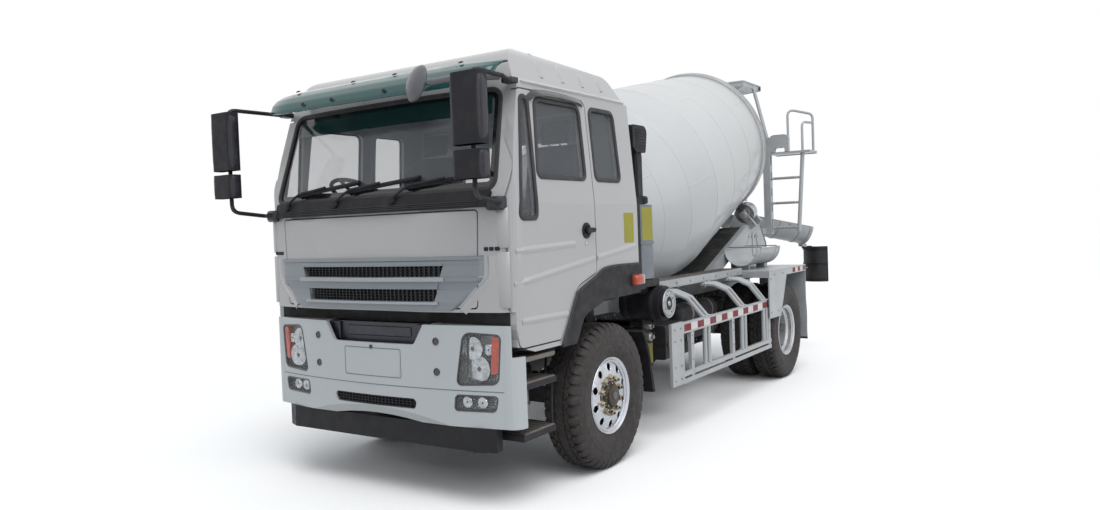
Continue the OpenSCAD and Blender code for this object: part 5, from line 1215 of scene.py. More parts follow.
def step_frame(p):
    for z in (0.52, 0.64, 0.88):
        for y in (-1.02, -0.76):
            p.bolt(at(0.840, y, z), X, 0.013, 0.010, BOLT)
    p.prism(rounded([(-1.02, 0.50, 0.03), (-0.76, 0.50, 0.03), (-0.76, 0.74, 0.03), (-1.02, 0.74, 0.03)]), YZ, 0.838, 0.846)
    for y in (-1.065, -0.715):
        p.prism([(0.86, 0.47), (1.09, 0.47), (1.10, 0.80), (1.085, 0.80), (1.075, 0.485), (0.86, 0.485)], XZ, y - 0.004, y + 0.004)


p.both(step_frame)
p.done(bevel=0.002, angle=30)

# Guard stripes: red and white squares along the upper rail, and on the rear fender
p = Piece("guard_stripes", "chassis", "steel_paint", WHITE)


def stripes(p):
    n, y0, y1 = 15, 1.205, 3.320
    for i in range(n):
        a, b = y0 + (y1 - y0) * i / n, y0 + (y1 - y0) * (i + 1) / n
        p.prism([(a, 0.862), (b - 0.001, 0.862), (b - 0.001, 0.922), (a, 0.922)], YZ, 1.1995, 1.2012, RED if i % 2 == 0 else WHITE)
    for i in range(5):
        a = 4.16 + 0.095 * i
        p.prism([(a, 1.183), (a + 0.094, 1.183), (a + 0.094, 1.236), (a, 1.236)], YZ, 1.2245, 1.2262, RED if i % 2 == 0 else WHITE)


p.both(stripes)
p.done(angle=30)
p = Piece("guard_fixings", "chassis", "steel_paint")


def fixings(p):
    for y in (1.01, 1.13):
        for z in (0.47, 0.58, 0.80, 0.90):
            p.bolt(at(1.200, y, z), X, 0.010, 0.007, BOLT)
    for y in (1.38, 2.35, 3.40):
        for z in (0.50, 0.60, 0.74, 0.81):
            p.bolt(at(1.195, y, z), X, 0.009, 0.007, BOLT)
    for y in (1.72, 2.65, 3.285):
        for dy in (-0.045, 0.045):
            # Collars where the bent tubes meet the deck and the rail
            p.lathe([(0.028, -0.006), (0.031, -0.003), (0.031, 0.003), (0.028, 0.006)], at(0.945, y + dy - 0.318, 1.1887), Vector((0.96, 0.26, 0)), 14)
            p.lathe([(0.030, 0), (0.034, 0.002), (0.034, 0.008), (0.024, 0.012)], at(1.178, y + dy, 0.940), Z, 14)
        for dy in (-0.045, 0.045):
            # The pairs run on below the upper rail
            p.tube([at(1.183, y + dy, 0.850), at(1.183, y + dy, 0.512)], 0.0205, 14)
            p.lathe([(0.0215, 0), (0.027, 0.002), (0.027, 0.007), (0.021, 0.009)], at(1.183, y + dy, 0.515), Z, 14)
    for y in [1.35 + 0.31 * i for i in range(7)]:
        # Nuts and a seam on the deck's outer channel
        p.bolt(at(0.930, y, 1.245), X, 0.011, 0.008, BOLT)
    p.prism([(1.26, 1.262), (3.32, 1.262), (3.32, 1.268), (1.26, 1.268)], YZ, 0.929, 0.9325)
    p.prism([(1.26, 1.222), (3.32, 1.222), (3.32, 1.226), (1.26, 1.226)], YZ, 0.929, 0.9325)


p.both(fixings)
p.done(angle=30)

# Deck plates: raised bars on the walkway over the frame
p = Piece("deck_plates", "chassis", "steel_paint", TREADS)


def deck_plates(p):
    for i in range(26):
        y = 1.30 + 0.077 * i
        p.prism([(y, 1.2795), (y + 0.012, 1.2795), (y + 0.009, 1.2845), (y + 0.003, 1.2845)], YZ, 0.715, 0.915)


p.both(deck_plates)
p.done(angle=30)

# Fender details: folded edge, stays and rubber flaps
p = Piece("fender_edges", "chassis", "steel_paint")


def fender_edges(p):
    edge = [(3.340, 1.245), (4.650, 1.245), (4.650, 1.180), (3.930, 1.180), (3.700, 0.740), (3.340, 0.740)]
    path = [at(1.225, y, z) for y, z in edge]
    p.sweep(path, [X] * 6, [(-0.006, -0.002), (-0.006, 0.003), (0.006, 0.003), (0.006, -0.002)], closed=True)
    for y, z in ((3.40, 0.80), (3.40, 1.16), (3.62, 0.80), (3.80, 1.20), (4.56, 1.21), (3.52, 1.20)):
        p.bolt(at(1.225, y, z), X, 0.011, 0.007, BOLT)
    p.prism([(3.36, 0.98), (3.80, 1.0), (3.80, 1.004), (3.36, 0.986)], YZ, 1.2245, 1.2275)


p.both(fender_edges)
p.done(angle=35)
p = Piece("rear_flaps", "chassis", "chassis_black", FLAP)


def rear_flaps(p):
    rows = []
    for i in range(9):
        z = 0.82 - 0.47 * i / 8
        lean = 0.012 * math.sin(i * 0.7) + 0.004 * i
        rows.append([at(x, 4.654 + lean + d, z) for x, d in [(0.665, 0), (0.95, 0.003), (1.222, 0), (1.222, 0.008), (0.95, 0.011), (0.665, 0.008)]])
    p.loft(rows)
    p.prism([(0.67, 0.79), (1.22, 0.79), (1.22, 0.82), (0.67, 0.82)], XZ, 4.662, 4.668, BOLT)
    for x in (0.72, 0.86, 1.0, 1.14):
        p.bolt(at(x, 4.668, 0.805), Y, 0.010, 0.007, BOLT)
    for i in range(5):
        x = 0.74 + 0.1 * i
        p.prism([(x, 0.42), (x + 0.012, 0.42), (x + 0.012, 0.74), (x, 0.74)], XZ, 4.66, 4.688 - 0.001 * i)


p.both(rear_flaps)
p.done(angle=35)

# Front mudguard edges and ribs behind the front wheels
p = Piece("mudguard_edges", "chassis", "chassis_black")


def mudguard(p):
    points = [(0.672 * math.cos(math.radians(a)), 0.565 + 0.672 * math.sin(math.radians(a))) for a in (35, 28, 21, 14, 8)] + [(0.720, 0.432)]
    for x in (0.884, 1.141):
        p.sweep([at(x, y, z) for y, z in points], [Vector((0, 1, 0.3))] * 6, [(-0.008, -0.006), (-0.006, 0.004), (0.006, 0.004), (0.008, -0.006)])
    for x in (0.95, 1.01, 1.07):
        p.sweep([at(x, y, z) for y, z in points], [Vector((0, 1, 0.3))] * 6, [(-0.012, -0.003), (-0.006, 0.003), (0.006, 0.003), (0.012, -0.003)])


p.both(mudguard)
p.done(angle=40)

# Air filter: bands, clips and a ribbed cap; intake duct with its housing, knob and blank sticker
CAP_DARK = surface("cap_shade", (0.10, 0.105, 0.115), 0.35, metal=0.5, vary=0.1)
p = Piece("air_filter_details", "chassis", "tank_metal", surface("filter_cap", (0.36, 0.37, 0.38), 0.32, metal=0.8, vary=0.15, vary_scale=12))
c = at(0, 1.08, 1.115)
p.lathe([(0.1185, 1.118), (0.1235, 1.120), (0.125, 1.124), (0.122, 1.128), (0.114, 1.1285), (0.108, 1.124), (0.104, 1.126), (0.060, 1.1275),
         (0.056, 1.1235), (0.024, 1.1235), (0.020, 1.131), (0.001, 1.132)], c, X, 40)
p.lathe([(0.118, 1.1190), (0.118, 1.1215), (0.106, 1.1215), (0.106, 1.1190)], c, X, 40, CAP_DARK, closed=True)
for a in range(4):
    t = math.pi * a / 2 + 0.5
    p.lathe([(0.008, 0.0), (0.008, 0.007), (0.001, 0.008)], c + Vector((1.1265, 0.083 * math.cos(t), 0.083 * math.sin(t))), X, 10, BOLT)
p.done(angle=35)
p = Piece("air_filter_bands", "chassis", "chassis_black")
for x in (0.775, 1.02):
    p.lathe([(0.1495, x - 0.018), (0.1535, x - 0.016), (0.1535, x + 0.016), (0.1495, x + 0.018)], c, X, 40, closed=True)
    p.prism(rounded([(-0.02, 0.1535, 0.004), (0.02, 0.1535, 0.004), (0.02, 0.172, 0.004), (-0.02, 0.172, 0.004)]),
            lambda u, v, w: c + Vector((w, u, v)), x - 0.010, x + 0.010, BOLT)
p.tube(bent([at(0.92, 0.99, 1.235), at(0.92, 0.93, 1.27), at(0.98, 0.88, 1.30)], 0.04), 0.055, 14)
for s in range(4):
    q = at(0.92, 0.985, 1.238) + (at(0.92, 0.93, 1.27) - at(0.92, 0.99, 1.235)) * (0.25 * s)
    p.lathe([(0.054, -0.006), (0.060, -0.003), (0.060, 0.003), (0.054, 0.006)], q, Vector((0, -0.86, 0.5)), 14, closed=True)
p.done(angle=35)
p = Piece("duct_housing", "chassis", "chassis_grey", DUCT)
p.prism(rounded([(0.958, 0.758, 0.012), (1.046, 0.758, 0.012), (1.046, 0.985, 0.02), (0.958, 0.985, 0.02)]), XY, 1.34, 1.955)
p.prism(rounded([(0.95, 0.75, 0.012), (1.052, 0.75, 0.012), (1.052, 0.993, 0.02), (0.95, 0.993, 0.02)]), XY, 1.63, 1.65)
p.prism(rounded([(0.780, 1.66, 0.008), (0.965, 1.66, 0.008), (0.965, 1.935, 0.008), (0.780, 1.935, 0.008)]), YZ, 1.045, 1.0475, YELLOW)
for z in (1.36, 1.60):
    for y in (0.79, 0.95):
        p.bolt(at(1.046, y, z), X, 0.008, 0.006, BOLT)
p.done(bevel=0.002, angle=35)
p = Piece("duct_knob", "chassis", "black_plastic")
p.lathe([(0.020, 1.95), (0.030, 1.958), (0.052, 1.962), (0.060, 1.975), (0.060, 2.010), (0.050, 2.024), (0.020, 2.030), (0.001, 2.031)], at(1.0, 0.86, 0), Z, 24)
# Louvres on the snorkel's head
for i in range(7):
    z = 2.415 + 0.024 * i
    p.prism([(0.70, z), (0.85, z), (0.855, z + 0.010), (0.695, z + 0.010)], YZ, 1.058, 1.0645)
    p.prism([(0.955, z), (1.045, z), (1.045, z + 0.010), (0.955, z + 0.010)], XZ, 0.632, 0.642)
p.tube([at(0.945, 0.665, 2.39), at(0.945, 0.665, 2.56)], 0.006, 6)
p.sweep([at(1.0, 0.72, 1.40), at(1.0, 0.72, 2.36)], [-Y, -Y], [(-0.042, 0.002), (-0.036, 0.010), (0.036, 0.010), (0.042, 0.002)])
p.sweep([at(1.04, 0.77, 2.02), at(1.04, 0.77, 2.36)], [X, X], [(-0.046, 0.001), (-0.040, 0.008), (0.040, 0.008), (0.046, 0.001)])
p.done(bevel=0.0015, angle=35)
# Bracket under the filter with a blank sticker
p = Piece("valve_bracket", "chassis", "chassis_black")
p.prism(rounded([(0.985, 0.56, 0.02), (1.165, 0.56, 0.02), (1.165, 0.98, 0.02), (0.985, 0.98, 0.02)]), YZ, 0.905, 0.917)
p.prism(rounded([(1.05, 0.59, 0.006), (1.150, 0.59, 0.006), (1.150, 0.765, 0.006), (1.05, 0.765, 0.006)]), YZ, 0.917, 0.9195, YELLOW)
p.box(at(0.44, 1.04, 0.915), at(0.91, 1.10, 0.955))
for z, r in ((0.83, 0.036), (0.92, 0.028)):
    p.lathe([(r, 0), (r, 0.05), (r * 0.8, 0.06), (r * 0.5, 0.062), (r * 0.5, 0.08), (0.001, 0.081)], at(0.917, 1.03, z), X, 16, BOLT)
    p.tube(bent([at(0.93, 1.06, z), at(0.96, 1.12, z + 0.02), at(0.90, 1.17, z + 0.05), at(0.70, 1.17, z + 0.05)], 0.03), 0.009, 8)
p.done(bevel=0.002, angle=35)

# Fuel tank: straps, cap, seams and step
p = Piece("fuel_tank_details", "chassis", "tank_metal")
TANK_AT = [(-1.09, 0.54, 0.09), (-0.56, 0.54, 0.09), (-0.56, 1.03, 0.09), (-1.09, 1.03, 0.09)]


def tank_outline(e):
    (x0, z0, r), (x1, _, _), (_, z1, _), _ = TANK_AT
    return rounded([(x0 - e, z0 - e, r + e), (x1 + e, z0 - e, r + e), (x1 + e, z1 + e, r + e), (x0 - e, z1 + e, r + e)], 8)


for y in (1.165, 2.235):
    p.prism(tank_outline(0.004), XZ, y - 0.008, y + 0.008)
tank_end = rounded([(-1.04, 0.60, 0.05), (-0.61, 0.60, 0.05), (-0.61, 0.97, 0.05), (-1.04, 0.97, 0.05)], 6)
for y0, y1 in ((1.140, 1.152), (2.248, 2.260)):
    p.prism(tank_end, XZ, y0, y1)
for y in (1.35, 2.05):
    p.prism(tank_outline(0.005), XZ, y - 0.026, y + 0.026, BOLT)
    for x in (-1.0, -0.65):
        p.bolt(at(x, y, 1.036), Z, 0.014, 0.02, BOLT)
p.lathe([(0.040, 1.03), (0.045, 1.034), (0.045, 1.050), (0.058, 1.052), (0.060, 1.058), (0.060, 1.080), (0.054, 1.086), (0.012, 1.088), (0.001, 1.088)],
        at(-0.93, 1.62, 0), Z, 28)
p.prism([(-0.99, 1.086), (-0.87, 1.086), (-0.87, 1.098), (-0.99, 1.098)], XZ, 1.612, 1.628)
p.lathe([(0.022, 1.03), (0.022, 1.045), (0.012, 1.050), (0.001, 1.051)], at(-0.80, 1.85, 0), Z, 16)
p.tube(bent([at(-0.80, 1.85, 1.045), at(-0.80, 1.85, 1.10), at(-0.60, 1.85, 1.10), at(-0.45, 1.85, 0.94)], 0.03), 0.008, 8, PLASTIC)
p.done(bevel=0.0015, angle=35)

# Battery box and air tanks
p = Piece("battery_details", "chassis", "chassis_black")
p.prism(rounded([(0.534, 0.70, 0.018), (0.906, 0.70, 0.018), (0.906, 0.868, 0.024), (0.534, 0.868, 0.024)]), XZ, 1.442, 1.958)
for i in range(5):
    y = 1.52 + 0.09 * i
    p.prism([(y, 0.585), (y + 0.03, 0.585), (y + 0.03, 0.685), (y, 0.685)], YZ, 0.898, 0.905)
    p.prism([(y, 0.73), (y + 0.03, 0.73), (y + 0.03, 0.84), (y, 0.84)], YZ, 0.904, 0.911)
for y in (1.50, 1.90):
    p.prism(rounded([(y - 0.012, 0.67, 0.004), (y + 0.012, 0.67, 0.004), (y + 0.012, 0.74, 0.004), (y - 0.012, 0.74, 0.004)]), YZ, 0.905, 0.918, BOLT)
p.done(bevel=0.002, angle=35)
p = Piece("air_tank_details", "chassis", "chassis_black")
for z in (0.72, 0.88):
    for y, d in ((2.12, -1), (3.02, 1)):
        p.lathe([(0.1100, -0.012), (0.1125, -0.010), (0.1125, 0.0), (0.108, 0.006), (0.092, 0.020), (0.062, 0.033), (0.030, 0.039), (0.001, 0.040)],
                at(0.65, y, z), Y * d, 32)
        p.lathe([(0.018, 0.036), (0.018, 0.052), (0.010, 0.054), (0.001, 0.055)], at(0.65, y, z), Y * d, 8, BOLT)
    for y in (2.40, 2.90):
        p.lathe([(0.1095, -0.015), (0.1135, -0.014), (0.1135, 0.014), (0.1095, 0.015)], at(0.65, y, z), Y, 32, BOLT, closed=True)
    p.lathe([(0.012, -0.13), (0.012, -0.108), (0.02, -0.100)], at(0.65, 2.55, z), Z, 8, BOLT)
for i, (y0, y1, z, x) in enumerate(((2.08, 1.35, 0.93, 0.60), (2.08, 0.75, 0.91, 0.50), (3.06, 3.60, 0.93, 0.52), (3.06, 3.85, 0.90, 0.50))):
    s = 1 if y1 > y0 else -1
    p.tube(bent([at(0.65, y0, 0.88 - 0.16 * (i % 2)), at(0.65, y0 + s * 0.05, 0.90), at(x, y0 + s * 0.2, z), at(x, y1, z), at(0.44, y1 + s * 0.05, z)], 0.04), 0.008, 8, PLASTIC)
p.done(angle=35)

# Leaf springs: centre plates, U bolts, clips and pins, front and rear
p = Piece("spring_details", "chassis", "chassis_black")


def spring(p, y0, top, spread, half, end_z):
    for y in (y0 - spread, y0 + spread):
        for x in (0.336, 0.444):
            p.tube([at(x, y, top - 0.19), at(x, y, top + 0.012)], 0.011, 8, BOLT)
            p.bolt(at(x, y, top - 0.175), -Z, 0.019, 0.018, BOLT)
        p.tube(bent([at(0.336, y, top + 0.005), at(0.336, y, top + 0.035), at(0.444, y, top + 0.035), at(0.444, y, top + 0.005)], 0.02), 0.011, 8, BOLT)
    p.prism(rounded([(0.325, y0 - spread - 0.035, 0.012), (0.455, y0 - spread - 0.035, 0.012), (0.455, y0 + spread + 0.035, 0.012),
                     (0.325, y0 + spread + 0.035, 0.012)]), XY, top, top + 0.022)
    for y in (y0 - 0.36, y0 + 0.36):
        z = top + 0.022
        p.prism([(0.340, z - 0.035), (0.440, z - 0.035), (0.440, z + 0.014), (0.340, z + 0.014)], XZ, y - 0.014, y + 0.014)
        p.bolt(at(0.44, y, z + 0.004), X, 0.010, 0.008, BOLT)
    for y in (y0 - half, y0 + half):
        p.lathe([(0.026, -0.006), (0.026, 0.012), (0.016, 0.016), (0.001, 0.017)], at(0.440, y, end_z), X, 12, BOLT)


p.both(lambda q: spring(q, 0.0, 0.615, 0.075, 0.645, 0.70))
p.both(lambda q: spring(q, 4.03, 0.665, 0.105, 0.645, 0.725))
p.done(bevel=0.001, angle=35)

# Rear axle: cover bolts, brake chambers, brake pipes and bump stops
p = Piece("rear_axle_details", "chassis", "chassis_black")
ra = at(0, 4.03, 0.535)
p.lathe([(0.214, -0.104), (0.219, -0.100), (0.219, -0.090), (0.214, -0.086)], ra, Y, 48, closed=True)
p.lathe([(0.214, 0.086), (0.219, 0.090), (0.219, 0.100), (0.200, 0.118), (0.150, 0.160), (0.080, 0.190), (0.001, 0.198)], ra, Y, 48)
for i in range(14):
    a = 2 * math.pi * i / 14
    p.bolt(ra + Vector((0.198 * math.cos(a), 0.117, 0.198 * math.sin(a))), Y, 0.011, 0.010, BOLT)
    p.bolt(ra + Vector((0.185 * math.cos(a), -0.100, 0.185 * math.sin(a))), -Y, 0.011, 0.010, BOLT)
p.bolt(ra + Vector((0, 0.19, -0.06)), Y, 0.02, 0.014, BOLT)


def chambers(p):
    q = at(0.52, 4.22, 0.60)
    p.lathe([(0.001, -0.12), (0.070, -0.118), (0.078, -0.10), (0.078, -0.035), (0.084, -0.03), (0.084, -0.018), (0.074, -0.012), (0.074, 0.012),
             (0.084, 0.018), (0.084, 0.030), (0.074, 0.038), (0.062, 0.085), (0.030, 0.095), (0.001, 0.096)], q, X, 28)
    p.tube([q + X * 0.09, q + X * 0.20], 0.011, 8, BOLT)
    p.box(at(0.50, 4.09, 0.555), at(0.62, 4.16, 0.63))
    p.tube(bent([q + Vector((-0.08, 0.06, 0.02)), q + Vector((-0.14, 0.06, 0.12)), at(0.36, 4.20, 0.80), at(0.36, 4.35, 0.86)], 0.05), 0.010, 8, PLASTIC)
    p.prism(rounded([(0.345, 3.97, 0.015), (0.435, 3.97, 0.015), (0.435, 4.09, 0.015), (0.345, 4.09, 0.015)]), XY, 0.715, 0.748, FLAP)


p.both(chambers)
p.done(bevel=0.001, angle=35)
p = Piece("front_axle_details", "chassis", "chassis_black")


def front_axle_details(p):
    p.lathe([(0.056, 0), (0.056, 0.006), (0.030, 0.012), (0.001, 0.013)], at(0.790, 0, 0.647), Z, 24, BOLT)
    p.tube([at(0.62, 0.10, 0.42), at(0.0, 0.10, 0.42)], 0.016, 10)
    p.tube(bent([at(0.50, 0.06, 0.60), at(0.46, 0.16, 0.70), at(0.44, 0.22, 0.84)], 0.05), 0.010, 8, PLASTIC)
    p.lathe([(0.028, -0.10), (0.034, -0.08), (0.034, 0.06), (0.022, 0.065), (0.022, 0.20), (0.001, 0.21)], at(0.478, -0.12, 0.68), Vector((0.05, -0.12, 1)), 16)


p.both(front_axle_details)
p.done(angle=35)

# Frame: bolt rows on the rails, hoses along the web, propeller shaft joints
p = Piece("frame_bolts", "chassis", "chassis_grey", BOLT)


def frame_bolts(p):
    for i in range(34):
        y = -0.85 + 0.17 * i
        p.bolt(at(0.430, y, 0.965), X, 0.011, 0.008)
        if i % 2:
            p.bolt(at(0.430, y, 0.785), X, 0.011, 0.008)
    for y in (1.25, 2.05, 3.30):
        for dy in (-0.05, 0.05):
            for z in (0.84, 0.90):
                p.bolt(at(0.430, y + dy, z), X, 0.012, 0.009)
    for y in (1.30, 2.10, 2.88):
        for dy, z in ((-0.022, 1.02), (0.022, 1.02), (-0.022, 1.07), (0.022, 1.07)):
            p.bolt(at(0.432, y + dy, z), X, 0.009, 0.007)


p.both(frame_bolts)
p.done(angle=30)
p = Piece("frame_hoses", "chassis", "chassis_black")
for k, (x, z, y0, y1) in enumerate(((0.442, 0.925, -0.4, 3.5), (0.442, 0.905, -0.2, 3.9), (0.441, 0.885, 1.0, 4.2))):
    p.tube(curve_through([at(x, y0 + (y1 - y0) * i / 12, z + 0.005 * math.sin(2.1 * i + k)) for i in range(13)], 3), 0.008, 6)
for i in range(9):
    p.prism([(0.430, 0.87), (0.454, 0.87), (0.454, 0.94), (0.430, 0.94)], XZ, 0.1 + 0.42 * i, 0.115 + 0.42 * i, BOLT)
p.done(angle=35)
p = Piece("shaft_joints", "chassis", "chassis_black")
front, rear = at(0, 1.15, 0.80), at(0, 3.765, 0.55)
d = (rear - front).normalized()
for q, s in ((front, 1), (rear, -1)):
    p.lathe([(0.076, 0.006), (0.078, 0.010), (0.078, 0.022), (0.050, 0.026), (0.042, 0.050)], q + d * 0.02 * s, d * s, 24)
    for i in range(8):
        a = 2 * math.pi * i / 8
        p.bolt(q + Vector((0.062 * math.cos(a), 0, 0.062 * math.sin(a))) + d * s * 0.046, d * s, 0.008, 0.008, BOLT)
    for turn in (0, math.pi / 2):
        axis = (X * math.cos(turn) + d.cross(X).normalized() * math.sin(turn))
        p.tube([q + d * s * 0.10 - axis * 0.060, q + d * s * 0.10 + axis * 0.060], 0.019, 12, BOLT)
    for turn in (0.0, math.pi):
        e = X * math.cos(turn)
        p.loft([[q + d * s * t + e * r + d.cross(X).normalized() * w for r, w in ((0.030, -0.03), (0.058, -0.03), (0.058, 0.03), (0.030, 0.03))] for t in (0.05, 0.16)])
p.lathe([(0.044, 0.55), (0.050, 0.56), (0.050, 0.70), (0.044, 0.71)], front, d, 24, closed=True)
p.done(bevel=0.001, angle=35)

# Rear pedestal: plate edges, stiffeners, base flanges and bolts
p = Piece("pedestal_edges", "chassis", "steel_paint")
SIDE_LINE = rounded([(2.950, 1.101, 0), (4.970, 1.101, 0), (4.970, 1.500, 0.06), (4.780, 1.740, 0.04), (4.320, 1.740, 0.06), (2.950, 1.200, 0.02)], 5)
WINDOW_LINE = rounded([(3.300, 1.180, 0.02), (3.900, 1.180, 0.04), (3.900, 1.430, 0.06)], 5)


def pedestal(p):
    for line_, x, half in ((SIDE_LINE, 0.615, 0.033), (WINDOW_LINE, 0.615, 0.029)):
        path = [at(x, y, z) for y, z in line_]
        middle_ = sum(path, Vector()) / len(path)
        out = []
        for a, q, b in zip(path[-1:] + path[:-1], path, path[1:] + path[:1]):
            n = X.cross((b - a).normalized())
            out.append(n if n.dot(q - middle_) > 0 else -n)
        s = 1 if line_ is SIDE_LINE else -1
        p.sweep(path, [n * s for n in out], [(-half, -0.004), (-half, 0.003), (half, 0.003), (half, -0.004)], closed=True)
    for y in [3.02 + 0.24 * i for i in range(8)]:
        p.bolt(at(0.622, y, 1.120), Z, 0.013, 0.012, BOLT)
    for y0, z0, y1, z1 in ((4.02, 1.14, 4.40, 1.62), (4.50, 1.14, 4.50, 1.66), (4.80, 1.14, 4.62, 1.64)):
        d_ = Vector((0, y1 - y0, z1 - z0)).normalized()
        w = Vector((0, -d_.z, d_.y)) * 0.022
        a, b = at(0, y0, z0), at(0, y1, z1)
        p.loft([[q + X * x for q in (a - w, b - w, b + w, a + w)] for x in (0.636, 0.648)])
    for y, z in ((4.36, 1.60), (4.46, 1.60), (4.56, 1.60), (4.66, 1.60), (4.56, 1.365), (4.62, 1.365), (4.50, 1.365)):
        p.bolt(at(0.640, y, z), X, 0.014, 0.011, BOLT)


p.both(pedestal)
p.done(bevel=0.0015, angle=35)
p = Piece("pivot_arm_details", "chassis", "steel_paint")


def pivot_arm(p):
    # Gussets between the arm and its cross member, bolts round the pivot's boss
    p.prism([(0.160, 4.64), (0.168, 4.64), (0.168, 5.22), (0.160, 5.22)], XY, 1.318, 1.412)
    p.loft([[at(x, y, z) for x, y in ((0.165, 4.64), (0.33, 4.64), (0.165, 4.90))] for z in (1.36, 1.37)])
    for y in (4.72, 4.84, 4.96, 5.08):
        p.bolt(at(0.168, y, 1.365), X, 0.011, 0.008, BOLT)


p.both(pivot_arm)
p.lathe([(0.0895, 1.332), (0.096, 1.336), (0.096, 1.346), (0.0895, 1.350)], at(0, 5.33, 0), Z, 40, closed=True)
p.lathe([(0.0895, 1.380), (0.096, 1.384), (0.096, 1.394), (0.0895, 1.398)], at(0, 5.33, 0), Z, 40, closed=True)
p.done(bevel=0.0015, angle=35)
p = Piece("bearing_details", "chassis", "steel_paint")
RING_AT, RING_R, ROLLER_R = SEAM_AT + AXIS * 1.893, 0.909, 0.1205


def roller_place(side):
    """Middle of a roller under the track ring, and the direction to it from the ring's middle."""
    away = radial(math.radians(-90 + side * 34))
    return RING_AT + away * (RING_R + ROLLER_R), away


for side in (-1, 1):
    q, e = roller_place(side)
    f = AXIS.cross(e)
    for s, d_ in ((-0.112, -1), (0.112, 1)):
        p.lathe([(0.033, 0), (0.045, 0.001), (0.045, 0.012), (0.036, 0.020), (0.001, 0.022)], q + AXIS * s, AXIS * d_, 24)
        for u, v in ((-0.03, 0.09), (0.03, 0.09), (-0.03, 0.15), (0.03, 0.15)):
            p.bolt(q + AXIS * s + f * u + e * v, AXIS * d_, 0.011, 0.009, BOLT)
p.done(angle=35)
for name, side in (("roller_left", 1), ("roller_right", -1)):
    q, e = roller_place(side)
    p = Piece(name + "_faces", name, "rim_metal", RING)
    for d_ in (-1, 1):
        p.lathe([(0.104, 0.0605), (0.112, 0.0625), (0.117, 0.0615), (0.1185, 0.0590)], q, AXIS * d_, 48)
        p.lathe([(0.044, 0.0595), (0.052, 0.0625), (0.060, 0.0625), (0.066, 0.0600)], q, AXIS * d_, 32)
        f = AXIS.cross(e)
        for i in range(6):
            a = math.pi * i / 3
            p.bolt(q + AXIS * d_ * 0.0600 + (e * math.cos(a) + f * math.sin(a)) * 0.084, AXIS * d_, 0.009, 0.006, BOLT)
    p.done(angle=35)

# Drum drive: gearbox ribs, flange bolts, hydraulic motor and hoses
p = Piece("drive_details", "chassis", "chassis_grey")
NOSE_S = -1.440
DRIVE_AT = SEAM_AT + AXIS * (NOSE_S - 0.330)

for s0, r in ((-0.055, 0.2262), (-0.010, 0.2262)):
    p.lathe([(r - 0.002, s0 - 0.006), (r + 0.003, s0 - 0.004), (r + 0.003, s0 + 0.004), (r - 0.002, s0 + 0.006)],
            DRIVE_AT, AXIS, 48, closed=True)
for s0 in (0.06, 0.10, 0.14, 0.18, 0.22, 0.26):
    p.lathe([(0.184, s0 - 0.008), (0.200, s0 - 0.003), (0.200, s0 + 0.003), (0.184, s0 + 0.008)], DRIVE_AT, AXIS, 48, closed=True)
for i in range(16):
    a = 2 * math.pi * i / 16
    p.bolt(on_drum(NOSE_S - 0.390, 0.205, a), -AXIS, 0.012, 0.012, BOLT)
q = SEAM_AT + AXIS * (NOSE_S - 0.500)
p.lathe([(0.001, -0.16), (0.050, -0.158), (0.062, -0.15), (0.066, -0.05), (0.092, -0.04), (0.096, -0.03), (0.096, 0.002)], q, AXIS, 32)
for a in (0.5, 2.6, 4.7):
    n = radial(a)
    p.bolt(q + n * 0.08 - AXIS * 0.038, -AXIS, 0.011, 0.010, BOLT)
for k, a in enumerate((0.35, 1.2, 1.95, 2.8)):
    n = radial(a)
    b0 = q - AXIS * 0.09 + n * 0.06
    p.lathe([(0.020, 0), (0.020, 0.02), (0.014, 0.026), (0.014, 0.045)], b0, n, 10, BOLT)
    end = at(0.30 - 0.18 * k, 0.98, 1.06)
    p.tube(curve_through([b0 + n * 0.04, b0 + n * 0.11 - AXIS * 0.03, (b0 + n * 0.16 + end) / 2 + Vector((0.0, -0.06, 0.06)), end + Z * 0.10, end], 6), 0.015, 8, PLASTIC)
p.done(angle=35)
p = Piece("drive_plate_details", "chassis", "steel_paint")
for u in (-0.27, -0.16, 0.16, 0.27):
    for v in (-0.23, 0.22):
        p.bolt(DRIVE_AT + ACROSS * u + OVER * v, -AXIS, 0.013, 0.011, BOLT)
for x in (0.292, -0.292):
    p.prism([(0.86, 1.12), (0.872, 1.12), (1.02, 1.50), (1.008, 1.50)], YZ, x - 0.03 if x < 0 else x - 0.01, x + 0.01 if x < 0 else x + 0.03)
p.done(bevel=0.0015, angle=35)
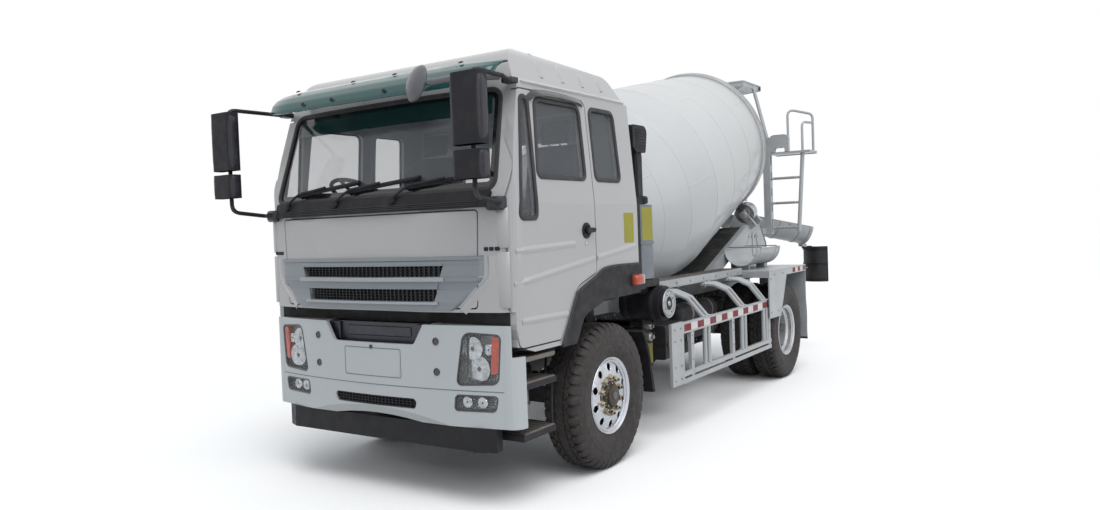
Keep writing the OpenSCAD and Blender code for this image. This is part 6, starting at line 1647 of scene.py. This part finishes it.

# Hopper: rolled rim, pressed ribs, a dark lip on one corner and bolts on its stays
p = Piece("hopper_rim", "chassis", "steel_paint")
rim = [at(x, y, z) for x, y, z in ((0.450, 4.850, 3.556), (-0.450, 4.850, 3.556), (-0.450, 5.480, 3.556), (0.450, 5.480, 3.556))]
rim_path, rim_sides = [], []
for i, q in enumerate(rim):
    a, b = rim[i - 1], rim[(i + 1) % 4]
    for t in (0.0, 0.5, 1.0):
        rim_path.append(q + (a - q).normalized() * 0.02 * (1 - t) ** 2 + (b - q).normalized() * 0.02 * t * t)
        rim_sides.append(Z)
p.tube(rim_path, 0.0115, 8, closed=True)
for x in (-0.28, 0.0, 0.28):
    p.loft([[at(x + d_, y, z) for y, z in ((4.8475, 3.540), (4.8435, 3.535), (4.8435, 3.512), (4.8475, 3.505))] for d_ in (-0.01, 0.01)])
for s in (-1, 1):
    # Seams along the hopper's slanting corners
    for y0, y1 in ((4.852, 5.107), (5.478, 5.378)):
        p.tube([at(s * 0.449, y0, 3.500), at(s * 0.2155, y1, 3.466)], 0.005, 6)
    p.tube([at(s * 0.2155, 5.107, 3.465), at(s * 0.1905, 5.107, 3.262)], 0.0045, 6)
    p.tube([at(s * 0.2155, 5.378, 3.465), at(s * 0.1905, 5.358, 3.262)], 0.0045, 6)
    for y in (5.175, 5.215):
        p.bolt(at(s * 0.640, y, 2.840), Z, 0.010, 0.010, BOLT)
    p.lathe([(0.0235, -0.03), (0.027, -0.025), (0.027, 0.0), (0.0235, 0.005)], at(s * 0.452, 5.227, 3.478), Vector((s * 0.184, -0.035, -0.71)), 16, closed=True)
p.done(angle=35)
p = Piece("hopper_lip", "chassis", "black_plastic")
p.prism(rounded([(0.330, 3.503, 0.004), (0.4505, 3.503, 0.004), (0.4505, 3.556, 0.004), (0.385, 3.556, 0.02)]), XZ, 5.478, 5.484)
p.prism(rounded([(5.380, 3.503, 0.004), (5.482, 3.503, 0.004), (5.482, 3.556, 0.004), (5.430, 3.556, 0.02)]), YZ, 0.449, 0.4545)
p.done(bevel=0.001, angle=35)
p = Piece("hopper_lining", "chassis", "steel_paint", CONCRETE)
p.grid([[at(x, y, z) for x, y, z in ((w, f, h), (-w, f, h), (-w, r, h), (w, r, h))] for w, f, r, h in
        ((0.442, 4.858, 5.472, 3.535), (0.442, 4.858, 5.472, 3.503), (0.2075, 5.1125, 5.3725, 3.468), (0.183, 5.1125, 5.3525, 3.266))], close_u=True)
p.done(angle=30)

# Funnel: flanges, ribs and the clamp of its rubber end
p = Piece("funnel_edges", "chassis", "steel_paint")
def funnel_ring(z, e):
    t = (2.490 - z) / 0.43
    w, f, r = 0.440 + (0.190 - 0.440) * t, 5.245 + (5.280 - 5.245) * t, 5.640 + (5.520 - 5.640) * t
    return [at(x, y, z) for x, y in ((w + e, f - e), (-w - e, f - e), (-w - e, r + e), (w + e, r + e))]


for z0, z1, e in ((2.476, 2.490, 0.010), (2.060, 2.078, 0.010), (2.255, 2.263, 0.009)):
    p.grid([funnel_ring(z, k) for z, k in ((z0, -0.002), (z0, e), (z1, e), (z1, -0.002))], close_u=True)
for x in (-0.22, 0.0, 0.22):
    a, b = Vector((x, 5.642, 2.470)), Vector((x * 0.5, 5.527, 2.085))
    p.loft([[at(q.x + d_, q.y + o, q.z) for q, o in ((a, 0.0), (b, 0.0), (b, 0.010), (a, 0.010))] for d_ in (-0.004, 0.004)])
back_line = rounded([(-0.440, 2.488, 0), (0.440, 2.488, 0), (0.300, 2.800, 0.06), (-0.300, 2.800, 0.06)], 5)
path = [at(x, 5.637, z) for x, z in back_line]
centre_ = at(0, 5.637, 2.63)
p.sweep(path, [(q - centre_).normalized() for q in path], [(-0.007, -0.004), (-0.007, 0.004), (0.007, 0.004), (0.007, -0.004)], closed=True)
for x in (-0.38, 0.38):
    p.bolt(at(x, 5.640, 2.515), Y, 0.011, 0.008, BOLT)
for s in (-1, 1):
    for y in (5.22, 5.28):
        p.bolt(at(s * 0.51, y, 2.491), Z, 0.011, 0.009, BOLT)
p.done(bevel=0.001, angle=35)

# Chute in its parked pose: rims, ribs, pivot details and a lifting strut
IN_SWIVEL = Matrix.Translation(at(0, 5.330, 1.560)) @ Matrix.Rotation(math.radians(-45), 4, "Z")
IN_CHUTE = IN_SWIVEL @ Matrix.Translation((0, 0, 0.060)) @ Matrix.Rotation(math.radians(-12), 4, "X")
IN_FLAP = IN_CHUTE @ Matrix.Translation((0, 1.112, 0.038)) @ Matrix.Rotation(math.radians(12 - 90), 4, "X")


def trough(z, rows, n=40):
    """Half round sheet with its middle at height z, from rows of (radius, place along)."""
    turns = [math.pi * (1 + i / n) for i in range(n + 1)]
    return [[Vector((r * math.cos(a), y, z + r * math.sin(a))) for a in turns] for r, y in rows]


def edge_bands(p, m, r, z, y0, y1, bands):
    for s in (-1, 1):
        p.tube([m @ Vector((s * (r - 0.003), y0 + 0.006, z)), m @ Vector((s * (r - 0.003), y1 - 0.006, z))], 0.008, 8)
    for y in bands:
        p.grid([[m @ q for q in row] for row in trough(z, collar(r - 0.001, 0.016, r + 0.007, 0.014, y))])


p = Piece("chute_edges", "chute", "steel_paint")
edge_bands(p, IN_CHUTE, 0.230, 0.290, -0.06, 1.09, (0.28, 0.62, 0.92))
for s in (-1, 1):
    # Grips on the chute's rim
    p.tube(bent([IN_CHUTE @ Vector((s * 0.228, 0.74, 0.27)), IN_CHUTE @ Vector((s * 0.262, 0.74, 0.262)), IN_CHUTE @ Vector((s * 0.262, 0.88, 0.262)),
                 IN_CHUTE @ Vector((s * 0.228, 0.88, 0.27))], 0.015), 0.007, 8, BOLT)
    for y in (-0.04, 1.07):
        p.bolt(IN_CHUTE @ Vector((s * 0.239, y, 0.25)), IN_CHUTE.to_3x3() @ X * s, 0.010, 0.007, BOLT)
    p.lathe([(0.015, 0.093), (0.024, 0.0945), (0.024, 0.100), (0.010, 0.104), (0.001, 0.105)], IN_CHUTE @ Vector(), IN_CHUTE.to_3x3() @ X * s, 20, BOLT)
    p.prism([(0.05, 0.058), (0.34, 0.058), (0.05, 0.012)], lambda u, v, w: IN_CHUTE @ Vector((w, u, v)), s * 0.040, s * 0.050)
p.done(bevel=0.001, angle=35)
p = Piece("chute_lining", "chute", "steel_paint", CONCRETE)
lining = trough(0.290, [(0.2245, -0.055 + 1.14 * i / 12) for i in range(13)])
p.grid([[IN_CHUTE @ q for q in row] for row in lining])
p.done(angle=60)
p = Piece("chute_flap_edges", "chute_flap", "black_plastic")
edge_bands(p, IN_FLAP, 0.210, 0.238, 0.012, 0.492, (0.05, 0.25, 0.46))
p.tube(bent([IN_FLAP @ Vector((0.05, 0.30, 0.030)), IN_FLAP @ Vector((0.05, 0.30, -0.005)), IN_FLAP @ Vector((-0.05, 0.30, -0.005)), IN_FLAP @ Vector((-0.05, 0.30, 0.030))], 0.015), 0.007, 8, BOLT)
p.done(angle=35)
p = Piece("chute_bracket_details", "chute_bracket", "steel_paint")
for s in (-1, 1):
    p.lathe([(0.024, 0.0915), (0.034, 0.0925), (0.034, 0.098), (0.024, 0.099)], IN_SWIVEL @ Vector((0, 0, 0.060)), IN_SWIVEL.to_3x3() @ X * s, 24, closed=True)
    p.prism([(-0.045, 0.0), (-0.095, 0.0), (-0.045, 0.075)], lambda u, v, w: IN_SWIVEL @ Vector((w, u, v)), s * 0.070, s * 0.082)
    p.prism([(0.045, 0.0), (0.150, 0.0), (0.045, 0.030)], lambda u, v, w: IN_SWIVEL @ Vector((w, u, v)), s * 0.076, s * 0.088)
    for y in (-0.075, 0.135):
        p.bolt(IN_SWIVEL @ Vector((s * 0.09, y, 0)), Z, 0.010, 0.008, BOLT)
p.lathe([(0.0745, 1.402), (0.078, 1.405), (0.078, 1.425), (0.0745, 1.429)], at(0, 5.33, 0), Z, 36, BOLT, closed=True)
for z in (1.46, 1.50):
    p.lathe([(0.0395, z - 0.006), (0.044, z - 0.004), (0.044, z + 0.004), (0.0395, z + 0.006)], at(0, 5.33, 0), Z, 28, closed=True)
p.done(bevel=0.001, angle=35)

# Ladder and platform: bars of the tread, ends of the rungs, tower seams and bolts
p = Piece("platform_bars", "chassis", "steel_paint")
for i in range(13):
    y = 5.165 + 0.0225 * i
    p.prism([(y, 2.6465), (y + 0.006, 2.6465), (y + 0.006, 2.654), (y, 2.654)], YZ, 0.665, 1.165)
for x in (0.655, 0.78, 0.91, 1.04, 1.163):
    p.prism([(x, 5.152), (x + 0.006, 5.152), (x + 0.006, 5.448), (x, 5.448)], XY, 2.6465, 2.6525)
p.prism(rounded([(0.652, 2.618, 0.003), (1.1735, 2.618, 0.003), (1.1735, 2.655, 0.003), (0.652, 2.655, 0.003)]), XZ, 5.448, 5.4545)
p.prism([(0.72, 2.70), (0.83, 2.70), (0.83, 2.706), (0.72, 2.706)], XZ, 5.160, 5.170)
arch = rounded([(0.655, 2.64, 0), (0.900, 2.64, 0), (0.900, 2.870, 0.06), (0.655, 2.870, 0.06)], 5)
path = [at(x, 5.195, z) for x, z in arch if z > 2.65]
p.sweep(path, [(q - at(0.777, 5.195, 2.70)).normalized() for q in path], [(-0.034, -0.003), (-0.034, 0.003), (0.034, 0.003), (0.034, -0.003)])
for x, y in ((0.875, 5.245), (1.140, 5.420), (1.070, 5.195), (1.136, 5.400)):
    p.lathe([(0.017, 2.646), (0.030, 2.647), (0.030, 2.652), (0.019, 2.656)], at(x, y, 0), Z, 16)
for x0, z in ((0.975, 1.690), (0.995, 2.005), (1.015, 2.320)):
    p.lathe([(0.0165, -0.012), (0.0195, -0.008), (0.0195, 0.008), (0.0165, 0.012)], at(0.672, 5.195, z), X, 16, closed=True)
    for i in range(9):
        p.lathe([(0.0158, -0.004), (0.0178, -0.002), (0.0178, 0.002), (0.0158, 0.004)], at(0.72 + 0.028 * i, 5.195, z), X, 12, TREADS, closed=True)
p.done(angle=35)
p = Piece("tower_details", "chassis", "steel_paint")


def towers(p):
    for z in (1.65, 1.72, 2.40, 2.52, 2.74):
        p.bolt(at(0.660, 5.175, z), X, 0.010, 0.007, BOLT)
        p.bolt(at(0.615, 5.240, z), Y, 0.010, 0.007, BOLT)
    for z0 in (1.612, 2.802):
        p.prism(rounded([(0.566, 5.146, 0.006), (0.664, 5.146, 0.006), (0.664, 5.244, 0.006), (0.566, 5.244, 0.006)]), XY, z0 - 0.002, z0 + 0.008)
    for z in (1.70, 1.90, 2.10, 2.30, 2.50, 2.70):
        p.prism([(z, 5.180), (z + 0.0, 5.180), (z + 0.10, 5.180), (z + 0.10, 5.210), (z, 5.210)], lambda u, v, w: at(w, v, u), 0.6595, 0.6615, GREY)
    p.box(at(0.530, 5.236, 1.605), at(0.592, 5.2435, 1.695))
    for y in (4.74, 4.86):
        for z in (1.63, 1.67):
            p.bolt(at(0.530, y, z), -X, 0.010, 0.008, BOLT)


p.both(towers)
p.done(bevel=0.0015, angle=35)

# Water tank: pressed ends, straps, filler, gauge and tap; spare trough: rolled edges and straps
p = Piece("water_tank_details", "chassis", "steel_paint")
wt = at(-0.900, 0, 1.465)
for y, d_ in ((3.420, -1), (4.520, 1)):
    p.lathe([(0.2095, -0.010), (0.2135, -0.008), (0.2135, 0.004), (0.2060, 0.010), (0.186, 0.016), (0.120, 0.026), (0.001, 0.031)], wt + Y * y, Y * d_, 48)
for y in (3.620, 4.320):
    p.lathe([(0.2090, -0.022), (0.2145, -0.021), (0.2145, 0.021), (0.2090, 0.022)], wt + Y * y, Y, 48, BOLT, closed=True)
p.lathe([(0.060, 0.205), (0.064, 0.215), (0.064, 0.240), (0.070, 0.243), (0.070, 0.256), (0.055, 0.262), (0.001, 0.264)], wt + Y * 3.97, Z, 28)
p.tube([wt + Vector((-0.222, 3.50, -0.13)), wt + Vector((-0.222, 3.50, 0.13))], 0.008, 8, LENS_CLEAR)
for z in (-0.14, 0.14):
    p.tube([wt + Vector((-0.15, 3.50, z)), wt + Vector((-0.226, 3.50, z))], 0.012, 8, BOLT)
p.tube(bent([wt + Vector((0, 3.405, -0.12)), wt + Vector((0, 3.36, -0.12)), wt + Vector((0, 3.36, -0.24)), wt + Vector((0.22, 3.36, -0.24))], 0.03), 0.014, 10, PLASTIC)
p.done(angle=35)
p = Piece("spare_trough_details", "chassis", "steel_paint")
st = at(0.8303, 0, 1.480)
for s in (-1, 1):
    p.tube([st + Vector((s * 0.187, 3.566, 0)), st + Vector((s * 0.187, 4.354, 0))], 0.008, 8)
for y in (3.590, 3.700, 4.220, 4.330):
    p.grid([[st + q for q in row] for row in trough(0, collar(0.189, 0.018, 0.196, 0.016, y))])
for y in (3.700, 4.220):
    p.tube(bent([st + Vector((-0.196, y, -0.01)), st + Vector((-0.196, y, 0.014)), st + Vector((0.196, y, 0.014)), st + Vector((0.196, y, -0.01))], 0.01), 0.006, 8, BOLT)
p.done(angle=35)

# Rear lamps: housings with red, amber and clear fields, reflectors, and a blank plate
p = Piece("rear_lamp_fields", "chassis", "chassis_black")


def lamp_fields(p):
    p.prism(rounded([(0.616, 0.686, 0.012), (1.004, 0.686, 0.012), (1.004, 0.804, 0.012), (0.616, 0.804, 0.012)]), XZ, 5.064, 5.0735)
    for x0, x1, mat in ((0.628, 0.705, LENS_CLEAR), (0.709, 0.795, LENS_RED), (0.799, 0.890, LENS_RED), (0.894, 0.992, ORANGE)):
        p.prism(rounded([(x0, 0.697, 0.006), (x1, 0.697, 0.006), (x1, 0.793, 0.006), (x0, 0.793, 0.006)]), XZ, 5.073, 5.0795, mat)
        for i in range(5):
            z = 0.708 + 0.0165 * i
            p.prism([(x0 + 0.006, z), (x1 - 0.006, z), (x1 - 0.006, z + 0.004), (x0 + 0.006, z + 0.004)], XZ, 5.079, 5.0812, mat)
    p.lathe([(0.030, 0), (0.033, 0.004), (0.028, 0.010), (0.001, 0.012)], at(0.54, 5.04, 0.745), Y, 24, LENS_RED)
    p.bolt(at(1.03, 5.04, 0.745), Y, 0.011, 0.008, BOLT)
    p.bolt(at(0.40, 5.04, 0.745), Y, 0.011, 0.008, BOLT)


p.both(lamp_fields)
p.prism(rounded([(-0.26, 0.690, 0.012), (0.26, 0.690, 0.012), (0.26, 0.800, 0.012), (-0.26, 0.800, 0.012)]), XZ, 5.040, 5.0455, WHITE)
for x in (-0.20, 0.20):
    p.lathe([(0.010, 0), (0.010, 0.004), (0.001, 0.005)], at(x, 5.0455, 0.785), Y, 12, BOLT)
p.lathe([(0.014, 0), (0.014, 0.03), (0.030, 0.034), (0.030, 0.06), (0.001, 0.062)], at(0, 5.000, 0.795), Z, 16)
p.done(bevel=0.001, angle=35)

# Frame end: coupling plate and hooks
p = Piece("frame_end_details", "chassis", "chassis_grey")
p.prism(rounded([(-0.14, 0.790, 0.02), (0.14, 0.790, 0.02), (0.14, 0.960, 0.02), (-0.14, 0.960, 0.02)]), XZ, 4.9595, 4.970)
for x in (-0.11, 0.11):
    for z in (0.82, 0.93):
        p.bolt(at(x, 4.970, z), Y, 0.013, 0.010, BOLT)
p.tube(bent([at(-0.05, 4.97, 0.87), at(-0.05, 5.025, 0.87), at(0.05, 5.025, 0.87), at(0.05, 4.97, 0.87)], 0.03), 0.013, 10, BOLT)
p.done(bevel=0.002, angle=35)

# Engine, told by its covers, pulleys and pipes; underside only
p = Piece("engine_details", "chassis", "chassis_grey")
for i in range(6):
    y = -0.86 + 0.225 * i
    p.prism(rounded([(y, -0.16, 0.03), (y + 0.20, -0.16, 0.03), (y + 0.20, 0.10, 0.03), (y, 0.10, 0.03)]), lambda u, v, w: at(v, u, w), 1.325, 1.352)
    p.bolt(at(-0.03, y + 0.10, 1.352), Z, 0.013, 0.010, BOLT)


def engine_sides(p):
    for i in range(7):
        y = -0.80 + 0.19 * i
        p.prism([(y, 0.72), (y + 0.04, 0.72), (y + 0.04, 1.18), (y, 1.18)], YZ, 0.322, 0.334)
    for y in (-0.84, -0.60, -0.36, -0.12, 0.12, 0.36, 0.50):
        p.bolt(at(0.325, y, 0.64), X, 0.012, 0.010, BOLT)


p.both(engine_sides)
for x, z, r in ((0.0, 0.80, 0.11), (0.16, 1.06, 0.06), (-0.17, 1.02, 0.07)):
    p.lathe([(0.03, 0.0), (r, 0.004), (r, 0.012), (r - 0.012, 0.020), (r, 0.028), (r, 0.036), (0.03, 0.040), (0.001, 0.041)], at(x, -0.96, z), -Y, 32)
p.prism(rounded([(-0.24, 0.585, 0.04), (0.24, 0.585, 0.04), (0.24, 0.606, 0), (-0.24, 0.606, 0)]), XZ, -0.85, 0.45)
for i in range(10):
    p.bolt(at(0.0, -0.80 + 0.14 * i, 0.585), -Z, 0.011, 0.008, BOLT)
p.done(bevel=0.002, angle=35)

# Dark sheet between the rear pedestal's plates, over their slanted edge and clear of the drum; its dark is painted
# shade under the drum
p = Piece("under_drum_shade_sheet", "chassis", "chassis_black", FLAP)
rows = []
for i in range(13):
    y = 2.965 + 1.33 * i / 12
    z = 1.192 + (y - 2.95) * 0.540 / 1.370
    rows.append([at(x, y, z + d_) for x, d_ in ((-0.588, 0.0), (-0.2, -0.012), (0.2, -0.012), (0.588, 0.0), (0.588, -0.004), (0.2, -0.016), (-0.2, -0.016), (-0.588, -0.004))])
p.loft(rows)
p.done(angle=35)

# Camera, lights and floor

SENSOR, PHOTO_WIDTH, FOCAL_PX = 36, 1100, 366 * 2.28
yaw, pitch, roll = (math.radians(a) for a in (33.5, -1.8, -2.1))
ahead = Vector((-math.sin(yaw) * math.cos(pitch), math.cos(yaw) * math.cos(pitch), math.sin(pitch)))
right = Vector((math.cos(yaw), math.sin(yaw), 0))
up = right.cross(ahead)
right, up = (math.cos(roll) * right + math.sin(roll) * up, -math.sin(roll) * right + math.cos(roll) * up)
data = bpy.data.cameras.new("camera")
data.sensor_width = SENSOR
data.lens = FOCAL_PX / PHOTO_WIDTH * SENSOR
camera = bpy.data.objects.new("camera", data)
camera.matrix_world = Matrix((right, up, -ahead)).transposed().to_4x4()
camera.location = at(4.191, -5.356, 1.784)
scene.collection.objects.link(camera)
bpy.context.scene.camera = camera
bpy.context.scene.view_settings.view_transform = "Standard"


def area_light(name, place, target, size, power, colour=(1, 1, 1)):
    lamp = bpy.data.lights.new(name, "AREA")
    lamp.shape = "RECTANGLE"
    lamp.size, lamp.size_y = size
    lamp.energy = power
    lamp.color = colour
    o = bpy.data.objects.new(name, lamp)
    o.location = place
    o.rotation_euler = (Vector(target) - Vector(place)).to_track_quat("-Z", "Y").to_euler()
    scene.collection.objects.link(o)


sun = bpy.data.lights.new("sun", "SUN")
sun.energy, sun.angle = 1.5, math.radians(40)
o = bpy.data.objects.new("sun", sun)
o.rotation_euler = Vector((-0.35, 0.30, -1.0)).to_track_quat("-Z", "Y").to_euler()
scene.collection.objects.link(o)
area_light("key", (7, -9, 7), (0, -1, 1.4), (6, 6), 210)
area_light("side", (10, 2, 5), (0, 0, 1.4), (6, 8), 120)

world = bpy.data.worlds.new("studio")
bpy.context.scene.world = world
world.use_nodes = True
tree = world.node_tree
ground = add_node(tree, "ShaderNodeTexCoord")
split = add_node(tree, "ShaderNodeSeparateXYZ")
tree.links.new(ground.outputs["Generated"], split.inputs[0])
ramp = add_node(tree, "ShaderNodeValToRGB")
# Sky as the paint reflects it: pale below, a darker band at the horizon and bright overhead
stops = ((0.0, (0.62, 0.62, 0.62)), (0.47, (0.40, 0.41, 0.42)), (0.53, (0.46, 0.49, 0.52)), (0.70, (0.80, 0.85, 0.90)), (1.0, (0.98, 1.0, 1.02)))
scale = add_node(tree, "ShaderNodeMapRange", {"From Min": -1.0, "From Max": 1.0})
tree.links.new(split.outputs[2], scale.inputs["Value"])
tree.links.new(scale.outputs[0], ramp.inputs[0])
ramp.color_ramp.elements[0].position, ramp.color_ramp.elements[0].color = stops[0][0], (*stops[0][1], 1)
ramp.color_ramp.elements[1].position, ramp.color_ramp.elements[1].color = stops[-1][0], (*stops[-1][1], 1)
for place, colour in stops[1:-1]:
    ramp.color_ramp.elements.new(place).color = (*colour, 1)
tree.links.new(ramp.outputs[0], tree.nodes["Background"].inputs["Color"])
tree.nodes["Background"].inputs["Strength"].default_value = 0.68
white = add_node(tree, "ShaderNodeBackground", {"Color": (1, 1, 1, 1), "Strength": 1.0})


def seen(tree):
    """1 for rays that see the background (camera, mirror and glass rays), 0 for those that carry its light."""
    path = add_node(tree, "ShaderNodeLightPath")
    total = path.outputs["Is Camera Ray"]
    for name in ("Is Glossy Ray", "Is Transmission Ray"):
        larger = add_node(tree, "ShaderNodeMath", operation="MAXIMUM")
        tree.links.new(total, larger.inputs[0])
        tree.links.new(path.outputs[name], larger.inputs[1])
        total = larger.outputs[0]
    return total


mix = add_node(tree, "ShaderNodeMixShader")
tree.links.new(seen(tree), mix.inputs[0])
tree.links.new(tree.nodes["Background"].outputs[0], mix.inputs[1])
tree.links.new(white.outputs[0], mix.inputs[2])
tree.links.new(mix.outputs[0], tree.nodes["World Output"].inputs[0])

FLOOR_HALF = 60
mesh = bpy.data.meshes.new("floor")
mesh.from_pydata([(x * FLOOR_HALF, y * FLOOR_HALF, 0) for x, y in ((-1, -1), (1, -1), (1, 1), (-1, 1))], [], [(0, 1, 2, 3)])
floor = bpy.data.objects.new("floor", mesh)
scene.collection.objects.link(floor)
mat, tree, bsdf = shader("floor")
tree.links.new(blend_colour(tree, seen(tree), (0.42, 0.42, 0.42), (0.97, 0.97, 0.97)), bsdf.inputs["Base Color"])
bsdf.inputs["Roughness"].default_value = 0.9
mesh.materials.append(mat)
